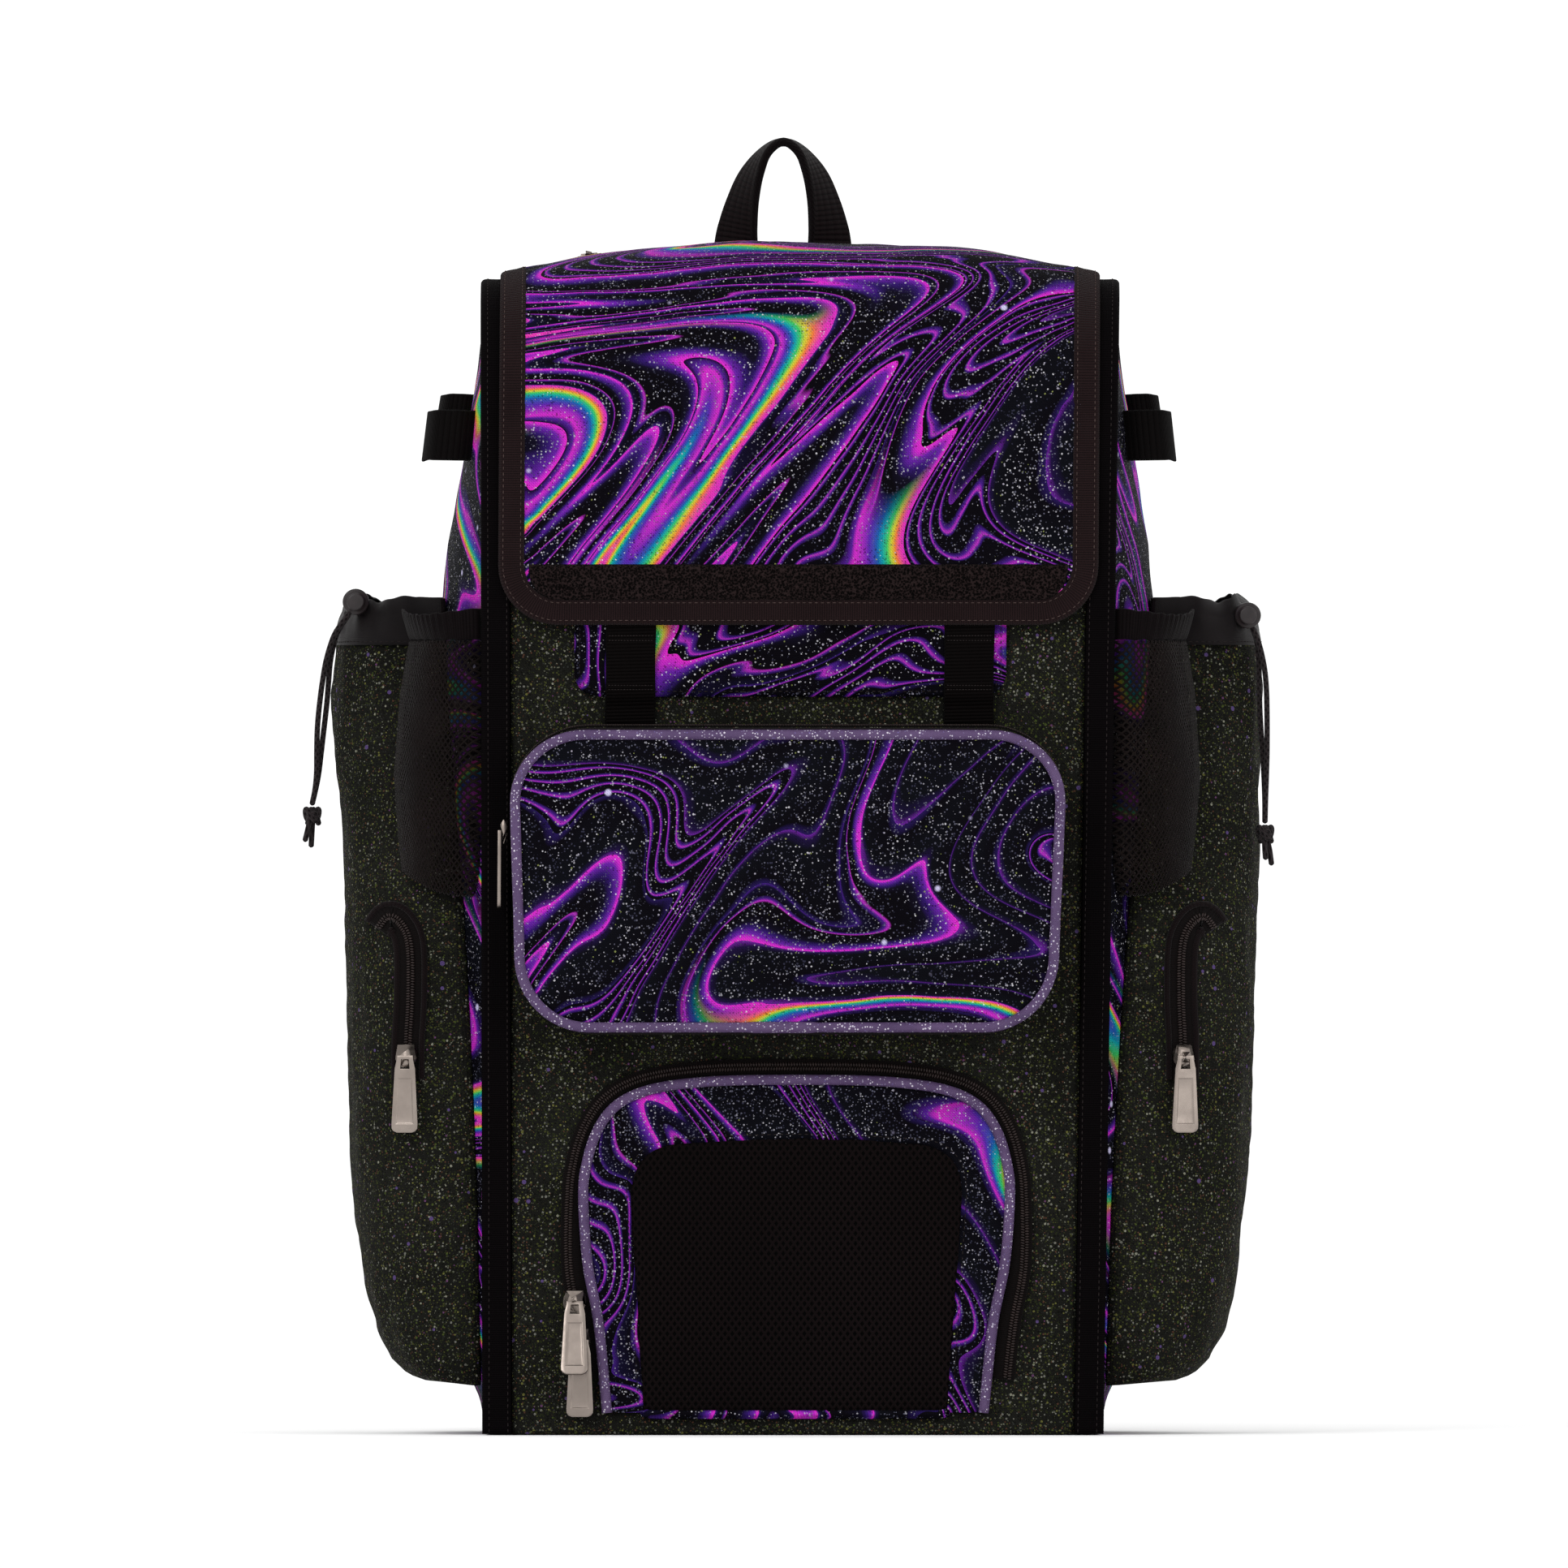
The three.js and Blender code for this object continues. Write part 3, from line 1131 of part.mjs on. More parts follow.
for (const { side, hand } of bothSides) {
  add(`cord_lock_${side}`, cordLock(fromMouth(lockPlaces[side])), 'plastic');
  for (const strand of strandShift) {
    add(`drawcord_${side}_${strand.name}`, cordStrand(cordRoutes[side], strand), 'cord');
  }
  add(`cord_knot_${side}`, cordKnot(cordRoutes[side], hand), 'cord');
}

add('flap', flapCover(), 'marbled');
add('flap_binding', flapBinding(), 'binding');
add('flap_loop_strip', loopStrip(), 'black');
const topZipX = -105.5;
const topZipRuns = flapRuns.filter((run) => run > TOP_START + 0.3 * topRun && run < FLAP_END);
add('top_zip', edging(
  topZipRuns.map((run) => new THREE.Vector2(topZipX, run)).reverse(),
  zipSection(-SIDE_TAPE_HALF, SIDE_TAPE_HALF, FLAP_WALL + GAP), { place: flapPoint },
), 'black');
const topRunAt = REAR_START;
const topSeat = flapPoint(topZipX, topRunAt, FLAP_WALL + GAP + ZIP_HEIGHT);
const topBack = flapPoint(topZipX, topRunAt + 6, 0).sub(flapPoint(topZipX, topRunAt - 6, 0)).normalize();
const topSide = flapPoint(topZipX + 5, topRunAt, 0).sub(flapPoint(topZipX - 5, topRunAt, 0)).normalize();
addPull(
  { slider: 'top_slider', pull: 'top_pull' }, topSeat, topSide.clone().cross(topBack).normalize(),
  topBack.clone().negate(), -4);

add('grab_handle', grabHandle(), 'black');
for (const { side, hand } of bothSides) {
  add(`shoulder_strap_${side}`, onSide(shoulderStrap(), hand), 'black');
}

// A filled bag of this kind leans a little to one side as it rises
const lean = BODY_LEAN / BODY_HEIGHT;
bag.matrix.set(1, 0, lean, 0, 0, 1, 0, 0, 0, 0, 1, 0, 0, 0, 0, 1);
bag.matrixAutoUpdate = false;

// The origin is on the ground, at the middle of the bag without its drawcord tails
const extent = new THREE.Box3();
for (const mesh of bag.children) {
  const tail = mesh.name.startsWith('drawcord') || mesh.name.startsWith('cord_knot');
  if (!tail) extent.expandByObject(mesh, true);
}
const centre = extent.getCenter(point(0, 0, 0));
const standing = new THREE.Group();
standing.add(bag);
standing.position.set(-centre.x, -centre.y, -extent.min.z);

const whole = new THREE.Group();
whole.add(standing);
export default whole;
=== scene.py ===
from math import cos, hypot, pi, radians, sin, sqrt

import bmesh
import bpy
from mathutils import Matrix, Vector, noise


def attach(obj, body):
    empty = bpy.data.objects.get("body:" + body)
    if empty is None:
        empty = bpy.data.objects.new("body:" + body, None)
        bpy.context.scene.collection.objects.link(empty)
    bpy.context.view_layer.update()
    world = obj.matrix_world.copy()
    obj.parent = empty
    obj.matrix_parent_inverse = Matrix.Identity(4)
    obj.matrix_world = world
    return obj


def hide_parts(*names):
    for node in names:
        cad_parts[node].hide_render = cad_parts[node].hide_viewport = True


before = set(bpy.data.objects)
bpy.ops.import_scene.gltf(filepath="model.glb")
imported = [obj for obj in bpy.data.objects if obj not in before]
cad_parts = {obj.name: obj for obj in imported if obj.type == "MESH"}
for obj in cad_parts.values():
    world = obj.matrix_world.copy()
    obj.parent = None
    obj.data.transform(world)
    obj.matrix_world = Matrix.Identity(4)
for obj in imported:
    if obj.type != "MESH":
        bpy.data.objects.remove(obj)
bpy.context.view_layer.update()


# Studio

# A pale floor under an evenly white sky, with a large soft light in front on the
# left and a weaker one on the right. The camera stands straight in front, at the height
# of the middle of the bag, 30 m from its face with a very long lens.

CAMERA_ACROSS = -0.00505
CAMERA_AWAY = 30.106
CAMERA_HEIGHT = 0.3244
CAMERA_LENS = 1380
camera = bpy.data.objects.new("camera", bpy.data.cameras.new("camera"))
camera.location = (CAMERA_ACROSS, -CAMERA_AWAY, CAMERA_HEIGHT)
camera.rotation_euler = (pi / 2, 0, 0)
camera.data.sensor_width = 36
camera.data.lens = CAMERA_LENS
bpy.context.collection.objects.link(camera)
bpy.context.scene.camera = camera
bpy.context.scene.view_settings.view_transform = "Standard"


def dye(red, green, blue):
    """A colour as it is seen on a screen, 0 to 255, as the light that a shader takes."""
    shares = [c / 255 for c in (red, green, blue)]
    return (*(c / 12.92 if c <= 0.04045 else ((c + 0.055) / 1.055) ** 2.4 for c in shares), 1)


def add_node(tree, kind, inputs=None, **settings):
    """A new node; inputs are numbers, or the sockets that feed them."""
    node = tree.nodes.new(kind)
    for key, value in settings.items():
        setattr(node, key, value)
    for key, value in (inputs or {}).items():
        if isinstance(value, bpy.types.NodeSocket):
            tree.links.new(value, node.inputs[key])
        else:
            node.inputs[key].default_value = value
    return node


def new_finish(name, rough=0.8, **shader):
    """A new material with its own shader, whose other sockets are set or fed later."""
    finish = bpy.data.materials.new(name)
    finish.use_nodes = True
    surface = finish.node_tree.nodes["Principled BSDF"]
    surface.inputs["Roughness"].default_value = rough
    surface.inputs["Specular IOR Level"].default_value = 0.02
    for key, value in shader.items():
        surface.inputs[key.replace("_", " ")].default_value = value
    return finish, finish.node_tree, surface


sky = bpy.data.worlds.new("sky")
sky.use_nodes = True
sky.node_tree.nodes["Background"].inputs["Color"].default_value = (1, 1, 1, 1)
sky.node_tree.nodes["Background"].inputs["Strength"].default_value = 1.12
bpy.context.scene.world = sky

for name, place, aim, size, power in (
    ("key_light", (-1.5, -2.6, 2.2), (0, 0, 0.3), 1.6, 42),
    ("fill_light", (1.9, -2.2, 1.0), (0, 0, 0.3), 1.6, 14),
):
    light = bpy.data.objects.new(name, bpy.data.lights.new(name, "AREA"))
    light.data.size = size
    light.data.energy = power
    light.location = place
    light.rotation_euler = (Vector(place) - Vector(aim)).to_track_quat("Z", "Y").to_euler()
    bpy.context.collection.objects.link(light)

floor_bm = bmesh.new()
bmesh.ops.create_grid(floor_bm, x_segments=4, y_segments=4, size=60)
floor_mesh = bpy.data.meshes.new("floor")
floor_bm.to_mesh(floor_mesh)
floor_bm.free()
floor_piece = bpy.data.objects.new("floor", floor_mesh)
floor_piece.location = (0, 0, -0.0006)
bpy.context.collection.objects.link(floor_piece)
floor_finish, tree, surface = new_finish("pale_floor", rough=0.9, Base_Color=(0.93, 0.93, 0.93, 1))
floor_mesh.materials.append(floor_finish)


# Base and back

# A stiffened black bottom and a padded back with sewn air channels, the
# two pieces that everything else is sewn to. The cloth is a tight black polyester weave.

BODY_HEIGHT = 572
BODY_DEPTH = 200
BODY_LEAN = 3.6
FRONT = -BODY_DEPTH / 2
BACK = BODY_DEPTH / 2
HALF_LOW = 153.5
HALF_HIGH = 158
FRONT_RADIUS = 48
REAR_RADIUS = 30
BACK_PAD = 12
BACK_CROWN = 5
GAP = 0.3
PANEL_WALL = 2.1
SIDE_INSET = PANEL_WALL + GAP
INSIDE_FRONT = FRONT + SIDE_INSET
INSIDE_BACK = BACK - BACK_PAD - GAP
FRONT_RISE = BODY_HEIGHT - FRONT_RADIUS
REAR_RISE = BODY_HEIGHT - REAR_RADIUS

# from millimetres on the bag to metres on the ground, with the lean of a filled bag; the
# two steps put the middle of the whole bag over the origin
STAND_ACROSS = -0.000595
STAND_FORWARDS = -0.0062
STAND = Matrix((
    (0.001, 0, 0.001 * BODY_LEAN / BODY_HEIGHT, STAND_ACROSS),
    (0, 0.001, 0, STAND_FORWARDS),
    (0, 0, 0.001, 0),
    (0, 0, 0, 1),
))


def mix(low, high, share):
    return low + (high - low) * share


def held(value, low=0.0, high=1.0):
    return max(low, min(high, value))


def eased(value, low, high):
    share = held((value - low) / (high - low))
    return share * share * (3 - 2 * share)


def ruffle(point, size, depth):
    """Unevenness of worn cloth, the same on each run, from -depth to depth."""
    return depth * noise.noise(Vector(point) / size)


def lay(across, up, place, size=(100, 100), bm=None):
    """Cuts a grid of cloth and lays it on a form; place gives its point for two shares.
    Its map is in metres of cloth."""
    bm = bm or bmesh.new()
    cloth = bm.loops.layers.uv.get("cloth") or bm.loops.layers.uv.new("cloth")
    new = bmesh.ops.create_grid(bm, x_segments=across, y_segments=up, size=0.5)["verts"]
    for face in {face for v in new for face in v.link_faces}:
        for loop in face.loops:
            u, v = loop.vert.co.x + 0.5, loop.vert.co.y + 0.5
            loop[cloth].uv = (u * size[0] / 1000, v * size[1] / 1000)
    for v in new:
        v.co = place(held(v.co.x + 0.5), held(v.co.y + 0.5))
    return bm


PIECE_ENDINGS = {"nickel": "_metal", "black_plastic": "_moulded", "black_cord": "_braid"}


def finished(name, bm, finish, slot, nodes=(), heart=None, wall=0, edge=0, body="bag", stand=STAND):
    """Merges and turns a shape the right way out and puts it in its place on the bag."""
    bmesh.ops.remove_doubles(bm, verts=bm.verts, dist=0.004)
    if heart is None:
        bmesh.ops.recalc_face_normals(bm, faces=bm.faces)
    else:
        away = sum((f.normal.dot(f.calc_center_median() - Vector(heart)) for f in bm.faces), 0.0)
        if away < 0:
            bmesh.ops.reverse_faces(bm, faces=bm.faces)
    bmesh.ops.transform(bm, matrix=stand, verts=bm.verts)
    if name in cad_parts:
        name += PIECE_ENDINGS.get(slot, "_cloth")
    mesh = bpy.data.meshes.new(name)
    bm.to_mesh(mesh)
    bm.free()
    mesh.shade_smooth()
    mesh.materials.append(finish)
    piece = bpy.data.objects.new(name, mesh)
    bpy.context.collection.objects.link(piece)
    if wall:
        cloth = piece.modifiers.new("wall", "SOLIDIFY")
        cloth.thickness = wall / 1000
        cloth.offset = -1
    if edge:
        rim = piece.modifiers.new("edge", "BEVEL")
        rim.width = edge / 1000
        rim.segments = 2
        rim.limit_method = "ANGLE"
        rim.angle_limit = radians(40)
    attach(piece, body)
    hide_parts(*nodes)
    return piece


def new_group(name, inputs, outputs):
    """A shader node group with its named inputs and outputs."""
    group = bpy.data.node_groups.new(name, "ShaderNodeTree")
    for label, kind, value in inputs:
        socket = group.interface.new_socket(label, in_out="INPUT", socket_type="NodeSocket" + kind)
        if value is not None:
            socket.default_value = value
    for label, kind in outputs:
        group.interface.new_socket(label, in_out="OUTPUT", socket_type="NodeSocket" + kind)
    return group, group.nodes.new("NodeGroupInput").outputs, group.nodes.new("NodeGroupOutput").inputs


def reckon(tree, way, first, second=0.0, third=None):
    """A sum on two or three values, each a number or a socket."""
    node = add_node(tree, "ShaderNodeMath", {0: first, 1: second}, operation=way)
    if third is not None:
        if isinstance(third, bpy.types.NodeSocket):
            tree.links.new(third, node.inputs[2])
        else:
            node.inputs[2].default_value = third
    return node.outputs[0]


def blended(tree, share, first, second, way="MIX"):
    """Mixes two colours, each a colour or a socket, by a share."""
    node = add_node(tree, "ShaderNodeMix", data_type="RGBA", blend_type=way)
    for key, value in ((0, share), (6, first), (7, second)):
        if isinstance(value, bpy.types.NodeSocket):
            tree.links.new(value, node.inputs[key])
        else:
            node.inputs[key].default_value = value
    return node.outputs[2]


def ramp(tree, share, stops, smooth="LINEAR"):
    """A run of colours, from (place, colour) pairs."""
    node = add_node(tree, "ShaderNodeValToRGB", {"Fac": share})
    node.color_ramp.interpolation = smooth
    while len(node.color_ramp.elements) < len(stops):
        node.color_ramp.elements.new(0.5)
    for element, (place, colour) in zip(node.color_ramp.elements, stops):
        element.position = place
        element.color = colour
    return node.outputs["Color"]


def map_parts(tree):
    """The two shares of the cloth's own map, across and along, in metres."""
    cloth_map = add_node(tree, "ShaderNodeUVMap", uv_map="cloth").outputs["UV"]
    return add_node(tree, "ShaderNodeSeparateXYZ", {0: cloth_map}).outputs


def round_backs(tree, turn):
    """The height of rows of round threads, one for each half turn."""
    return reckon(tree, "ABSOLUTE", reckon(tree, "SINE", turn))


# Weave: threads that cross over and under each other, on the cloth's own map
weave, given, out = new_group(
    "weave",
    [("Thread", "Float", 0.0006)],
    [("Height", "Float"), ("Shade", "Float")],
)
parts = map_parts(weave)
turn_u = reckon(weave, "MULTIPLY", reckon(weave, "DIVIDE", parts["X"], given["Thread"]), pi)
turn_v = reckon(weave, "MULTIPLY", reckon(weave, "DIVIDE", parts["Y"], given["Thread"]), pi)
warp = round_backs(weave, turn_u)
weft = round_backs(weave, turn_v)
over = reckon(weave, "SINE", reckon(weave, "ADD", turn_u, turn_v))
height = reckon(weave, "ADD", reckon(weave, "MULTIPLY", warp, weft), reckon(weave, "MULTIPLY", over, 0.2))
weave.links.new(height, out["Height"])
weave.links.new(reckon(weave, "MULTIPLY_ADD", height, 0.5, 0.6), out["Shade"])


def put_group(tree, group, **inputs):
    node = add_node(tree, "ShaderNodeGroup", node_tree=group)
    for key, value in inputs.items():
        if isinstance(value, bpy.types.NodeSocket):
            tree.links.new(value, node.inputs[key])
        else:
            node.inputs[key].default_value = value
    return node.outputs


def raise_bump(tree, surface, height, depth):
    """Feeds the shader's normal from a height, whose depth is in metres."""
    bump = add_node(tree, "ShaderNodeBump", {"Height": height, "Distance": depth, "Strength": 1.0})
    tree.links.new(bump.outputs["Normal"], surface.inputs["Normal"])


def object_place(tree, scale=1.0, turn=(0, 0, 0), shift=(0, 0, 0)):
    place = add_node(tree, "ShaderNodeTexCoord").outputs["Object"]
    size = (scale, scale, scale) if isinstance(scale, (int, float)) else scale
    return add_node(
        tree, "ShaderNodeMapping", {"Vector": place, "Location": shift, "Rotation": turn, "Scale": size}
    ).outputs["Vector"]


def object_noise(tree, scale, detail):
    """Cloudy noise on the bag, for wear, dust and uneven dye."""
    return add_node(
        tree, "ShaderNodeTexNoise", {"Vector": object_place(tree), "Scale": scale, "Detail": detail}
    ).outputs["Fac"]


def paint(tree, surface, share, low, high):
    """Feeds the shader's colour with a mix of two colours."""
    tree.links.new(blended(tree, share, low, high), surface.inputs["Base Color"])


def plain_cloth(name, colour, thread, rough=0.85, sheen=0.04, depth=0.00016):
    """Plain woven cloth, with a little wear and dust in its colour."""
    finish, tree, surface = new_finish(name, rough, Sheen_Weight=sheen, Sheen_Roughness=0.5)
    threads = put_group(tree, weave, Thread=thread)
    worn = object_noise(tree, 28.0, 5.0)
    shade = reckon(tree, "MULTIPLY", threads["Shade"], reckon(tree, "MULTIPLY_ADD", worn, 0.7, 0.6))
    paint(tree, surface, shade, dye(2, 2, 2), colour)
    raise_bump(tree, surface, threads["Height"], depth)
    return finish


black_cloth = plain_cloth("black_cloth", dye(26, 23, 24), 0.0009)

# Air mesh on the back: a thick knit with rows of small openings, painted darker inside as painted shade
air_mesh, tree, surface = new_finish("air_mesh", 0.9, Sheen_Weight=0.05)
cloth_map = add_node(tree, "ShaderNodeUVMap", uv_map="cloth").outputs["UV"]
knit = add_node(tree, "ShaderNodeTexVoronoi", {"Vector": cloth_map, "Scale": 380.0, "Randomness": 0.25},
                voronoi_dimensions="2D")
openings_and_shade = reckon(tree, "MULTIPLY", knit.outputs["Distance"], 1.9)
paint(tree, surface, openings_and_shade, dye(6, 5, 6), dye(34, 31, 33))
raise_bump(tree, surface, openings_and_shade, 0.0008)


def body_half(z):
    return mix(HALF_LOW, HALF_HIGH, held(z / BODY_HEIGHT))


BASE_THICKNESS = 3.5
bm = bmesh.new()
half = body_half(0) - 2.5 - GAP
centred = Matrix.Translation((0, (INSIDE_FRONT + INSIDE_BACK) / 2, BASE_THICKNESS / 2))
scaled = Matrix.Diagonal((2 * half, INSIDE_BACK - INSIDE_FRONT, BASE_THICKNESS, 1))
bmesh.ops.create_cube(bm, size=1, matrix=centred @ scaled)
bm.loops.layers.uv.new("cloth")
upright = [e for e in bm.edges if abs(e.verts[0].co.z - e.verts[1].co.z) > 1]
bmesh.ops.bevel(bm, geom=upright, offset=9, segments=6, affect="EDGES", profile=0.5, material=-1)
finished("base_panel", bm, black_cloth, "black_fabric", ["base_panel"], edge=0.8)


def back_outer(u, v):
    z = v * (REAR_RISE - GAP)
    half = body_half(z)
    x = half * (1 - 2 * u)
    crown = BACK_CROWN * eased(v, 0.08, 0.3) * (1 - eased(v, 0.7, 0.88)) * sin(pi * u)
    # sewn channels: one down the middle, two beside it and one level across the waist
    seams = [abs(x), abs(abs(x) - 74), abs(z - 196), abs(z - 402)]
    seam = min(seams) if abs(x) < 120 or abs(abs(x) - 74) < 8 else 99
    sewn = 5.2 * (1 - eased(seam, 0, 13)) ** 1.5
    rim = min((1 - abs(2 * u - 1)) * half, z, (REAR_RISE - GAP) - z)
    soft = 4.5 * (1 - eased(rim, 0, 16)) ** 1.6
    return Vector((x, BACK + crown - sewn - soft + ruffle((x, 0, z), 40, 0.5), z))


def back_inner(u, v):
    p = back_outer(u, v)
    return Vector((p.x, BACK - BACK_PAD, p.z))


bm = lay(96, 150, back_outer, (2 * HALF_LOW, REAR_RISE))
lay(96, 150, back_inner, (2 * HALF_LOW, REAR_RISE), bm)
bmesh.ops.bridge_loops(bm, edges=[e for e in bm.edges if e.is_boundary])
back_panel = finished("back_panel", bm, air_mesh, "black_fabric", ["back_panel"])


# Front panel

# Dark polyester, printed all over with tiny green, yellow and white specks and
# a few purple dots. It is sewn into the bindings at both sides and dips a little between
# the pockets that are sewn on it.

glitter, given, out = new_group(
    "glitter",
    [("Vector", "Vector", None), ("Grain", "Float", 0.001), ("Size", "Float", 0.36), ("Share", "Float", 0.6)],
    [("Mask", "Float"), ("Pick", "Float")],
)
per_metre = reckon(glitter, "DIVIDE", 1.0, given["Grain"])
cells = add_node(glitter, "ShaderNodeTexVoronoi", {"Vector": given["Vector"], "Scale": per_metre})
chance = add_node(glitter, "ShaderNodeSeparateColor", {0: cells.outputs["Color"]}).outputs
size = reckon(glitter, "MULTIPLY", given["Size"], reckon(glitter, "MULTIPLY_ADD", chance["Blue"], 0.8, 0.5))
inside = reckon(glitter, "LESS_THAN", cells.outputs["Distance"], size)
kept = reckon(glitter, "LESS_THAN", chance["Red"], given["Share"])
glitter.links.new(reckon(glitter, "MULTIPLY", inside, kept), out["Mask"])
glitter.links.new(chance["Green"], out["Pick"])


def speckled(tree, ground):
    """Sprinkles the print of specks over a ground colour."""
    place = object_place(tree)
    fine = put_group(tree, glitter, Vector=place, Grain=0.001, Size=0.42, Share=0.95)
    fine_colour = ramp(tree, fine["Pick"], [
        (0.0, dye(13, 13, 10)), (0.3, dye(44, 50, 26)), (0.52, dye(72, 76, 38)), (0.7, dye(52, 54, 50)),
        (0.82, dye(104, 106, 90)), (0.92, dye(88, 60, 46)), (1.0, dye(176, 180, 150))], "CONSTANT")
    grains = put_group(tree, glitter, Vector=object_place(tree, shift=(0.4, 0.2, 0.1)), Grain=0.0019,
                       Size=0.27, Share=0.58)
    grain_colour = ramp(tree, grains["Pick"], [
        (0.0, dye(70, 82, 38)), (0.35, dye(104, 104, 54)), (0.55, dye(118, 118, 110)),
        (0.8, dye(142, 142, 126)), (0.93, dye(104, 66, 104))], "CONSTANT")
    dots = put_group(tree, glitter, Vector=place, Grain=0.0098, Size=0.1, Share=0.9)
    colour = blended(tree, reckon(tree, "MULTIPLY", fine["Mask"], 0.8), ground, fine_colour)
    colour = blended(tree, reckon(tree, "MULTIPLY", grains["Mask"], 0.9), colour, grain_colour)
    return blended(tree, dots["Mask"], colour, dye(88, 70, 118))


speckled_cloth, tree, surface = new_finish("speckled_cloth", 0.8)
worn = object_noise(tree, 22.0, 4.0)
ground = blended(tree, worn, dye(15, 15, 12), dye(34, 34, 31))
threads = put_group(tree, weave, Thread=0.0007)
shaded = blended(tree, reckon(tree, "MULTIPLY", threads["Shade"], 0.8), dye(3, 3, 3), speckled(tree, ground))
tree.links.new(shaded, surface.inputs["Base Color"])
raise_bump(tree, surface, threads["Height"], 0.00012)

BINDING_WIDTH = 13


def front_face(u, v):
    z = v * FRONT_RISE
    half = body_half(z) - BINDING_WIDTH - GAP
    x = half * (2 * u - 1)
    edge = min(half - abs(x), z)
    dip = (1.1 + ruffle((x, 0, z), 34, 1.0) + ruffle((x, 9, z * 0.6), 15, 0.4)) * eased(edge, 0, 24)
    return Vector((x, FRONT + held(dip, 0, 2.6), z))


bm = lay(110, 190, front_face, (2 * HALF_LOW, FRONT_RISE))
finished("front_panel", bm, speckled_cloth, "speckled_fabric", ["front_panel"], heart=(0, 0, 300), wall=1.6)


# Side panels

# The printed cloth with flowing marbled bands. Each is one piece that swells
# between the front and the back seam, and is flat again where it meets the top.

SIDE_FULLNESS = 23
SIDE_WALL = 2.5
SIDE_TOP = BODY_HEIGHT - SIDE_INSET
SEAM = 0.6

side_rows = [
    (0, 0), (0.03, 0.14), (0.045, 0.31), (0.07, 0.6), (0.12, 0.97), (0.2, 1), (0.66, 1), (0.72, 0.95),
    (0.78, 0.79), (0.84, 0.54), (0.89, 0.31), (0.93, 0.16), (0.965, 0.06), (0.985, 0.02), (1, 0),
]


def read_rows(rows, share, column=1):
    """A value between the rows of a table whose first column rises from 0 to 1."""
    share = held(share)
    for low, high in zip(rows, rows[1:]):
        if share <= high[0]:
            part = (share - low[0]) / (high[0] - low[0])
            return mix(low[column], high[column], part)
    return rows[-1][column]


def side_span(z):
    front_reach = FRONT_RADIUS - SIDE_INSET
    rear_reach = REAR_RADIUS - SIDE_INSET
    front_drop = max(0, z - FRONT_RISE)
    rear_drop = max(0, z - REAR_RISE)
    front = FRONT + FRONT_RADIUS - sqrt(max(0, front_reach ** 2 - front_drop ** 2))
    back = BACK - REAR_RADIUS + sqrt(max(0, rear_reach ** 2 - rear_drop ** 2))
    return front, min(INSIDE_BACK, back)


def side_face(y, z):
    """How far out the side panel's face lies, on the right-hand side."""
    front, back = side_span(z)
    arch = sin(pi * held((y - front) / (back - front)))
    fullness = SIDE_FULLNESS * read_rows(side_rows, z / SIDE_TOP)
    return body_half(z) + fullness * arch * (1 + 0.35 * (1 - arch))


# Marbling: paint drawn through paint. Sideways and upward pushes take turns, so every band
# stays whole while it is stretched into tongues and threads
BANDS_PER_METRE = 25.0
marbling, given, out = new_group("marbling", [("Vector", "Vector", None)], [("Colour", "Color")])
along = add_node(marbling, "ShaderNodeSeparateXYZ", {0: given["Vector"]}).outputs
across, upward = along["X"], reckon(marbling, "ADD", along["Z"], along["Y"])


def drawn(tree, moved, by, scale, reach):
    push = add_node(tree, "ShaderNodeTexNoise", {"W": by, "Scale": scale, "Detail": 0.0},
                    noise_dimensions="1D")
    return reckon(tree, "MULTIPLY_ADD", push.outputs["Fac"], reach, moved)


for scale, reach, rise_scale, rise_reach in (
    (6.5, 0.39, 8.5, 0.27), (12.5, 0.14, 16.0, 0.085), (30.0, 0.02, 33.0, 0.012)
):
    across = drawn(marbling, across, upward, scale, reach)
    upward = drawn(marbling, upward, across, rise_scale, rise_reach)
bands = reckon(marbling, "MULTIPLY", across, BANDS_PER_METRE)
band = reckon(marbling, "FRACT", bands)
pick = add_node(marbling, "ShaderNodeTexWhiteNoise", {"W": reckon(marbling, "FLOOR", bands)},
                noise_dimensions="1D").outputs["Value"]
night = dye(6, 4, 9)
wide = ramp(marbling, band, [
    (0.0, dye(214, 44, 190)), (0.05, dye(188, 42, 188)), (0.11, dye(100, 34, 156)), (0.23, dye(46, 22, 98)),
    (0.34, dye(14, 10, 28)), (0.46, night), (0.7, night), (0.725, dye(170, 44, 176)),
    (0.76, dye(62, 28, 118)),
    (0.81, night), (0.95, dye(14, 10, 36)), (1.0, dye(62, 28, 118)),
])
threads = ramp(marbling, reckon(marbling, "FRACT", reckon(marbling, "MULTIPLY", bands, 4.0)), [
    (0.0, night), (0.4, night), (0.56, dye(66, 28, 126)), (0.68, dye(168, 46, 176)), (0.74, dye(60, 26, 120)),
    (0.8, night), (1.0, night),
])
shine = ramp(marbling, band, [
    (0.0, dye(204, 46, 180)), (0.08, dye(214, 56, 160)), (0.18, dye(222, 110, 60)), (0.26, dye(198, 190, 50)),
    (0.34, dye(60, 186, 90)), (0.44, dye(16, 146, 156)), (0.52, dye(30, 84, 160)), (0.64, dye(84, 38, 160)),
    (0.84, dye(196, 44, 186)), (0.9, dye(80, 30, 140)), (1.0, night),
])
space = ramp(marbling, band, [
    (0.0, dye(34, 20, 76)), (0.12, night), (0.8, dye(9, 10, 16)), (0.93, dye(26, 14, 54)),
    (1.0, dye(96, 32, 138)),
])
print_colour = blended(marbling, reckon(marbling, "LESS_THAN", pick, 0.5), wide, space)
print_colour = blended(marbling, reckon(marbling, "LESS_THAN", pick, 0.24), print_colour, threads)
patch = add_node(marbling, "ShaderNodeTexNoise",
                 {"W": reckon(marbling, "ADD", upward, pick), "Scale": 6.0, "Detail": 0.0},
                 noise_dimensions="1D")
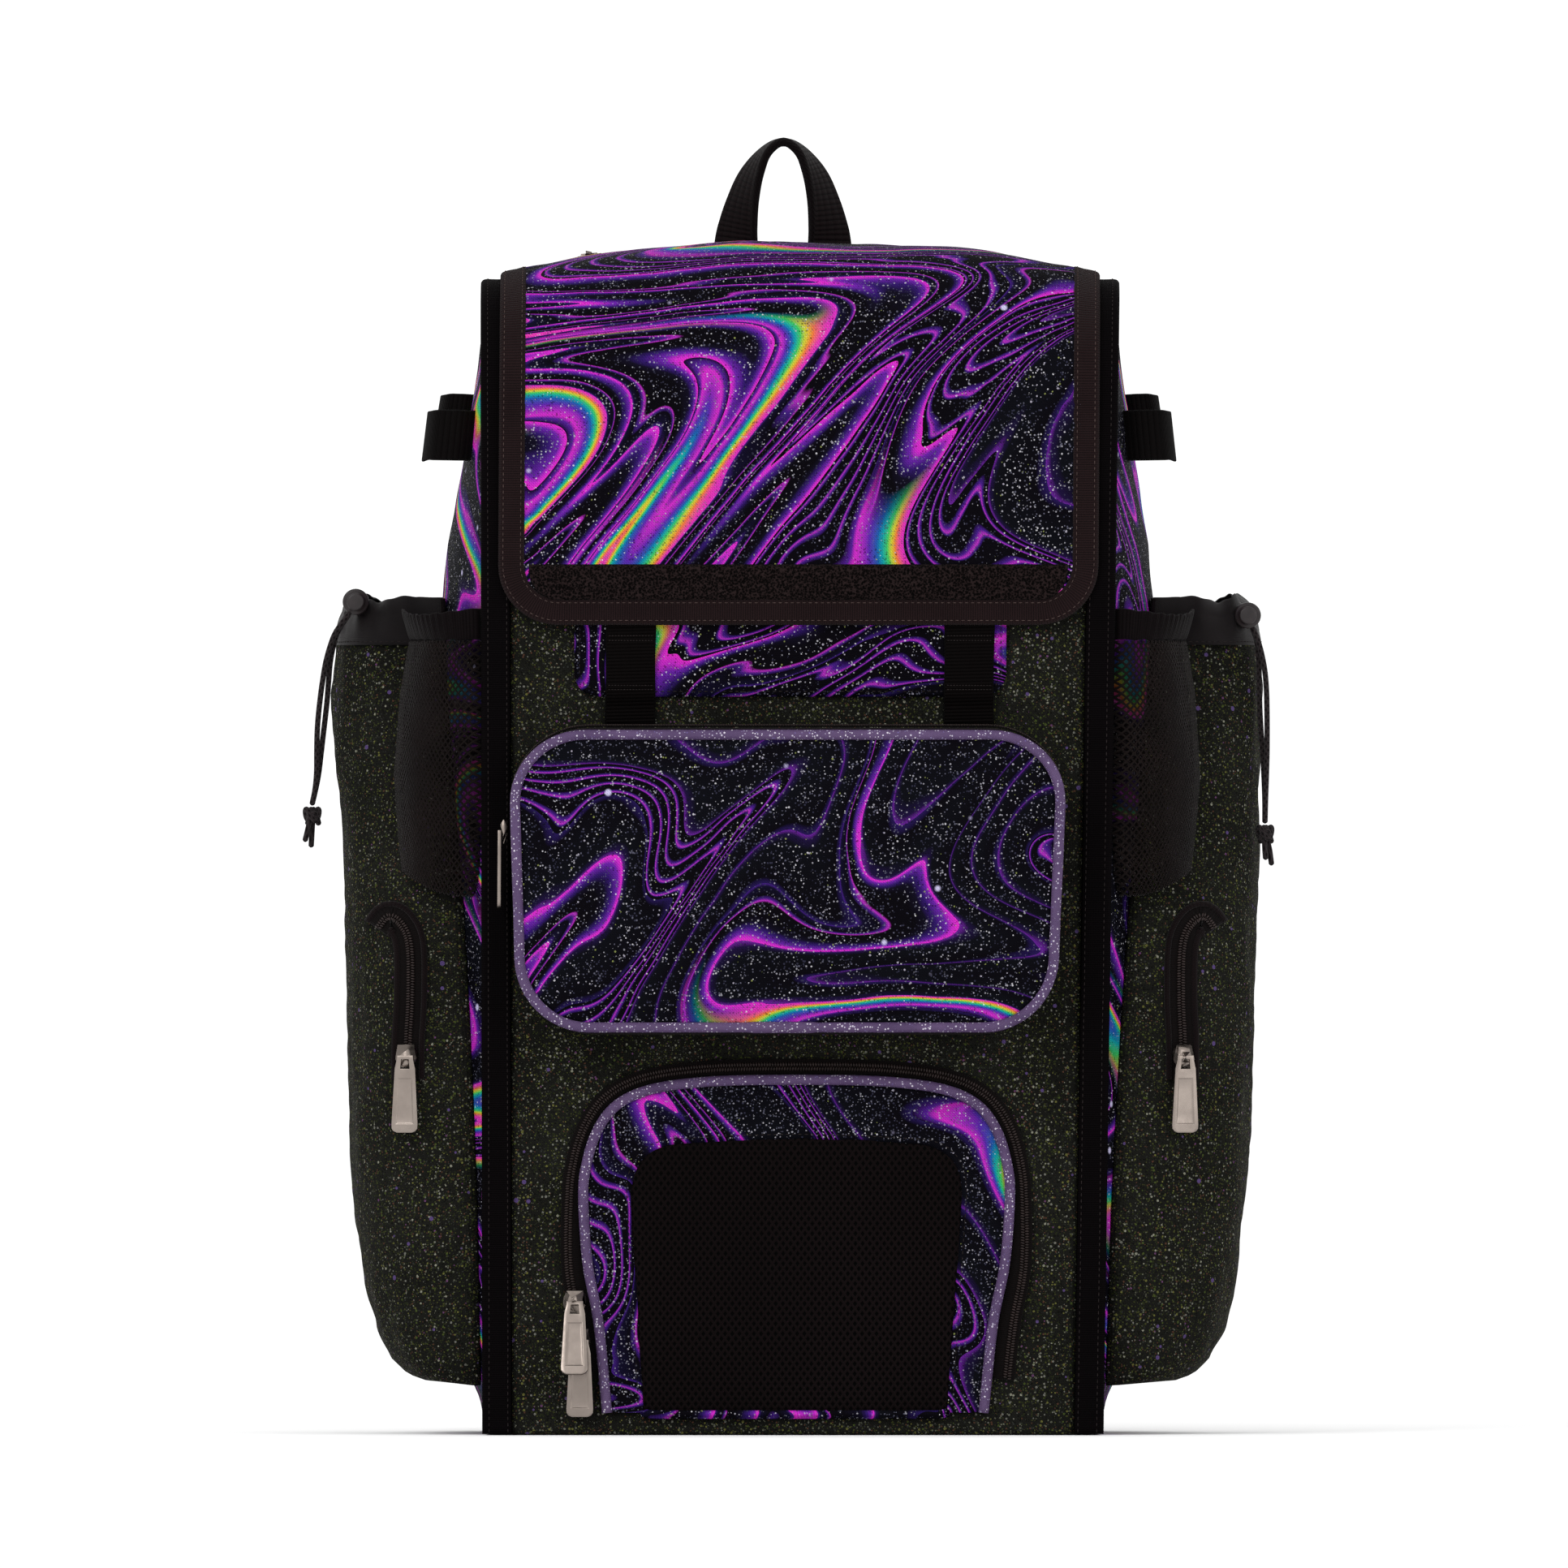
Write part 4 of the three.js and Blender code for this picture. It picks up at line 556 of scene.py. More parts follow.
lit = add_node(marbling, "ShaderNodeMapRange",
               {"Value": patch.outputs["Fac"], "From Min": 0.46, "From Max": 0.54})
lit = reckon(marbling, "MULTIPLY", reckon(marbling, "GREATER_THAN", pick, 0.7), lit.outputs[0])
print_colour = blended(marbling, lit, print_colour, shine)
marbling.links.new(print_colour, out["Colour"])


def marbled_cloth(name, turn=(0, 0, 0), shift=(0, 0, 0), scale=(1, 1, 1)):
    """The printed cloth: marbling, white stars and a sprinkling of fine specks."""
    finish, tree, surface = new_finish(name, 0.62)
    colour = put_group(tree, marbling, Vector=object_place(tree, scale, turn, shift))["Colour"]
    place = object_place(tree, shift=shift)
    fine = put_group(tree, glitter, Vector=place, Grain=0.0012, Size=0.34, Share=0.85)
    fine_colour = ramp(tree, fine["Pick"], [
        (0.0, dye(10, 9, 15)), (0.3, dye(58, 58, 78)), (0.56, dye(104, 104, 122)), (0.78, dye(172, 170, 180)),
        (0.93, dye(224, 222, 228)), (0.98, dye(150, 160, 90))], "CONSTANT")
    colour = blended(tree, reckon(tree, "MULTIPLY", fine["Mask"], 0.62), colour, fine_colour)
    specks = put_group(tree, glitter, Vector=place, Grain=0.0034, Size=0.13, Share=0.4)
    colour = blended(tree, reckon(tree, "MULTIPLY", specks["Mask"], 0.7), colour, dye(176, 170, 186))
    stars = add_node(tree, "ShaderNodeTexVoronoi", {"Vector": place, "Scale": 38.0})
    star_pick = add_node(tree, "ShaderNodeSeparateColor", {0: stars.outputs["Color"]}).outputs
    star_kept = reckon(tree, "LESS_THAN", star_pick["Red"], 0.6)
    core = add_node(tree, "ShaderNodeMapRange", {
        "Value": stars.outputs["Distance"], "From Min": 0.03, "From Max": 0.09, "To Min": 1.0, "To Max": 0.0,
    }, interpolation_type="SMOOTHERSTEP")
    glow = reckon(tree, "MULTIPLY", reckon(tree, "MULTIPLY", core.outputs[0], star_kept), 0.9)
    colour = blended(tree, glow, colour, dye(206, 200, 236))
    threads = put_group(tree, weave, Thread=0.0007)
    colour = blended(tree, reckon(tree, "MULTIPLY", threads["Shade"], 0.92), dye(2, 2, 4), colour)
    tree.links.new(colour, surface.inputs["Base Color"])
    raise_bump(tree, surface, threads["Height"], 0.0001)
    return finish


side_cloth = marbled_cloth("marbled_sides", shift=(0.3, 0.1, 0.0), turn=(0, 0, pi / 2))
SIDES = (("left", -1), ("right", 1))


def side_point(hand):
    def place(u, v):
        z = v * SIDE_TOP
        front, back = side_span(z)
        y = mix(front, back, u)
        x = side_face(y, z)
        if z > 400:
            folds = ruffle((hand * 50, y * 0.5, z), 26, 1.3)
            x += folds * sin(pi * u) * eased(z, 400, 430) * (1 - eased(z, 520, 560))
        return Vector((hand * x, y, z))
    return place


for side, hand in SIDES:
    bm = lay(44, 150, side_point(hand), (BODY_DEPTH, SIDE_TOP))
    finished(f"side_panel_{side}", bm, side_cloth, "marbled_fabric", [f"side_panel_{side}"],
             heart=(0, 0, 280), wall=SIDE_WALL - 0.3)


# Edge bindings

# A wide black band folded over each front seam, from the ground up over the
# top and under the flap. It is ribbed across, and stitched along both of its edges.

BINDING_PROUD = 4.9
BINDING_SIDE = 1.5
FRONT_ARC = FRONT_RADIUS * pi / 2
REAR_ARC = REAR_RADIUS * pi / 2
TOP_RUN = BODY_DEPTH - FRONT_RADIUS - REAR_RADIUS
TOP_START = FRONT_RISE + FRONT_ARC
REAR_START = TOP_START + TOP_RUN
TAIL_START = REAR_START + REAR_ARC
BINDING_RUN = REAR_START + REAR_ARC * 0.7

ribbed, given, out = new_group(
    "ribbed",
    [("Rib", "Float", 0.0012), ("Slant", "Float", 0.0)],
    [("Height", "Float"), ("Shade", "Float")],
)
parts = map_parts(ribbed)
slanted = reckon(ribbed, "MULTIPLY_ADD", parts["X"], given["Slant"], parts["Y"])
turns = reckon(ribbed, "MULTIPLY", reckon(ribbed, "DIVIDE", slanted, given["Rib"]), pi)
rib = round_backs(ribbed, turns)
strand = round_backs(ribbed, reckon(ribbed, "MULTIPLY", parts["X"], pi / 0.0007))
height = reckon(ribbed, "MULTIPLY_ADD", strand, 0.25, reckon(ribbed, "POWER", rib, 0.6))
ribbed.links.new(height, out["Height"])
ribbed.links.new(reckon(ribbed, "MULTIPLY_ADD", height, 0.55, 0.35), out["Shade"])


def band_finish(name, colour, rib, slant=0.0, rough=0.75, depth=0.0003, sheen=0.04):
    """Woven band with ribs across it; its fold lines and edges are painted a little lighter, a painted
    highlight.
    """
    finish, tree, surface = new_finish(name, rough, Sheen_Weight=sheen, Sheen_Roughness=0.4)
    ribs = put_group(tree, ribbed, Rib=rib, Slant=slant)
    worn = object_noise(tree, 45.0, 4.0)
    # painted highlight: the convex fold lines and edges, found by their pointiness, are made lighter
    edge = add_node(tree, "ShaderNodeNewGeometry").outputs["Pointiness"]
    edge_highlight = add_node(tree, "ShaderNodeMapRange",
                      {"Value": edge, "From Min": 0.5, "From Max": 0.62, "To Min": 0.0, "To Max": 0.5})
    shade = reckon(tree, "MULTIPLY", ribs["Shade"], reckon(tree, "MULTIPLY_ADD", worn, 0.7, 0.62))
    shade = reckon(tree, "ADD", shade, edge_highlight.outputs[0])
    paint(tree, surface, shade, dye(1, 1, 1), colour)
    raise_bump(tree, surface, ribs["Height"], depth)
    return finish


edge_band = band_finish("edge_band", dye(6, 4, 5), 0.0011, sheen=0.0)
black_thread, tree, surface = new_finish("black_thread", 0.6)
strands = object_noise(tree, 900.0, 2.0)
paint(tree, surface, strands, dye(8, 7, 7), dye(52, 46, 46))


def body_outline(run, out):
    """Up the front, over the top and down the back; out is square to the outline."""
    if run < FRONT_RISE:
        return FRONT - out, run
    if run < TOP_START:
        turn = (run - FRONT_RISE) / FRONT_RADIUS
        reach = FRONT_RADIUS + out
        return FRONT + FRONT_RADIUS - reach * cos(turn), FRONT_RISE + reach * sin(turn)
    if run < REAR_START:
        return FRONT + FRONT_RADIUS + run - TOP_START, BODY_HEIGHT + out
    if run < TAIL_START:
        turn = (run - REAR_START) / REAR_RADIUS
        reach = REAR_RADIUS + out
        return BACK - REAR_RADIUS + reach * sin(turn), REAR_RISE + reach * cos(turn)
    return BACK + out, REAR_RISE - (run - TAIL_START)


def rounded(near, far, low, high, radius, steps=3):
    """The section of a flat band with rounded edges, as (out, lift) pairs."""
    corners = ((far - radius, low + radius, -90), (far - radius, high - radius, 0),
               (near + radius, high - radius, 90), (near + radius, low + radius, 180))
    section = []
    for x, z, turn in corners:
        for k in range(steps + 1):
            angle = radians(turn + 90 * k / steps)
            section.append((x + radius * cos(angle), z + radius * sin(angle)))
    return section


def drawn_along(section, count, place, closed=False, width=20, length=100, bm=None):
    """Draws a section along a run of stations; place(station, out, lift) gives a point."""
    rounds = len(section)
    steps = count if closed else count - 1

    def at(u, v):
        return place(round(v * steps) % count, *section[round(u * rounds) % rounds])

    bm = lay(rounds, steps, at, (width, length), bm)
    bmesh.ops.remove_doubles(bm, verts=bm.verts, dist=0.004)
    if not closed:
        bmesh.ops.holes_fill(bm, edges=[e for e in bm.edges if e.is_boundary])
    return bm


def bead(bm, centre, long_axis, wide_axis, thick_axis, radius=1.0):
    """A small rounded lump with its own three axes, for a stitch or a tooth."""
    axes = Matrix((long_axis, wide_axis, thick_axis)).transposed().to_4x4()
    bmesh.ops.create_icosphere(bm, subdivisions=1, radius=radius, matrix=Matrix.Translation(centre) @ axes)


def stitches(bm, points, facing, pitch=3.1, length=2.3, thick=0.5):
    """A row of stitches along points; facing gives the cloth's outward direction at each."""
    walked, next_one = 0.0, pitch / 2
    for k in range(len(points) - 1):
        a, b = points[k], points[k + 1]
        step = (b - a).length
        while step > 0 and next_one <= walked + step:
            centre = a.lerp(b, (next_one - walked) / step)
            along = (b - a).normalized()
            up = facing[k].normalized()
            across = along.cross(up).normalized()
            bead(bm, centre + up * 0.1, along * length / 2, across * thick / 2, along.cross(across) * 0.22)
            next_one += pitch
        walked += step


def sewn_rows(name, bm, finish=None, slot="black_fabric"):
    """Finishes an object made of stitches."""
    bm.loops.layers.uv.get("cloth") or bm.loops.layers.uv.new("cloth")
    return finished(name, bm, finish or black_thread, slot)


binding_section = [
    (-BINDING_WIDTH, -1.6), (BINDING_SIDE, -1.6), (BINDING_SIDE + 0.1, 1.2), (BINDING_SIDE, 3.0), (0.9, 4.0),
    (0.0, 4.6), (-1.4, 4.85), (-4.0, 4.75), (-6.5, 4.7), (-9.0, 4.75), (-11.2, 4.8), (-12.4, 4.5),
    (-13.0, 3.8), (-13.1, 1.5),
]
binding_runs = [BINDING_RUN * k / 200 for k in range(201)]

for side, hand in SIDES:
    def binding_place(k, out, lift):
        run = binding_runs[k]
        top = eased(lift, 0, 3)
        give = ruffle((hand * 30, run, 4), 30, 0.55) * top
        y, z = body_outline(run, lift + min(give, 0.1))
        return Vector((hand * (body_half(min(run, BODY_HEIGHT)) + out + 0.3 * give), y, z))

    bm = drawn_along(binding_section, 201, binding_place, width=32, length=BINDING_RUN)
    finished(f"edge_binding_{side}", bm, edge_band, "black_fabric", [f"edge_binding_{side}"])
    bm = bmesh.new()
    for out in (-11.3, -1.9):
        row = [binding_place(k, out, 4.85) for k in range(201)]
        facing = [Vector((0, -1, 0)) if run < FRONT_RISE else Vector((0, -0.4, 1)) for run in binding_runs]
        stitches(bm, row, facing)
    sewn_rows(f"edge_stitches_{side}", bm)


# Panel and straps under the flap

# A printed panel with rounded corners sewn on the front,
# and two 25 mm webbing straps that come from under the flap, over it, and run down to the
# middle pocket. Bar tacks hold them.

FLAP_WALL = 2.5
WEBBING = 25
WEBBING_THICKNESS = 1.8
UNDER_LEFT, UNDER_RIGHT, UNDER_LOW, UNDER_HIGH = -111.5, 104, 368, 450
STRAP_CENTRES = (("left", -83.5), ("right", 85.5))
STRAP_TOP = 440
POCKET_HIGH = 352.5
ZIP_HEIGHT = 1.3

under_cloth = marbled_cloth("marbled_under_flap", shift=(0.71, 0.2, 0.33), turn=(0, -0.6, 0))
black_webbing = band_finish("black_webbing", dye(6, 4, 4), 0.0017, slant=0.18, rough=0.62, depth=0.0004,
                            sheen=0.01)


def flat_map(bm):
    """Gives a piece that faces forwards a map that runs level and upright."""
    cloth = bm.loops.layers.uv["cloth"]
    for face in bm.faces:
        for loop in face.loops:
            loop[cloth].uv = (loop.vert.co.x / 1000, loop.vert.co.z / 1000)


def under_place(u, v):
    z = mix(UNDER_LOW, UNDER_HIGH, v)
    short = max(0, 12 - min(z - UNDER_LOW, UNDER_HIGH - z))
    pull_in = 12 - sqrt(max(0, 144 - short * short))
    x = mix(UNDER_LEFT + pull_in, UNDER_RIGHT - pull_in, u)
    rim = min(x - UNDER_LEFT, UNDER_RIGHT - x, z - UNDER_LOW)
    soft = 0.9 * (1 - eased(rim, 0, 5))
    return Vector((x, FRONT - GAP - FLAP_WALL + soft + 0.25 + ruffle((x, 0, z), 22, 0.25), z))


bm = lay(100, 44, under_place)
flat_map(bm)
finished("under_flap_panel", bm, under_cloth, "marbled_fabric", ["under_flap_panel"], heart=(0, 0, 400),
         wall=2)
bm = bmesh.new()
seam_steps = [(2.6, UNDER_HIGH), (2.6, UNDER_LOW + 12), (5, UNDER_LOW + 6), (12, UNDER_LOW + 2.6)]
rim = [(UNDER_LEFT + inwards, z) for inwards, z in seam_steps]
rim += [(UNDER_RIGHT - inwards, z) for inwards, z in reversed(seam_steps)]
seam = [Vector((x, FRONT - GAP - FLAP_WALL + 0.3, z)) for x, z in rim]
stitches(bm, seam, [Vector((0, -1, 0))] * len(seam))
sewn_rows("under_flap_stitches", bm)

webbing_section = rounded(-WEBBING / 2, WEBBING / 2, -WEBBING_THICKNESS / 2, WEBBING_THICKNESS / 2, 0.75)
strap_over = FRONT - FLAP_WALL - 2 * GAP - WEBBING_THICKNESS / 2
strap_low = FRONT - GAP - WEBBING_THICKNESS / 2
strap_foot = POCKET_HIGH + ZIP_HEIGHT + 2 * GAP
for side, centre in STRAP_CENTRES:
    levels = [mix(strap_foot, STRAP_TOP, k / 60) for k in range(61)]

    def strap_place(k, out, lift):
        z = levels[k]
        y = mix(strap_low, strap_over, eased(z, UNDER_LOW - 5.5, UNDER_LOW + 1.5))
        x = centre + out * (1 + 0.012 * sin(z / 9)) + ruffle((centre, 0, z), 30, 0.5)
        return Vector((x, y - lift, z))

    bm = drawn_along(webbing_section, 61, strap_place, width=54, length=STRAP_TOP - strap_foot)
    finished(f"strap_{side}", bm, black_webbing, "black_webbing", [f"strap_{side}"])
    bm = bmesh.new()
    for z in (396, 398.4, 371.5, 373.6):
        y = strap_over - WEBBING_THICKNESS / 2 - 0.02
        stitches(bm, [Vector((centre - 11.2, y, z)), Vector((centre + 11.2, y, z))], [Vector((0, -1, 0))],
                 1.5, 1.3)
    sewn_rows(f"strap_tacks_{side}", bm)


# Middle pocket

# A box pocket. Its black side wall carries the zip, a round lilac piping
# goes round its front, and its printed face swells out between the piping.

POCKET_CENTRE = -4.6
POCKET_HALF = 137.4
POCKET_LOW = 199.5
POCKET_CORNER = 38
POCKET_DEPTH = 30
POCKET_CROWN = 6
POCKET_FACE = GAP + POCKET_DEPTH
PIPING_RADIUS = 2.6
PIPING_TRACK = 1 + PIPING_RADIUS
PIPING_LIFT = POCKET_FACE + PIPING_RADIUS
POCKET_SPREAD = 1.02

piping_finish, tree, surface = new_finish("lilac_piping", 0.48, Specular_IOR_Level=0.12)
worn = object_noise(tree, 60.0, 4.0)
satin = blended(tree, worn, dye(62, 46, 78), dye(101, 80, 116))
fine = put_group(tree, glitter, Vector=object_place(tree), Grain=0.00125, Size=0.32, Share=0.62)
fleck = blended(tree, fine["Pick"], dye(96, 80, 140), dye(236, 230, 240))
satin = blended(tree, reckon(tree, "MULTIPLY", fine["Mask"], 0.8), satin, fleck)
threads = put_group(tree, weave, Thread=0.0006)
satin = blended(tree, threads["Shade"], dye(42, 33, 56), satin)
tree.links.new(satin, surface.inputs["Base Color"])
raise_bump(tree, surface, threads["Height"], 0.00012)

zip_tape = band_finish("zip_tape", dye(13, 10, 10), 0.0009, rough=0.7, depth=0.0002)
zip_teeth, tree, surface = new_finish("zip_teeth", 0.38, Specular_IOR_Level=0.16)
gloss = object_noise(tree, 260.0, 2.0)
paint(tree, surface, gloss, dye(10, 8, 8), dye(50, 39, 37))
tree.links.new(reckon(tree, "MULTIPLY_ADD", gloss, 0.3, 0.25), surface.inputs["Roughness"])


def pocket_outline(inset):
    """The pocket's outline, a few millimetres from point to point, and out from each."""
    left, right = POCKET_CENTRE - POCKET_HALF + inset, POCKET_CENTRE + POCKET_HALF - inset
    low, high, radius = POCKET_LOW + inset, POCKET_HIGH - inset, POCKET_CORNER - inset
    corners = ((right - radius, low + radius, -90), (right - radius, high - radius, 0),
               (left + radius, high - radius, 90), (left + radius, low + radius, 180))
    arcs = [[Vector((x + radius * cos(radians(turn + 7.5 * k)), z + radius * sin(radians(turn + 7.5 * k))))
             for k in range(13)] for x, z, turn in corners]
    path = []
    for arc, following in zip(arcs, arcs[1:] + arcs[:1]):
        gap = (following[0] - arc[-1]).length
        count = max(1, round(gap / 4))
        path += arc + [arc[-1].lerp(following[0], k / count) for k in range(1, count)]
    for p in path:
        p.x = POCKET_CENTRE + (p.x - POCKET_CENTRE) * mix(0.972, 1, eased(p.y, POCKET_LOW, POCKET_HIGH))
    return path


def outward(path, closed=False):
    """The direction square to a path at each of its points."""
    count = len(path)
    ways = []
    for k in range(count):
        a = path[(k - 1) % count] if closed or k else path[k]
        b = path[(k + 1) % count] if closed or k < count - 1 else path[k]
        ways.append(Vector((b.y - a.y, a.x - b.x)).normalized())
    return ways


def on_front(path, ways):
    """Gives a place for (station, out, lift) along a path on the bag's front."""
    def place(k, out, lift):
        at = path[k] + ways[k] * out
        return Vector((at.x, FRONT - lift, at.y))
    return place


def round_bar(centre, lift, radius, sides=14):
    return [(centre + radius * cos(2 * pi * k / sides), lift + radius * sin(2 * pi * k / sides))
            for k in range(sides)]


def teeth_along(bm, points, tops, sides, pitch=1.35, span=2.25, height=0.95):
    """A zip's coil: two rows of teeth that meet in the middle. tops and sides give the
    direction off the tape and across it at each point."""
    walked, next_one = 0.0, pitch / 2
    for k in range(len(points) - 1):
        a, b = points[k], points[k + 1]
        step = (b - a).length
        while step > 0 and next_one <= walked + step:
            centre = a.lerp(b, (next_one - walked) / step)
            along, up, across = (b - a).normalized(), tops[k].normalized(), sides[k].normalized()
            for way in (-1, 1):
                at = centre + across * way * span * 0.48 + along * (0 if way > 0 else pitch / 2)
                long_axis = across * span / 2 + along * 0.12 * way
                bead(bm, at, long_axis, along * pitch * 0.36, up * height / 2, 1.15)
            next_one += pitch
        walked += step


outline = pocket_outline(0)
ways = outward(outline, closed=True)
count = len(outline)


def gusset_place(u, v):
    k = round(u * count) % count
    sag = ruffle((outline[k].x, v * 30, outline[k].y), 16, 0.5) * sin(pi * v) - 0.5 * sin(pi * v)
    at = outline[k] + ways[k] * sag
    return Vector((at.x, FRONT - mix(GAP, POCKET_FACE, v), at.y))


bm = lay(count, 10, gusset_place, (860, POCKET_DEPTH))
finished("mid_pocket_gusset", bm, black_cloth, "black_fabric", ["mid_pocket_gusset"],
         heart=(POCKET_CENTRE, -115, 276), wall=1.8)

front_place = on_front(outline, ways)


def piping_place(k, out, lift):
    # the piping's two ends lap over each other at the foot of the pocket
    lapped = -22 < outline[k].x < 8 and outline[k].y < POCKET_LOW + 4
    swell = 1.12 if lapped else 1 + ruffle((outline[k].x, 0, outline[k].y), 18, 0.05)
    p = front_place(k, -PIPING_TRACK + (out + PIPING_TRACK) * swell,
                    PIPING_LIFT + (lift - PIPING_LIFT) * swell)
    return Vector((mix(POCKET_CENTRE, p.x, POCKET_SPREAD), p.y, p.z))


bm = drawn_along(round_bar(-PIPING_TRACK, PIPING_LIFT, PIPING_RADIUS), count, piping_place, closed=True,
                 width=16, length=860)
finished("mid_pocket_piping", bm, piping_finish, "purple_piping", ["mid_pocket_piping"])

rim = pocket_outline(PIPING_TRACK + PIPING_RADIUS - 0.4)
middle = Vector((POCKET_CENTRE, (POCKET_LOW + POCKET_HIGH) / 2))


def face_place(u, v):
    share = 1 - v
    at = middle.lerp(rim[round(u * len(rim)) % len(rim)], share)
    crown = POCKET_CROWN * (1 - share ** 2.6)
    pucker = 0.5 * sin(u * len(rim) * 1.9) * (1 - eased(1 - share, 0, 0.07)) * (1 if share < 0.995 else 0)
    crease = ruffle((at.x, 0, at.y * 1.4), 42, 1.7) + ruffle((at.x, 7, at.y), 17, 0.5)
    lift = PIPING_LIFT + 0.6 + crown + pucker * 0.5 + crease * eased(1 - share, 0, 0.2)
    return Vector((mix(POCKET_CENTRE, at.x, POCKET_SPREAD), FRONT - lift, at.y))


pocket_cloth = marbled_cloth("marbled_pocket", shift=(0.86, 0.165, 0.8115), turn=(0, -0.45, 0),
                             scale=(-1, 1, 1))
bm = lay(len(rim), 60, face_place)
bmesh.ops.remove_doubles(bm, verts=bm.verts, dist=0.004)
flat_map(bm)
finished("mid_pocket_face", bm, pocket_cloth, "marbled_fabric", ["mid_pocket_face"],
         heart=(POCKET_CENTRE, 0, 276), wall=1.6)

zip_low = mix(POCKET_LOW, POCKET_HIGH, 0.28)
zip_first = next(k for k, p in enumerate(outline) if p.y > zip_low)
zip_path, zip_ways = [], []
for k in range(zip_first, count):
    if outline[k].y > zip_low:
        zip_path.append(outline[k])
        zip_ways.append(ways[k])
zip_place = on_front(zip_path, zip_ways)
tape_section = rounded(-6, 6, 0, 0.6, 0.28, 2)
zip_inner, zip_outer = POCKET_FACE * 0.28, POCKET_FACE * 0.9
zip_middle = (zip_inner + zip_outer) / 2
bm = drawn_along(rounded(GAP, GAP + 0.6, zip_inner, zip_outer, 0.28, 2), len(zip_path), zip_place, width=38,
                 length=600)
finished("mid_pocket_zip", bm, zip_tape, "black_zip", ["mid_pocket_zip"])
bm = bmesh.new()
points = [zip_place(k, GAP + 1.0, zip_middle) for k in range(len(zip_path))]
teeth_along(bm, points, [Vector((w.x, 0, w.y)) for w in zip_ways], [Vector((0, 1, 0))] * len(points))
sewn_rows("mid_pocket_teeth", bm, zip_teeth, "black_zip")


# Lower pocket

# An arched printed door with a black mesh window. A lilac piping edges the
# door, and a two-way zip runs round outside the piping, from foot to foot.

ARCH_CENTRE = 1.1
ARCH_HALF = 106.5
ARCH_TOP = 176.6
ARCH_FOOT = 10.5
ARCH_COIL = 3.7
ARCH_ZIP_WIDTH = 7.5
ARCH_ZIP_SPREAD = 3.4
ARCH_ZIP_FOOT = 27
DOOR_WALL = 2.5
MESH_WALL = 1.2

arch_rows = [(0, 0.882), (0.27, 0.925), (0.45, 0.978), (0.65, 1), (0.75, 0.985), (0.85, 0.935),
             (0.924, 0.848), (0.968, 0.711), (0.99, 0.517), (1, 0.247)]


def smooth_path(corners, step):
    """An even run of points on a smooth curve through the corners."""
    ends = [corners[0] * 2 - corners[1], *corners, corners[-1] * 2 - corners[-2]]
    fine = []
    for a, b, c, d in zip(ends, ends[1:], ends[2:], ends[3:]):
        for k in range(12):
            t = k / 12
            fine.append(0.5 * (2 * b + (c - a) * t + (2 * a - 5 * b + 4 * c - d) * t * t
                               + (3 * b - 3 * c + d - a) * t ** 3))
    fine.append(corners[-1])
    lengths = [0.0]
    for a, b in zip(fine, fine[1:]):
        lengths.append(lengths[-1] + (b - a).length)
    count = max(2, round(lengths[-1] / step))
    even, k = [], 0
    for n in range(count + 1):
        goal = lengths[-1] * n / count
        while k < len(fine) - 2 and lengths[k + 1] < goal:
            k += 1
        part = (goal - lengths[k]) / max(1e-9, lengths[k + 1] - lengths[k])
        even.append(fine[k].lerp(fine[k + 1], part))
    return even


rise = ARCH_TOP - ARCH_FOOT
right = [Vector((ARCH_CENTRE + across * ARCH_HALF, ARCH_FOOT + up * rise)) for up, across in arch_rows]
left = [Vector((2 * ARCH_CENTRE - p.x, p.y)) for p in reversed(right)]
arch = smooth_path(right + left, 2.5)
arch_ways = outward(arch)
arch_place = on_front(arch, arch_ways)
arch_heart = Vector((ARCH_CENTRE, 82))

door_rim = [p - w * (PIPING_RADIUS * 0.7) for p, w in zip(arch, arch_ways)]
foot_count = 60
door_rim += [door_rim[-1].lerp(door_rim[0], k / foot_count) for k in range(1, foot_count)]


WINDOW_HALF_LOW = 75.5
WINDOW_HALF_HIGH = 82.5
WINDOW_TOP = 145
WINDOW_FOOT = 9.5
WINDOW_CORNER = 27
WINDOW_ARCH = 2.2


def window_outline(inset=0.0):
    """The window's edge in the door, moved inwards by the inset."""
    low, high = WINDOW_HALF_LOW - inset, WINDOW_HALF_HIGH - inset
    top, foot, corner = WINDOW_TOP - inset, WINDOW_FOOT + inset, WINDOW_CORNER
    bend = [Vector((high, top - corner)).lerp(Vector((high, top)), t).lerp(
        Vector((high, top)).lerp(Vector((high - corner, top)), t), t) for t in (k / 10 for k in range(11))]
    side = [Vector((low, foot)).lerp(Vector((high, top - corner)), k / 30) for k in range(30)]
    # the top edge of the window is a little arched
    crest = [Vector((mix(high - corner, 0, k / 16), top + WINDOW_ARCH * sin(pi / 2 * k / 16)))
             for k in range(1, 16)]
    half = side + bend + crest
    whole = half + [Vector((-p.x, p.y)) for p in reversed(half)]
    whole += [whole[-1].lerp(whole[0], k / 30) for k in range(1, 30)]
    return [p + Vector((ARCH_CENTRE, 0)) for p in whole]


def reach_at(outline, angle):
    """How far an outline lies from the door's heart in one direction."""
    way = Vector((cos(angle), sin(angle)))
    best = 0.0
    for a, b in zip(outline, outline[1:] + outline[:1]):
        a, b = a - arch_heart, b - arch_heart
        side_a, side_b = way.x * a.y - way.y * a.x, way.x * b.y - way.y * b.x
        if side_a * side_b <= 0 and side_a != side_b:
            at = a.lerp(b, side_a / (side_a - side_b))
            if at.dot(way) > 0:
                best = max(best, at.length)
    return best


around = 240
door_reach = [reach_at(door_rim, 2 * pi * k / around) for k in range(around)]
window_reach = [reach_at(window_outline(), 2 * pi * k / around) for k in range(around)]


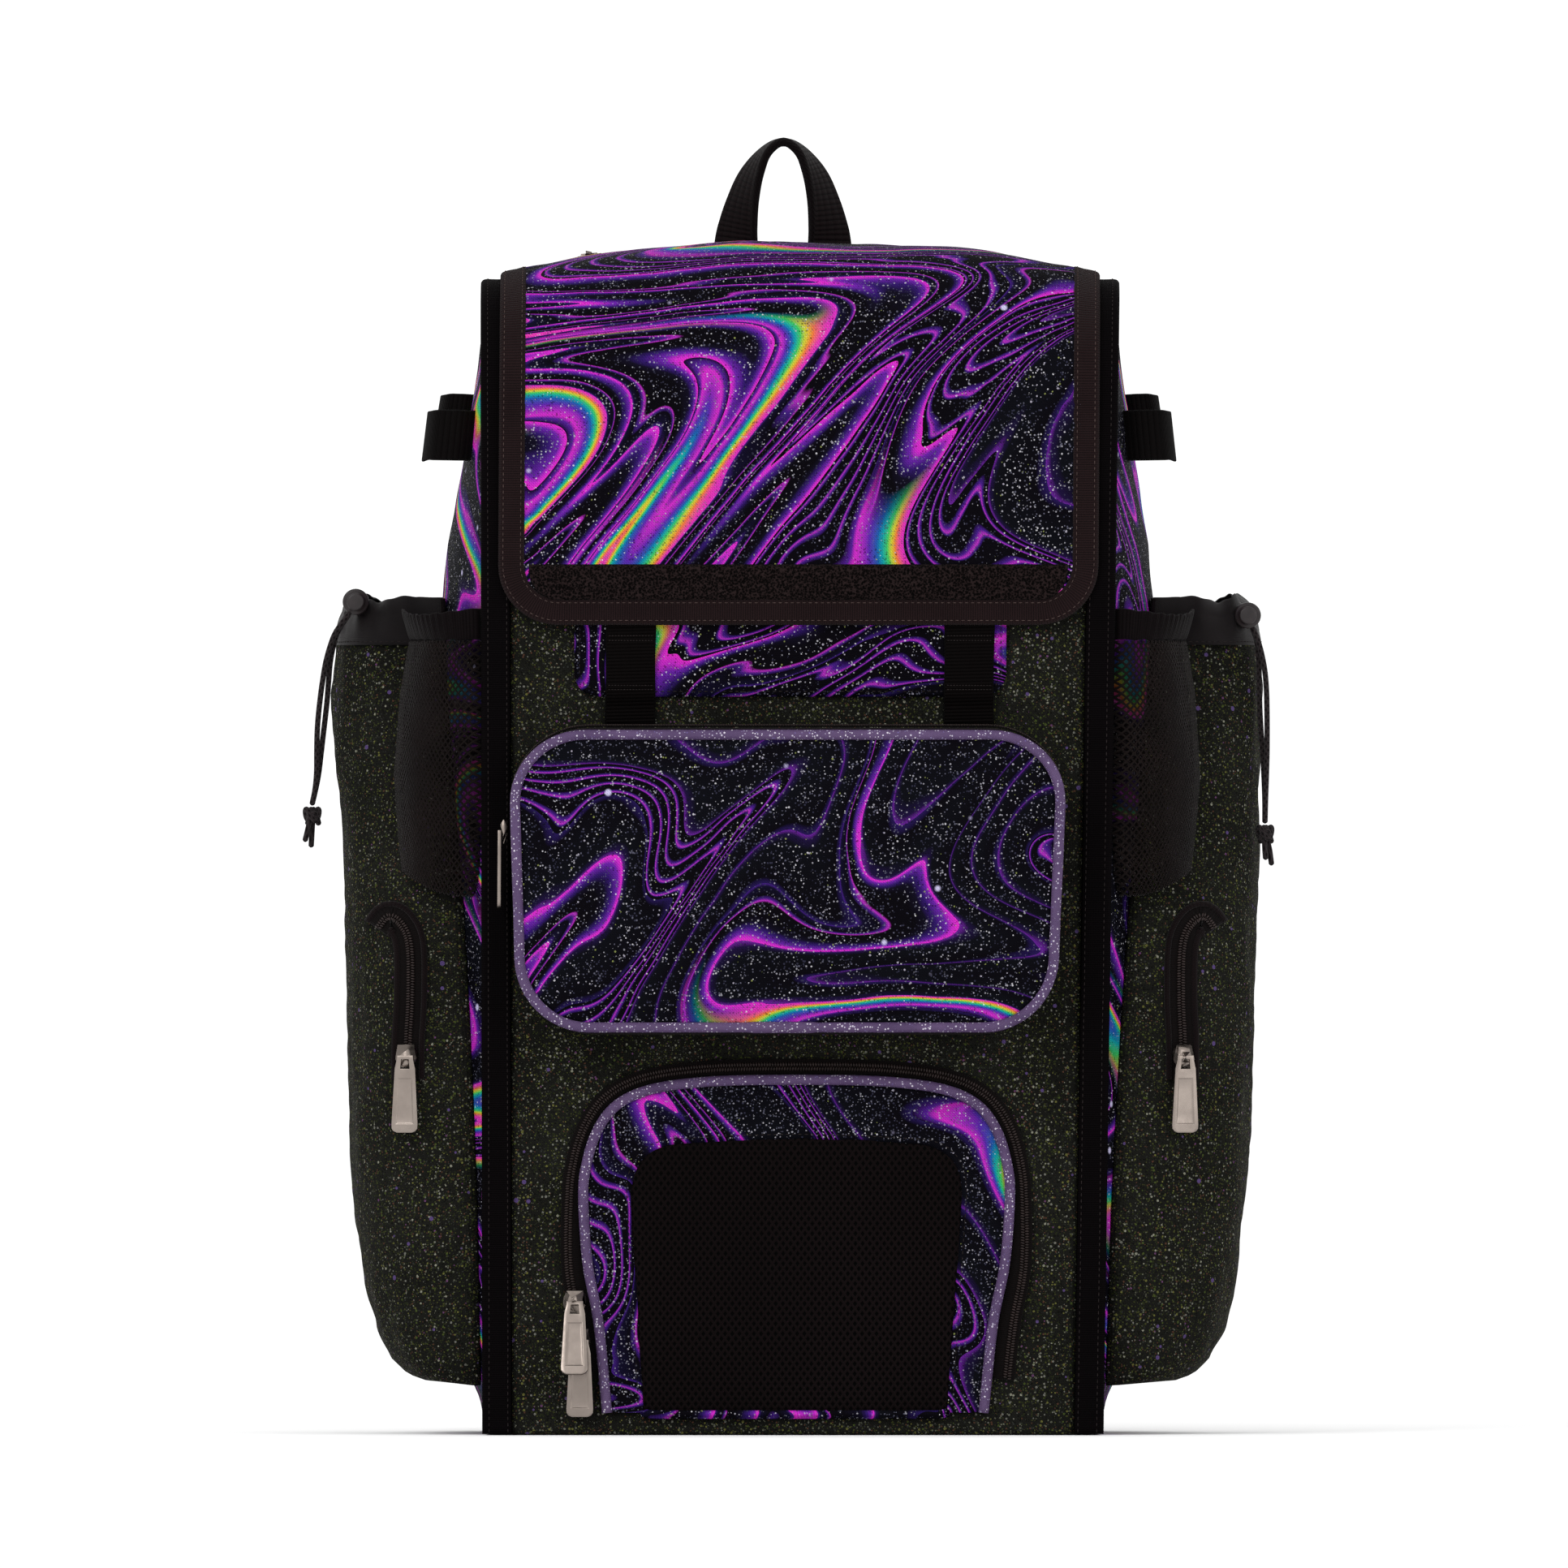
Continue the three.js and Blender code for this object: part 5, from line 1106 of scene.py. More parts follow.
def ring_place(near, far, lift):
    def place(u, v):
        k = round(u * around) % around
        length = mix(near[k], far[k], v)
        at = arch_heart + Vector((cos(2 * pi * k / around), sin(2 * pi * k / around))) * length
        return Vector((at.x, FRONT - lift(k, v, at), at.y))
    return place


def door_lift(k, v, at):
    turned = 0.7 * (1 - eased(v, 0, 0.12))
    return GAP + DOOR_WALL - 0.35 - turned + ruffle((at.x, 3, at.y), 24, 0.35) + 0.25 * sin(pi * v)


door_cloth = marbled_cloth("marbled_door", shift=(0.9, 0.7, 0.1), turn=(0, 0.5, 0), scale=(-1, 1, 1))
bm = lay(around, 12, ring_place(window_reach, door_reach, door_lift))
bmesh.ops.remove_doubles(bm, verts=bm.verts, dist=0.004)
flat_map(bm)
finished("arch_door", bm, door_cloth, "marbled_fabric", ["arch_door"], heart=(0, 0, 80), wall=2.0)

# Net: crossed threads that leave small diamond holes
net, given, out = new_group("net", [("Cell", "Float", 0.002), ("Open", "Float", 0.5)],
                            [("Thread", "Float"), ("Height", "Float")])
parts = map_parts(net)
per_cell = reckon(net, "DIVIDE", pi, given["Cell"])
up_share = reckon(net, "MULTIPLY", parts["Y"], 0.72)
rising, falling = [
    round_backs(net, reckon(net, "MULTIPLY", reckon(net, way, parts["X"], up_share), per_cell))
    for way in ("ADD", "SUBTRACT")
]
hole = reckon(net, "MINIMUM", rising, falling)
edge_low = reckon(net, "MULTIPLY", given["Open"], 0.75)
solid = add_node(net, "ShaderNodeMapRange", {"Value": hole, "From Min": edge_low, "From Max": given["Open"],
                                             "To Min": 1.0, "To Max": 0.0}, interpolation_type="SMOOTHSTEP")
net.links.new(solid.outputs[0], out["Thread"])
net.links.new(reckon(net, "SUBTRACT", 1.0, hole), out["Height"])

window_net, tree, surface = new_finish("window_net", 0.7)
cells = put_group(tree, net, Cell=0.0036, Open=0.72)
wash = object_noise(tree, 7.0, 2.0)
thread_colour = blended(tree, wash, dye(5, 3, 3), dye(19, 13, 14))
# painted shade: the holes between the threads are painted near black
paint(tree, surface, cells["Thread"], dye(1, 1, 1), thread_colour)
raise_bump(tree, surface, cells["Height"], 0.0004)


def window_lift(k, v, at):
    slack = ruffle((at.x, 1, at.y), 40, 0.5) * (1 - v)
    return GAP + (DOOR_WALL + MESH_WALL) / 2 - 0.4 - (1 - v * v) + slack


bm = lay(around, 26, ring_place([0.0] * around, [r + 1.2 for r in window_reach], window_lift))
bmesh.ops.remove_doubles(bm, verts=bm.verts, dist=0.004)
flat_map(bm)
finished("mesh_window", bm, window_net, "black_mesh", ["mesh_window"], heart=(0, 0, 80), wall=0.7)

bm = bmesh.new()
seam = window_outline(-2.4)
seam_line = [Vector((p.x, FRONT - GAP - DOOR_WALL + 0.25, p.y)) for p in seam if p.y > 14]
stitches(bm, seam_line, [Vector((0, -1, 0))] * len(seam_line))
sewn_rows("window_stitches", bm)

bm = drawn_along(round_bar(0, GAP + PIPING_RADIUS, PIPING_RADIUS), len(arch), arch_place, width=16,
                 length=460)
finished("arch_piping", bm, piping_finish, "purple_piping", ["arch_piping"])

ARCH_NEAR = PIPING_RADIUS + GAP


def arch_spread(z):
    return ARCH_ZIP_SPREAD * (1 - eased(z, 0.4 * ARCH_TOP, 0.75 * ARCH_TOP))


zip_stations = [k for k, p in enumerate(arch) if p.y >= ARCH_ZIP_FOOT]


def arch_zip_place(n, out, lift):
    k = zip_stations[n]
    wide = ARCH_ZIP_WIDTH + arch_spread(arch[k].y)
    return arch_place(k, ARCH_NEAR + out * wide, lift)


tape = [(x / 10, z) for x, z in rounded(0, 10, GAP, GAP + 0.6, 0.28, 2)]
bm = drawn_along(tape, len(zip_stations), arch_zip_place, width=20, length=430)
finished("arch_zip", bm, zip_tape, "black_zip", ["arch_zip"])
bm = bmesh.new()
points = [arch_place(k, ARCH_NEAR + ARCH_COIL + arch_spread(arch[k].y), GAP + 1.0) for k in zip_stations]
across = [Vector((arch_ways[k].x, 0, arch_ways[k].y)) for k in zip_stations]
teeth_along(bm, points, [Vector((0, -1, 0))] * len(points), across)
sewn_rows("arch_teeth", bm, zip_teeth, "black_zip")


# Bat sleeves

# A deep tube of the speckled cloth on each side, sewn to the side panel and
# open at the top. It fills out below, and its walls have the soft folds of an empty tube.

SLEEVE_LOW, SLEEVE_HIGH = 24, 396
SLEEVE_REACH = 74
SLEEVE_BACK = 84
SLEEVE_SQUARENESS = 3
SLEEVE_FOLD = 2
SLEEVE_WAVES = 1.9
ZIP_SEAT = 1

sleeve_rows = [
    (0, 0.12, 0.86), (0.004, 0.46, 0.88), (0.014, 0.6, 0.9), (0.035, 0.71, 0.925), (0.075, 0.81, 0.94),
    (0.137, 0.88, 0.945), (0.23, 0.92, 0.935), (0.34, 0.955, 0.905), (0.5, 0.965, 0.85), (0.66, 0.98, 0.77),
    (0.74, 0.99, 0.7), (0.82, 1, 0.63), (0.93, 1, 0.52), (1, 0.965, 0.46),
]
MOUTH_FRONT = INSIDE_FRONT * 0.46
# the fullness under the mouth, and how much the filled foot stands out or in, low and high
MOUTH_FULLNESS = 3.5
FOOT_FILL = {-1: (-5.2, -2.4), 1: (2.2, 2.8)}


def sleeve_plan(z):
    share = held((z - SLEEVE_LOW) / (SLEEVE_HIGH - SLEEVE_LOW))
    turn = share * SLEEVE_WAVES * 2 * pi
    reach = body_half(z) + SLEEVE_REACH * read_rows(sleeve_rows, share, 1)
    reach += MOUTH_FULLNESS * eased(z, 300, 385)
    return reach, INSIDE_FRONT * read_rows(sleeve_rows, share, 2), sin(turn), cos(turn)


def sleeve_fold(across, swell, sway):
    return SLEEVE_FOLD * 4 * across * (1 - across) * (swell * cos(3 * across) + sway * sin(3 * across))


def clear_of_side(p):
    return Vector((max(p.x, side_face(p.y, p.z) + SEAM), p.y, p.z))


def sleeve_point(turn, z):
    reach, front, swell, sway = sleeve_plan(z)
    centre, half = (front + SLEEVE_BACK) / 2, (SLEEVE_BACK - front) / 2
    start = side_face(front if turn <= pi / 2 else SLEEVE_BACK, z) + SEAM
    across = max(0, sin(turn)) ** (2 / SLEEVE_SQUARENESS)
    along = abs(cos(turn)) ** (2 / SLEEVE_SQUARENESS) * (1 if cos(turn) > 0 else -1)
    fold = sleeve_fold(across, swell, sway) * (1 if turn <= pi / 2 else -1)
    return clear_of_side(Vector((start + (reach - start) * across, centre - half * along - fold, z)))


def sleeve_front_at(x, z):
    reach, front, swell, sway = sleeve_plan(z)
    start = side_face(front, z) + SEAM
    across = held((x - start) / (reach - start), 0, 0.98)
    centre, half = (front + SLEEVE_BACK) / 2, (SLEEVE_BACK - front) / 2
    rounding = (1 - across ** SLEEVE_SQUARENESS) ** (1 / SLEEVE_SQUARENESS)
    return centre - half * rounding - sleeve_fold(across, swell, sway)


def front_wall_normal(x, z):
    slope = (sleeve_front_at(x + 1, z) - sleeve_front_at(x - 1, z)) / 2
    return Vector((slope, -1, 0)).normalized()


def off_sleeve(x, z, lift):
    return Vector((x, sleeve_front_at(x, z), z)) + front_wall_normal(x, z) * (lift + ZIP_SEAT)


SIDE_PULL_HEIGHT = 188
SIDE_PULL_OFFSET = 193
hook = [(-15, 64), (-10, 70), (-4, 67), (0.5, 56), (1, 30), (0, 8), (0, -11)]


def sleeve_surface(hand):
    def place(u, v):
        turn, z = pi * u, mix(SLEEVE_LOW, SLEEVE_HIGH, v)
        p = sleeve_point(turn, z)
        inside = Vector((body_half(z) + 30, 15, z)) - p
        inside.z = 0
        inside.normalize()
        outer = eased(sin(turn), 0.5, 0.95)
        beside = hypot(p.x - SIDE_PULL_OFFSET, max(0, abs(z - 215) - 45) * 0.6)
        near_zip = 1 - eased(beside, 9, 20) if p.y < 0 else 0
        free = (1 - near_zip) * min(1, sin(turn) * 3) * eased(v, 0.01, 0.06)
        folds = ruffle((hand * p.x, p.y, z * 0.42), 19, 2.3) + ruffle((hand * p.x, p.y, z), 9, 0.6)
        creases = 1.7 * max(0, sin((z + 0.55 * p.x + hand * 11) / 11.5)) ** 3 * (1 - eased(v, 0.1, 0.3))
        creases += 1.5 * max(0, sin((z - 0.7 * p.y) / 13.0)) ** 4 * eased(v, 0.82, 0.98)
        p += inside * held((mix(1.5, 0.3, outer) + folds + creases) * free, -1.2 * outer, 4.2)
        p.x += outer * mix(*FOOT_FILL[hand], eased(z, 20, 150)) * (1 - eased(v, 0.7, 0.86))
        p = clear_of_side(p)
        return Vector((hand * p.x, p.y, p.z))
    return place


for side, hand in SIDES:
    bm = lay(120, 170, sleeve_surface(hand), (250, SLEEVE_HIGH - SLEEVE_LOW))
    finished(f"bat_sleeve_{side}", bm, speckled_cloth, "speckled_fabric", [f"bat_sleeve_{side}"],
             heart=(hand * 185, 10, 200), wall=1.5)


# Sleeve collars

# A channel of thin black nylon on each sleeve's mouth, gathered by the
# drawcord that runs in it, so it stands in small folds and leans in.

COLLAR_LOW = SLEEVE_HIGH + GAP
COLLAR_HEIGHT = 21
COLLAR_LEAN = 13
COLLAR_GATHER = 2.6
COLLAR_OUTSIDE = 0.84
mouth_reach = side_face(0, SLEEVE_HIGH) + body_half(SLEEVE_HIGH) + SLEEVE_REACH
mouth = Vector((mouth_reach / 2, (MOUTH_FRONT + SLEEVE_BACK) / 2, SLEEVE_HIGH))

thin_nylon, tree, surface = new_finish("thin_nylon", 0.5, Sheen_Weight=0.02, Specular_IOR_Level=0.08)
threads = put_group(tree, weave, Thread=0.0005)
wash = object_noise(tree, 55.0, 4.0)
paint(tree, surface, wash, dye(4, 2, 3), dye(19, 14, 15))
raise_bump(tree, surface, threads["Height"], 0.00008)


def collar_point(share, rise, hand):
    free = share <= COLLAR_OUTSIDE
    turn = pi * share / COLLAR_OUTSIDE
    z = COLLAR_LOW + COLLAR_HEIGHT * rise - 2.4 * (1 - eased(rise, 0, 0.15))
    base = sleeve_point(min(turn, pi), SLEEVE_HIGH)
    if not free:
        y = mix(SLEEVE_BACK, MOUTH_FRONT, (share - COLLAR_OUTSIDE) / (1 - COLLAR_OUTSIDE))
        base = Vector((side_face(y, z) + SEAM, y, z))
    inwards = Vector((mouth.x - base.x, mouth.y - base.y, 0)).normalized()
    hold = sqrt(max(0, sin(turn))) if free else 0
    narrow = 1.15 * sin(31 * turn + hand) * (0.6 + 0.8 * abs(noise.noise(Vector((turn * 2, hand, 0)))))
    gather = (COLLAR_GATHER * sin(14 * turn) + narrow * (0.5 + 0.5 * rise)) * rise * hold
    channel = -1.3 * sin(pi * held((rise - 0.62) / 0.38)) * hold
    lean = COLLAR_LEAN * rise ** 2.2 * max(hold, 0.15) + gather + channel
    p = base + inwards * (lean - 0.8 * (1 - eased(rise, 0, 0.2)) * hold)
    p.z = z + (COLLAR_GATHER * rise * sin(9 * turn) + 0.5 * rise * sin(31 * turn + 1)) * hold
    p = clear_of_side(p)
    return Vector((hand * p.x, p.y, p.z))


for side, hand in SIDES:
    bm = lay(320, 26, lambda u, v: collar_point(u % 1.0, v, hand), (330, COLLAR_HEIGHT))
    finished(f"sleeve_collar_{side}", bm, thin_nylon, "black_fabric", [f"sleeve_collar_{side}"],
             heart=(hand * 190, 19, 405), wall=0.9)
    bm = bmesh.new()
    row = [collar_point(k / 200 * COLLAR_OUTSIDE, 0.05, hand) for k in range(201)]
    stitches(bm, row, [Vector((p.x - hand * 190, p.y - 19, 0)) for p in row])
    sewn_rows(f"collar_stitches_{side}", bm)


# Bottle pockets

# Black stretch net between each front seam and the sleeve, pulled in at
# its mouth by a flared elastic hem.

BOTTLE_LOW = 262
BOTTLE_REACH = 45.5
HEM_HEIGHT = 15.7
HEM_FLARE = 4
bottle_rows = [
    (0, 0.72, 0.8), (0.056, 0.84, 0.915), (0.13, 0.91, 0.96), (0.278, 0.957, 0.98), (0.5, 1, 0.985),
    (0.806, 0.93, 0.985), (1, 0.83, 0.98),
]


def bottle_point(share, z, flare=0):
    height = (z - BOTTLE_LOW) / (SLEEVE_HIGH - BOTTLE_LOW)
    reach = body_half(z) + BOTTLE_REACH * read_rows(bottle_rows, height, 1) + flare
    front = INSIDE_FRONT * read_rows(bottle_rows, height, 2)
    start = side_face(front, z) + SEAM
    back = sleeve_front_at(reach, min(z, SLEEVE_HIGH)) - SEAM
    turn = share * pi / 2
    x = start + (reach - start) * sin(turn) ** (2 / SLEEVE_SQUARENESS)
    y = back + (front - back) * max(0, cos(turn)) ** (2 / SLEEVE_SQUARENESS)
    return clear_of_side(Vector((x, y, z)))


stretch_net, tree, surface = new_finish("stretch_net", 0.75, Sheen_Weight=0.04)
cells = put_group(tree, net, Cell=0.003, Open=0.6)
wash = object_noise(tree, 40.0, 3.0)
paint(tree, surface, wash, dye(4, 3, 3), dye(26, 20, 19))
tree.links.new(reckon(tree, "MULTIPLY_ADD", cells["Thread"], 0.72, 0.28), surface.inputs["Alpha"])
raise_bump(tree, surface, cells["Height"], 0.0004)
hem_band = band_finish("hem_band", dye(12, 8, 9), 0.0013, rough=0.6, depth=0.0003)


def bottle_surface(hand):
    def place(u, v):
        z = mix(BOTTLE_LOW + 6 + 13 * sin(u * pi / 2) ** 2, SLEEVE_HIGH, v)
        p = bottle_point(u, z)
        slack = (0.8 + ruffle((hand * p.x, p.y, z * 0.6), 16, 1.2)) * sin(pi * u) * sin(pi * v) ** 0.5
        p = p + Vector((-0.5, 0.8, 0)) * held(slack, 0, 2.4)
        return Vector((hand * p.x, p.y, p.z))
    return place


for side, hand in SIDES:
    bm = lay(50, 100, bottle_surface(hand), (75, SLEEVE_HIGH - BOTTLE_LOW))
    finished(f"bottle_pocket_{side}", bm, stretch_net, "black_mesh", [f"bottle_pocket_{side}"],
             heart=(hand * 165, -60, 330), wall=0.8)

    def hem_place(k, out, lift):
        share = k / 60
        z = SLEEVE_HIGH + GAP + HEM_HEIGHT * out
        p = bottle_point(share, z, HEM_FLARE * out)
        q = bottle_point(min(1, share + 0.02), z, HEM_FLARE * out)
        o = bottle_point(max(0, share - 0.02), z, HEM_FLARE * out)
        way = (q - o).cross(Vector((0, 0, 1))).normalized()
        gather = 0.35 * sin(k * 1.7 + hand) * out
        p = p - way * (2.2 * (1 - lift) - gather) if way.y < 0 else p + way * (2.2 * (1 - lift) - gather)
        y = min(p.y, sleeve_front_at(p.x, SLEEVE_HIGH) - 0.2)
        return Vector((hand * p.x, y, p.z + 0.3 * sin(k * 0.8) - 3 * sin(pi * share) * out))

    section = [(x, z) for x, z in rounded(0, 1, 0, 1, 0.3)]
    bm = drawn_along(section, 61, hem_place, width=36, length=75)
    finished(f"bottle_hem_{side}", bm, hem_band, "black_fabric", [f"bottle_hem_{side}"])


# Side pocket zips

# A short zip on the front wall of each sleeve. At its top the tape hooks
# outwards, and a turned edge of cloth follows it.

side_hood = plain_cloth("side_hood", dye(18, 12, 13), 0.0008)
hook_corners = [Vector((SIDE_PULL_OFFSET - across, SIDE_PULL_HEIGHT + up)) for across, up in hook]
hook_path = smooth_path(hook_corners, 1.6)
hook_ways = outward(hook_path)
for side, hand in SIDES:
    def side_zip_place(k, out, lift):
        at = hook_path[k] + hook_ways[k] * out
        p = off_sleeve(at.x, at.y, lift)
        return Vector((hand * p.x, p.y, p.z))

    bm = drawn_along(tape_section, len(hook_path), side_zip_place, width=25, length=96)
    finished(f"side_zip_{side}", bm, zip_tape, "black_zip", [f"side_zip_{side}"])
    bm = bmesh.new()
    points = [side_zip_place(k, 0, 0.95) for k in range(len(hook_path))]
    tops = [side_zip_place(k, 0, 2) - side_zip_place(k, 0, 0) for k in range(len(hook_path))]
    across = [side_zip_place(k, 1, 0) - side_zip_place(k, -1, 0) for k in range(len(hook_path))]
    teeth_along(bm, points, tops, across)
    sewn_rows(f"side_teeth_{side}", bm, zip_teeth, "black_zip")
    bm = bmesh.new()
    for out in (-6.6, 6.6):
        lip = [(out + 1.5 * cos(2 * pi * k / 10), 0.4 + 1.15 * sin(2 * pi * k / 10)) for k in range(10)]
        drawn_along(lip, len(hook_path), side_zip_place, width=8, length=96, bm=bm)
    finished(f"side_lips_{side}", bm, side_hood, "black_fabric")


# Bat loops

# On each side panel two bands of webbing, each folded back on itself, whose ends
# are sewn into the panel. A bat's handle is strapped in them.

LOOP_OPENING = 9
bat_loops = [("front", -60, 498.5, 23), ("rear", 6, 507, 23 * 0.7)]
loop_band = band_finish("loop_band", dye(10, 8, 8), 0.0012, rough=0.7)
for side, hand in SIDES:
    for where, y, z, reach in bat_loops:
        half = (LOOP_OPENING + WEBBING_THICKNESS) / 2
        track = [Vector((GAP, y - half)), Vector(((reach - half) * 0.5, y - half * 1.04)),
                 Vector((reach - half, y - half))]
        track += [Vector((reach - half + half * sin(radians(a)), y - half * cos(radians(a))))
                  for a in range(15, 181, 15)]
        track += [Vector(((reach - half) * 0.5, y + half * 1.04)), Vector((GAP, y + half))]
        track_ways = outward(track)

        def loop_place(k, out, lift):
            at = track[k] + track_ways[k] * lift
            up = out * (1 + 0.01 * sin(k))
            x = side_face(at.y, z + up) + at.x
            return Vector((hand * x, at.y, z + up + 0.4 * sin(k * 0.6)))

        bm = drawn_along(webbing_section, len(track), loop_place, width=54, length=2 * reach + 10)
        finished(f"bat_loop_{where}_{side}", bm, loop_band, "black_webbing", [f"bat_loop_{where}_{side}"])


# Drawcords

# A soft braided cord, 2.8 mm thick, comes out of each collar through a barrel
# lock in two strands, hangs down beside the sleeve and ends in one overhand knot.

CORD_DIAMETER = 2.8
lock_places = {"left": (-221.3, 11.4, 415.5), "right": (225, 13.3, 408.7)}
cord_routes = {
    "left": [
        (-224.6, 9.9, 409.5), (-227.8, 9.7, 405), (-231.4, 9.5, 398.4), (-234.3, 9.4, 387),
        (-235.6, 9.3, 376),
        (-236.4, 9.3, 367), (-237.4, 9.3, 357), (-238.2, 9.1, 348.3), (-238.9, 9.5, 339), (-239.6, 9.9, 330),
        (-240.8, 10.1, 322), (-242.4, 10.3, 314.6)],
    "right": [
        (227.4, 14.9, 402.3), (229.1, 14.5, 398.3), (230.3, 13.9, 393.4), (231.2, 13.1, 387),
        (231.8, 12.3, 380),
        (232.2, 11.5, 371), (232.5, 10.9, 361), (233, 10.9, 350), (233.6, 10.9, 339), (234, 10.9, 327),
        (234.2, 10.9, 316), (234.2, 10.9, 305.6)],
}
strand_shift = (("outer", -1.7, -2.4), ("inner", 1.7, 1.2))

braid, tree, surface = new_finish("braided_cord", 0.6, Sheen_Weight=0.05)
parts = map_parts(tree)
round_turn = reckon(tree, "MULTIPLY", parts["X"], 2 * pi * 4 / (pi * CORD_DIAMETER / 1000))
long_turn = reckon(tree, "MULTIPLY", parts["Y"], 2 * pi / 0.0034)
one = reckon(tree, "SINE", reckon(tree, "ADD", round_turn, long_turn))
two = reckon(tree, "SINE", reckon(tree, "SUBTRACT", round_turn, long_turn))
plait_and_groove_shade = reckon(tree, "MAXIMUM", one, two)
# painted shade: the grooves between the plaited strands are painted darker
paint(tree, surface, reckon(tree, "MULTIPLY_ADD", plait_and_groove_shade, 0.5, 0.5), dye(4, 3, 4), dye(38, 33, 34))
raise_bump(tree, surface, plait_and_groove_shade, 0.0003)
lock_plastic, tree, surface = new_finish("lock_plastic", 0.4, Specular_IOR_Level=0.3)
gloss = object_noise(tree, 300.0, 3.0)
paint(tree, surface, gloss, dye(16, 12, 13), dye(40, 33, 34))
raise_bump(tree, surface, gloss, 0.00006)


def tube(points, radius, sides=12, bm=None, ends=True):
    """A round tube along points in space, with rounded ends."""
    frames, up = [], Vector((0, 1, 0))
    for k, p in enumerate(points):
        along = (points[min(k + 1, len(points) - 1)] - points[max(k - 1, 0)]).normalized()
        up = (up - along * up.dot(along)).normalized()
        frames.append((p, up.copy(), along.cross(up), along))
    stations = [(0, 0.3, -0.72), (0, 0.8, -0.35)] if ends else []
    stations += [(k, 1, 0) for k in range(len(points))]
    stations += [(len(points) - 1, 0.8, 0.35), (len(points) - 1, 0.3, 0.72)] if ends else []

    def at(k, out, lift):
        n, width, beyond = stations[k]
        p, a, b, along = frames[n]
        return p + (a * out + b * lift) * radius * width + along * beyond * radius

    length = sum((b - a).length for a, b in zip(points, points[1:]))
    ring = [(cos(2 * pi * k / sides), sin(2 * pi * k / sides)) for k in range(sides)]
    return drawn_along(ring, len(stations), at, width=2 * pi * radius, length=length, bm=bm)


def from_mouth(x, y, z):
    return Vector((x, MOUTH_FRONT + y, z))


for side, hand in SIDES:
    route = [from_mouth(*p) for p in cord_routes[side]]
    end = route[-1]
    # the knot: one loop round both strands, and two short tails below it
    heart = end - Vector((0, 0, GAP + 1.15 * 4.6))
    bm = bmesh.new()
    angles = [2 * pi * k / 40 for k in range(40)]
    for turns in (
        [heart + Vector((3.3 * cos(t), 3.3 * sin(t), 2.7 * sin(2.0 * t + 0.6))) for t in angles],
        [heart + Vector((2.6 * sin(t) + 0.5, 2.9 * cos(t), -1.6 + 2.4 * cos(2.0 * t))) for t in angles],
    ):
        tube(turns + turns[:2], 1.5, bm=bm, ends=False)
    bmesh.ops.create_uvsphere(bm, u_segments=16, v_segments=10, radius=3.4, matrix=Matrix.Translation(heart))
    for way in (-1, 1):
        tail = [
            (way * 0.6, way * 1.2, 3), (hand * 0.5 + way * 0.7, way * 1.6, -3),
            (hand * 1.3 + way * 1.2, way * 1.7, -9), (hand * 1.9 + way * 1.5, way * 1.9, -14 - way * 1.4),
        ]
        tube([heart + Vector(p) for p in tail], CORD_DIAMETER / 2, bm=bm)
    knot = finished(f"cord_knot_{side}", bm, braid, "black_cord", [f"cord_knot_{side}"])
    for strand, shift_y, bow in strand_shift:
        corners = []
        for k, p in enumerate(route):
            swing = bow * sin(pi * k / (len(route) - 1)) ** 2
            corners.append(p + Vector((-hand * swing, shift_y, 0)))
        fine = smooth_path(corners, 2.2)
        path = [STAND @ p for p in fine]
        length = sum((b - a).length for a, b in zip(path, path[1:]))
        cord = finished(f"drawcord_{side}_{strand}", tube(fine, CORD_DIAMETER / 2), braid, "black_cord",
                        [f"drawcord_{side}_{strand}"])
        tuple(path[0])

    # the barrel lock: its round body lies level, with a ribbed button at its front end
    seat = from_mouth(*lock_places[side])
    bm = bmesh.new()
    bm.loops.layers.uv.new("cloth")
    profile = [
        (0, -6.5), (3.4, -6.5), (4.2, -6.3), (4.5, -5.6), (4.5, -4.4), (4.1, -4.2), (4.1, -3.9), (6.0, -3.8),
        (6.5, -3.2), (6.6, -1), (6.6, -0.6), (6.2, -0.3), (6.2, 0.3), (6.6, 0.6), (6.6, 4.2), (6.2, 5.4),
        (5.0, 6.2), (3.2, 6.5), (0, 6.5),
    ]
    spun = [bm.verts.new((0, t, r)) for r, t in profile]
    edges = [bm.edges.new(pair) for pair in zip(spun, spun[1:])]
    bmesh.ops.spin(bm, geom=spun + edges, cent=(0, 0, 0), axis=(0, 1, 0), angle=2 * pi, steps=32,
                   use_merge=True)
    bmesh.ops.transform(bm, matrix=Matrix.Translation(seat), verts=bm.verts)
    finished(f"cord_lock_{side}", bm, lock_plastic, "black_plastic", [f"cord_lock_{side}"])


# Flap

# The printed cover, cut in one piece from its front edge over the top to the back
# seam. A ribbed brown-black band binds its edge, and a strip of fuzzy loop tape is sewn
# along its front edge inside the band.

FLAP_HALF = 138.5
FLAP_DROP = 157
FLAP_CORNER = 18.7
FLAP_CROWN = 15.5
FLAP_TAIL = 15
FLAP_BINDING_WIDTH = 11
FLAP_LIFT = max(BINDING_PROUD, 2 * GAP + FLAP_WALL + WEBBING_THICKNESS) + GAP
FLAP_LOW = BODY_HEIGHT - FLAP_DROP
FLAP_END = TAIL_START + FLAP_TAIL
CREST = TOP_START + TOP_RUN * 0.2


def flap_point(x, run, lift):
    across = held(abs(x) / (FLAP_HALF + FLAP_BINDING_WIDTH))
    rise = eased(run, FRONT_RISE * 0.9, CREST) * (1 - eased(run, CREST + TOP_RUN * 0.55, TAIL_START))
    crown = FLAP_CROWN * (1 - across ** 2.4) * rise
    settle = eased(run, TOP_START + TOP_RUN * 0.88, REAR_START + REAR_ARC * 0.5)
    y, z = body_outline(run, mix(FLAP_LIFT, GAP, settle) + crown + lift)
    return Vector((x, y, z))


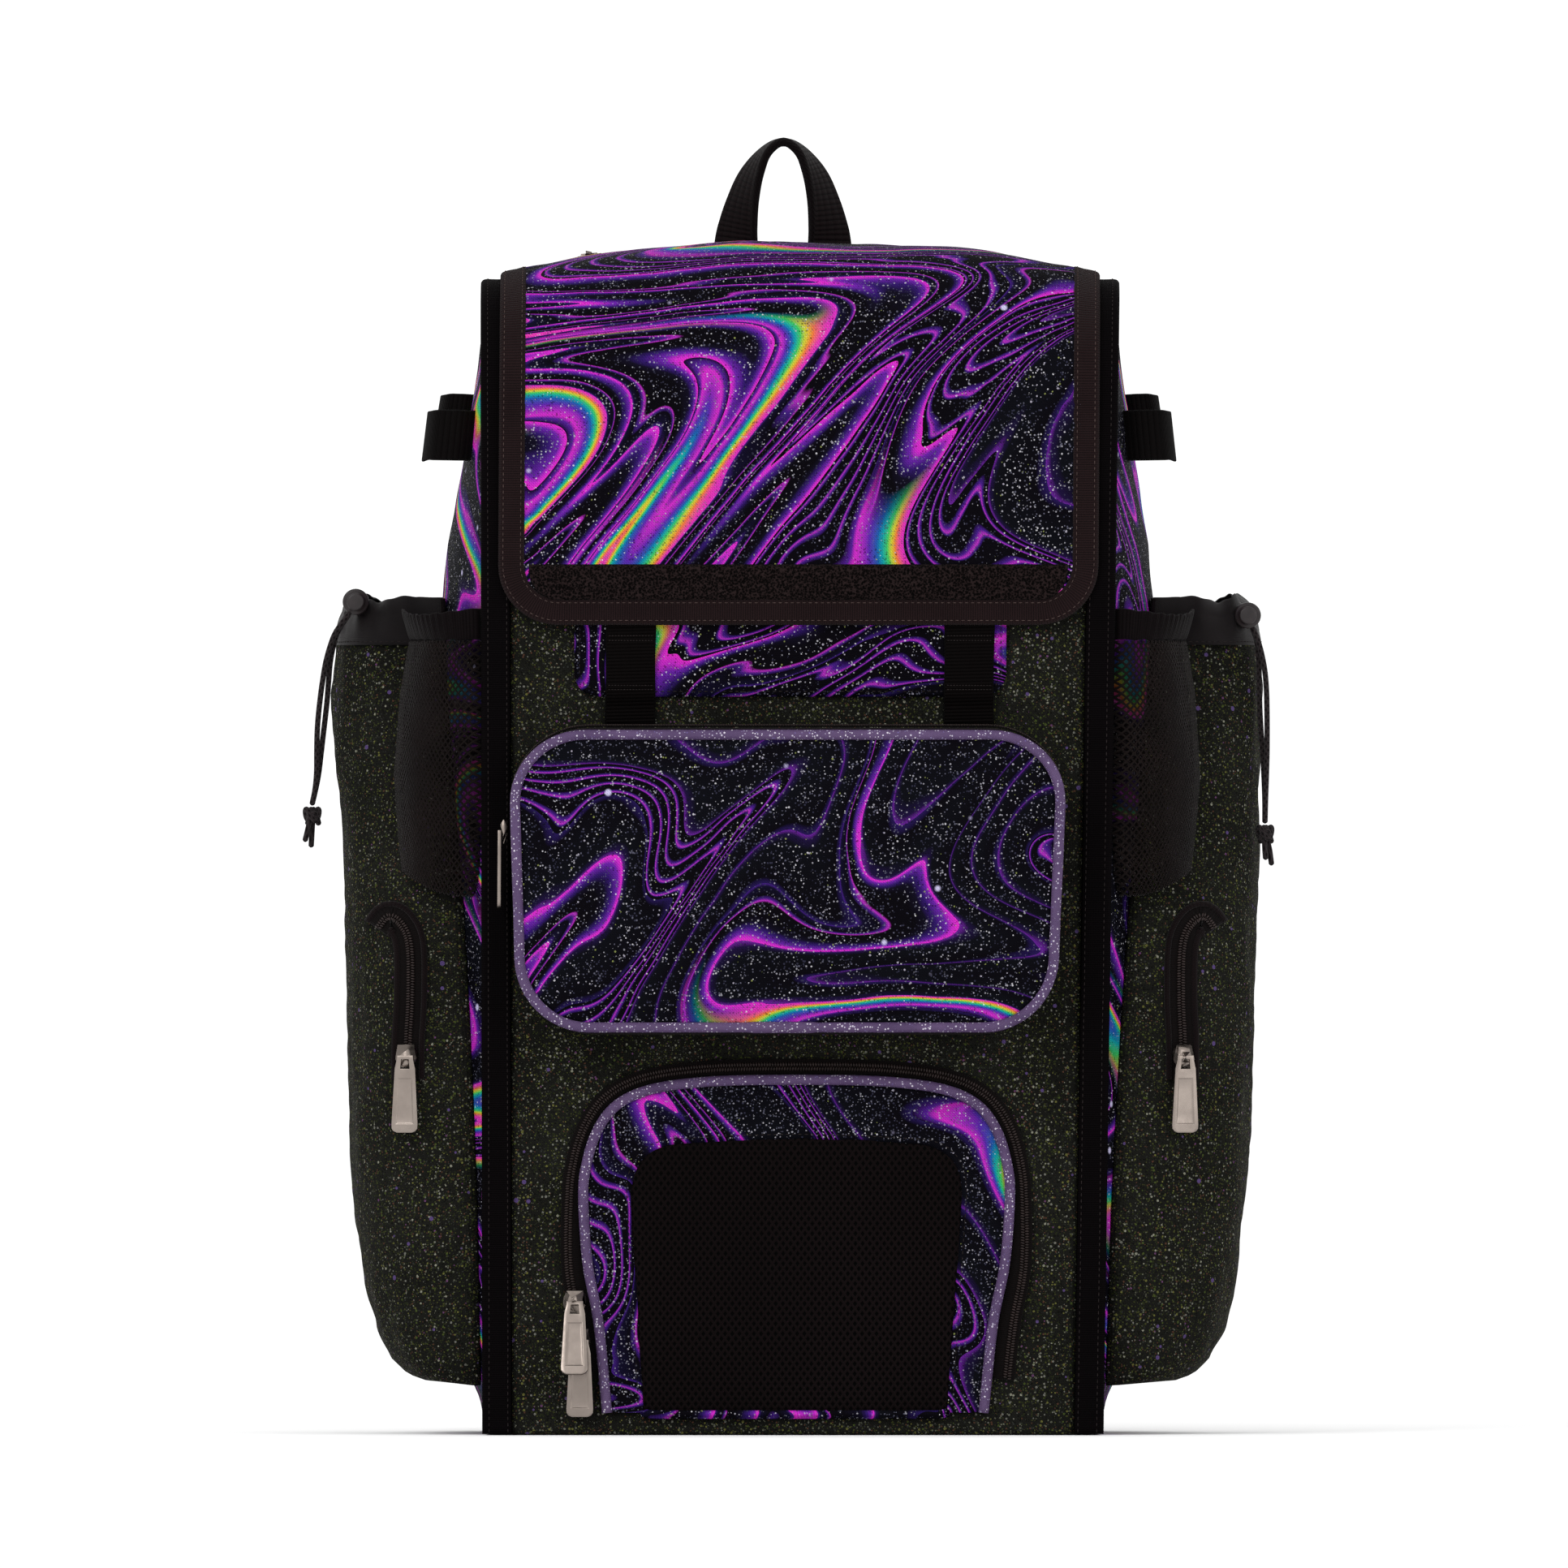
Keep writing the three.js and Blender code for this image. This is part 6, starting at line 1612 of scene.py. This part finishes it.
def flap_place(u, v):
    run = mix(FLAP_LOW, FLAP_END, v)
    rise = max(0, FLAP_CORNER - (run - FLAP_LOW))
    half = FLAP_HALF - FLAP_CORNER + sqrt(max(0, FLAP_CORNER ** 2 - rise ** 2)) + 2
    x = half * (2 * u - 1)
    edge = min(half - abs(x), run - FLAP_LOW)
    give = (ruffle((x, 0, run * 0.8), 55, 1.9) + ruffle((x, 5, run), 20, 0.5)) * eased(edge, 4, 40)
    pucker = 0.45 * sin(run * 0.62 + 3 * sin(x * 0.03)) * (1 - eased(half - abs(x), 4, 16))
    return flap_point(x, run, FLAP_WALL + max(give + pucker, -1.4 if run > FRONT_RISE else -0.6))


def arc_map(bm):
    """Gives the flap a map of its real lengths, across and along its run."""
    cloth = bm.loops.layers.uv["cloth"]
    for face in bm.faces:
        for loop in face.loops:
            loop[cloth].uv = (loop.vert.co.x / 1000, loop[cloth].uv[1])


flap_cloth = marbled_cloth("marbled_flap", shift=(2.803, 0.12, 3.269), turn=(0, -0.45, 0), scale=(-1, 1, 1))
bm = lay(130, 190, flap_place, (2 * FLAP_HALF, FLAP_END - FLAP_LOW))
arc_map(bm)
finished("flap", bm, flap_cloth, "marbled_fabric", ["flap"], heart=(0, 0, 450), wall=2.2)

flap_band = band_finish("flap_band", dye(30, 20, 21), 0.00105, rough=0.8, depth=0.0006, sheen=0.03)
sides = [FLAP_END - k * 3.5 for k in range(int((FLAP_END - FLAP_LOW - FLAP_CORNER) / 3.5) + 1)]
edge_path = [Vector((-FLAP_HALF, run)) for run in sides]
corner_angles = [radians(a) for a in range(0, 91, 9)]
edge_path += [Vector((FLAP_CORNER - FLAP_HALF - FLAP_CORNER * cos(a),
                      FLAP_LOW + FLAP_CORNER - FLAP_CORNER * sin(a)))
              for a in corner_angles]
edge_path += [Vector((mix(FLAP_CORNER - FLAP_HALF, FLAP_HALF - FLAP_CORNER, k / 70), FLAP_LOW))
              for k in range(1, 70)]
edge_path += [Vector((FLAP_HALF - FLAP_CORNER + FLAP_CORNER * sin(a),
                      FLAP_LOW + FLAP_CORNER - FLAP_CORNER * cos(a)))
              for a in corner_angles]
edge_path += [Vector((FLAP_HALF, run)) for run in reversed(sides)]
edge_ways = [-w for w in outward(edge_path)]
if edge_ways[0].x > 0:
    edge_ways = [-w for w in edge_ways]


def flap_band_place(k, out, lift):
    at = edge_path[k] + edge_ways[k] * out
    give = ruffle((at.x, 2, at.y), 26, 0.45)
    return flap_point(at.x, at.y, lift + give * eased(lift, 0.4, 2.4))


band_section = [
    (-1.6, 0.2), (FLAP_BINDING_WIDTH - 0.8, 0.0), (FLAP_BINDING_WIDTH + 0.15, 0.7),
    (FLAP_BINDING_WIDTH + 0.3, 1.6), (FLAP_BINDING_WIDTH - 0.1, 2.6), (FLAP_BINDING_WIDTH - 1.0, 3.1),
    (8.4, 3.35), (6.0, 3.3), (3.6, 3.15), (1.4, 3.25), (-0.4, 3.3), (-1.3, 3.15), (-1.7, 2.7),
]
bm = drawn_along(band_section, len(edge_path), flap_band_place, width=28, length=900)
finished("flap_binding", bm, flap_band, "brown_binding", ["flap_binding"])
bm = bmesh.new()
for out in (0.2, 9.0):
    row = [flap_band_place(k, out, 3.3) for k in range(len(edge_path))]
    facing = [flap_band_place(k, out, 4.3) - flap_band_place(k, out, 3.3) for k in range(len(edge_path))]
    stitches(bm, row, facing, 3.0, 2.2)
brown_thread, tree, surface = new_finish("brown_thread", 0.65)
strands = object_noise(tree, 900.0, 2.0)
paint(tree, surface, strands, dye(38, 30, 29), dye(84, 70, 67))
sewn_rows("flap_stitches", bm, brown_thread, "brown_binding")

LOOP_STRIP_HEIGHT = 18
LOOP_STRIP_CORNER = 15
LOOP_HALF = FLAP_HALF - 4
fuzz, tree, surface = new_finish("loop_fuzz", 0.95, Sheen_Weight=0.01)
loops_near = add_node(tree, "ShaderNodeTexNoise",
                      {"Vector": object_place(tree), "Scale": 700.0, "Detail": 4.0, "Roughness": 0.7})
loops_far = add_node(tree, "ShaderNodeTexVoronoi", {"Vector": object_place(tree), "Scale": 950.0})
curls_and_pit_shade = reckon(tree, "MULTIPLY_ADD", loops_far.outputs["Distance"], 0.7,
               reckon(tree, "MULTIPLY", loops_near.outputs["Fac"], 0.8))
# painted shade: the hollows between the loops are painted darker than their tops
tree.links.new(ramp(tree, curls_and_pit_shade, [(0.45, dye(1, 1, 1)), (0.7, dye(9, 6, 6)), (0.95, dye(36, 27, 27))]),
               surface.inputs["Base Color"])
raise_bump(tree, surface, curls_and_pit_shade, 0.0012)


def strip_place(u, v):
    low = FLAP_LOW + 1
    z = low + LOOP_STRIP_HEIGHT * v
    rise = max(0, LOOP_STRIP_CORNER - (z - low))
    half = LOOP_HALF - LOOP_STRIP_CORNER + sqrt(max(0, LOOP_STRIP_CORNER ** 2 - rise ** 2))
    x = half * (2 * u - 1)
    edge = min(half - abs(x), z - low, low + LOOP_STRIP_HEIGHT - z)
    pile = 1.9 + ruffle((x, 0, z), 1.5, 0.75) + ruffle((x, 4, z), 4.2, 0.35)
    return Vector((x, FRONT - FLAP_LIFT - FLAP_WALL - mix(0.3, pile, eased(edge, -0.4, 1.6)), z))


bm = lay(330, 24, strip_place, (2 * LOOP_HALF, LOOP_STRIP_HEIGHT))
flat_map(bm)
finished("flap_loop_strip", bm, fuzz, "black_fabric", ["flap_loop_strip"], heart=(0, 0, 424), wall=0.8)


# Top zip

# It opens the main compartment. Its tape lies on the flap near the left edge and
# runs back over the top and down to the back seam.

TOP_ZIP_X = -105.5
top_runs = [mix(TOP_START + 0.31 * TOP_RUN, FLAP_END - 1, k / 60) for k in range(61)]


def top_zip_place(k, out, lift):
    return flap_point(TOP_ZIP_X + out, top_runs[k], FLAP_WALL + GAP + lift)


bm = drawn_along(tape_section, 61, top_zip_place, width=25, length=140)
finished("top_zip", bm, zip_tape, "black_zip", ["top_zip"])
bm = bmesh.new()
points = [top_zip_place(k, 0, 0.95) for k in range(61)]
teeth_along(bm, points, [top_zip_place(k, 0, 2) - top_zip_place(k, 0, 0) for k in range(61)],
            [Vector((1, 0, 0))] * 61)
sewn_rows("top_teeth", bm, zip_teeth, "black_zip")


# Zip pulls

# Cast sliders and flat pulls with a plain sunk field, satin nickel, rubbed
# smooth on their edges. Each pull swings on its slider's bridge.

SLIDER_THICKNESS = 2.4
PIN_HEIGHT = 1.9
PULL_THICKNESS = 1.8

nickel, tree, surface = new_finish("satin_nickel", 0.32, Metallic=1.0, Specular_IOR_Level=0.5)
cast = object_noise(tree, 420.0, 4.0)
cloud = object_noise(tree, 60.0, 3.0)
paint(tree, surface, cloud, dye(112, 103, 97), dye(156, 145, 137))
tree.links.new(reckon(tree, "MULTIPLY_ADD", cast, 0.3, 0.2), surface.inputs["Roughness"])
raise_bump(tree, surface, cast, 0.00003)


def seat_matrix(seat, out, up, tilt=0.0):
    across = out.cross(up).normalized()
    level = across.cross(out).normalized()
    axis = seat + out * (GAP + SLIDER_THICKNESS + PIN_HEIGHT)
    turned = Matrix((across, out, level)).transposed().to_4x4()
    return Matrix.Translation(axis) @ turned @ Matrix.Rotation(radians(tilt), 4, "X")


def pull_tab():
    """A flat pull that widens downwards: a window at its crossbar, rounded foot and a sunk field."""
    rows = [0.9, -1.0, -5.8, -8.2, -10.2, -16, -22, -28, -33.6, -35.6, -36.9, -37.7]
    columns = [-1, -0.72, -0.46, 0.46, 0.72, 1]
    bm = bmesh.new()
    bm.loops.layers.uv.new("cloth")
    bmesh.ops.create_grid(bm, x_segments=5, y_segments=len(rows) - 1, size=0.5)
    for v in bm.verts:
        z = rows[len(rows) - 1 - round((v.co.y + 0.5) * (len(rows) - 1))]
        across = columns[round((v.co.x + 0.5) * 5)]
        half = mix(5, 6.8, held((-1 - z) / 34)) if z < -1 else 4.2
        foot = max(0, -z - 34.6)
        half -= 3 - sqrt(max(0, 9 - foot * foot)) if foot else 0
        v.co = (across * half, 0, z)
    window = [f for f in bm.faces if abs(f.calc_center_median().x) < 2
              and -5.8 < f.calc_center_median().z < -1]
    bmesh.ops.delete(bm, geom=window, context="FACES")
    made = bmesh.ops.extrude_face_region(bm, geom=bm.faces[:])["geom"]
    bmesh.ops.translate(bm, vec=(0, PULL_THICKNESS, 0),
                        verts=[g for g in made if isinstance(g, bmesh.types.BMVert)])
    bmesh.ops.translate(bm, vec=(0, -PULL_THICKNESS / 2, 0), verts=bm.verts)
    bmesh.ops.recalc_face_normals(bm, faces=bm.faces)
    front = [(f, f.calc_center_median()) for f in bm.faces if f.normal.y > 0.9]
    field = [f for f, middle in front if -34 < middle.z < -10 and abs(middle.x) < 4.6]
    bmesh.ops.inset_region(bm, faces=field, thickness=0.35, depth=0)
    bmesh.ops.inset_region(bm, faces=field, thickness=0.3, depth=-0.38)
    return bm


def arch_seat(share):
    """The point on the left of the arched zip's coil at a share of the arch's height."""
    z = mix(ARCH_FOOT, ARCH_TOP, share)
    reach = ARCH_HALF * read_rows(arch_rows, share)
    return Vector((ARCH_CENTRE - reach - ARCH_NEAR - ARCH_COIL - arch_spread(z), FRONT - GAP - ZIP_HEIGHT, z))


side_seat = off_sleeve(SIDE_PULL_OFFSET, SIDE_PULL_HEIGHT, ZIP_HEIGHT + GAP)
side_out = front_wall_normal(SIDE_PULL_OFFSET, SIDE_PULL_HEIGHT)
for body, matrix in (
    ("mid_pocket_pull", seat_matrix(
        Vector((POCKET_CENTRE - POCKET_HALF - GAP - ZIP_HEIGHT, FRONT - POCKET_FACE * 0.59,
                mix(POCKET_LOW, POCKET_HIGH, 0.66))),
        Vector((-1, 0, 0)), Vector((0, 0, 1)))),
    *((f"arch_pull_{which}", seat_matrix(arch_seat(share), Vector((0, -1, 0)), Vector((0, 0, 1)), tilt))
      for which, share, tilt in (("upper", 0.33, 20), ("lower", 0.215, 0))),
    *((f"side_pull_{side}", seat_matrix(
        Vector((hand * side_seat.x, side_seat.y, SIDE_PULL_HEIGHT)),
        Vector((hand * side_out.x, side_out.y, 0)),
        Vector((0, 0, 1)))) for side, hand in SIDES),
):
    finished(body, pull_tab(), nickel, "nickel", [body], edge=0.4, body=body, stand=STAND @ matrix)

top_back = (flap_point(TOP_ZIP_X, REAR_START + 6, 0) - flap_point(TOP_ZIP_X, REAR_START - 6, 0)).normalized()
top_side = (flap_point(TOP_ZIP_X + 5, REAR_START, 0) - flap_point(TOP_ZIP_X - 5, REAR_START, 0)).normalized()
top_seat = flap_point(TOP_ZIP_X, REAR_START, FLAP_WALL + GAP + ZIP_HEIGHT)
finished("top_pull", pull_tab(), nickel, "nickel", ["top_pull"], edge=0.4, body="top_pull",
         stand=STAND @ seat_matrix(top_seat, top_side.cross(top_back).normalized(), -top_back, -4))

for node in (
    "mid_pocket_slider", "arch_slider_upper", "arch_slider_lower", "side_slider_left", "side_slider_right",
    "top_slider",
):
    bm = bmesh.new()
    bm.from_mesh(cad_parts[node].data)
    bm.loops.layers.uv.get("cloth") or bm.loops.layers.uv.new("cloth")
    bmesh.ops.remove_doubles(bm, verts=bm.verts, dist=0.00001)
    bmesh.ops.dissolve_limit(bm, angle_limit=radians(2), verts=bm.verts, edges=bm.edges)
    sharp = [e for e in bm.edges if len(e.link_faces) == 2 and e.calc_face_angle(0) > radians(40)]
    bmesh.ops.bevel(bm, geom=sharp, offset=0.00035, segments=2, affect="EDGES", profile=0.5, material=-1)
    finished(node, bm, nickel, "nickel", [node], stand=Matrix.Identity(4))


# Grab handle

# Thick black webbing sewn flat to the back, which turns edge-on as it comes
# over the top, so that its ribs run across it.

HANDLE_CENTRE = -8.8
HANDLE_HEIGHT = 647
HANDLE_HALF = 24
HANDLE_THICKNESS = 4.4
HANDLE_Y = BACK + GAP + FLAP_WALL + GAP + HANDLE_THICKNESS / 2
handle_rows = [(1, -0.98, 0), (1, -0.72, 0), (1, -0.5, 12), (0.98, 0, 32), (0.93, 0.22, 44), (0.84, 0.43, 55),
               (0.72, 0.62, 64), (0.57, 0.77, 73), (0.4, 0.89, 82), (0.2, 0.97, 87), (0, 1, 90)]
waist = BODY_HEIGHT + FLAP_LIFT + FLAP_WALL + FLAP_CROWN
rise = HANDLE_HEIGHT - waist
rows = handle_rows + [(-a, up, turn) for a, up, turn in reversed(handle_rows[:-1])]
handle_corners = [Vector((HANDLE_CENTRE - a * HANDLE_HALF, waist + up * rise, turn)) for a, up, turn in rows]
handle_line = smooth_path(handle_corners, 1.6)
handle_webbing = band_finish("handle_webbing", dye(17, 11, 12), 0.0031, slant=0.5, rough=0.62, depth=0.0009,
                             sheen=0.02)


def handle_place(k, out, lift):
    p = handle_line[k]
    along = handle_line[min(k + 1, len(handle_line) - 1)] - handle_line[max(k - 1, 0)]
    along = Vector((along.x, 0, along.y)).normalized()
    square = Vector((-along.z, 0, along.x))
    turn = radians(p.z)
    across = square * cos(turn) + Vector((0, 1, 0)) * sin(turn)
    depth = along.cross(across)
    return Vector((p.x, HANDLE_Y, p.y)) + across * out + depth * lift


handle_section = rounded(-WEBBING / 2, WEBBING / 2, -HANDLE_THICKNESS / 2, HANDLE_THICKNESS / 2, 1.9, 4)
bm = drawn_along(handle_section, len(handle_line), handle_place, width=58, length=250)
finished("grab_handle", bm, handle_webbing, "black_webbing", ["grab_handle"])


# Shoulder straps

# Padded straps in black cloth with bound edges. Each is sewn in below the
# handle, bows off the back, and ends in webbing sewn in low down. They hide behind the bag.

PAD_WIDTH = 64
PAD_THICKNESS = 10
STRAP_STAND = 42
strap_rows = [
    (0.29, 0.01, 0.91, 1), (0.3, 0.07, 0.885, 1), (0.33, 0.3, 0.85, 1), (0.37, 0.66, 0.79, 1),
    (0.42, 0.92, 0.72, 1),
    (0.46, 1, 0.63, 1), (0.51, 0.94, 0.54, 1), (0.56, 0.76, 0.46, 1), (0.61, 0.54, 0.39, 0.9),
    (0.635, 0.44, 0.365, 0.1), (0.7, 0.3, 0.28, 0), (0.76, 0.17, 0.19, 0), (0.8, 0.04, 0.115, 0),
    (0.81, 0, 0.09, 0)]
strap_cloth = plain_cloth("strap_cloth", dye(28, 25, 26), 0.001)
strap_line = []
for a, off, up, pad in strap_rows:
    y = BACK + GAP + mix(WEBBING_THICKNESS, PAD_THICKNESS, pad) / 2 + off * STRAP_STAND
    strap_line.append(Vector((a * HALF_LOW, y, up * BODY_HEIGHT, pad)))
strap_fine = smooth_path(strap_line, 4.0)
for side, hand in SIDES:
    def pad_place(k, out, lift):
        p = strap_fine[k]
        pad = held(p.w)
        along = strap_fine[min(k + 1, len(strap_fine) - 1)] - strap_fine[max(k - 1, 0)]
        along = Vector((along.x, along.y, along.z)).normalized()
        wide = Vector((-along.z, 0, along.x))
        across = (wide - along * wide.dot(along)).normalized()
        depth = along.cross(across)
        quilt = 1 - 0.16 * abs(sin(k * 4.0 / 46 * pi)) ** 12 * pad
        at = p.to_3d() + across * out * mix(WEBBING, PAD_WIDTH, pad) / 2
        at += depth * lift * mix(WEBBING_THICKNESS, PAD_THICKNESS, pad) / 2 * quilt
        return Vector((hand * at.x, at.y, at.z))

    ring = []
    for k in range(40):
        turn = 2 * pi * k / 40
        a, b = cos(turn), sin(turn)
        out = abs(a) ** 0.45 * (1 if a > 0 else -1)
        ring.append((out, abs(b) ** 0.7 * (1 if b > 0 else -1) * (0.35 + 0.65 * (1 - out ** 8))))
    bm = drawn_along(ring, len(strap_fine), pad_place, width=150, length=620)
    pad = finished(f"shoulder_strap_{side}", bm, strap_cloth, "black_fabric", [f"shoulder_strap_{side}"])
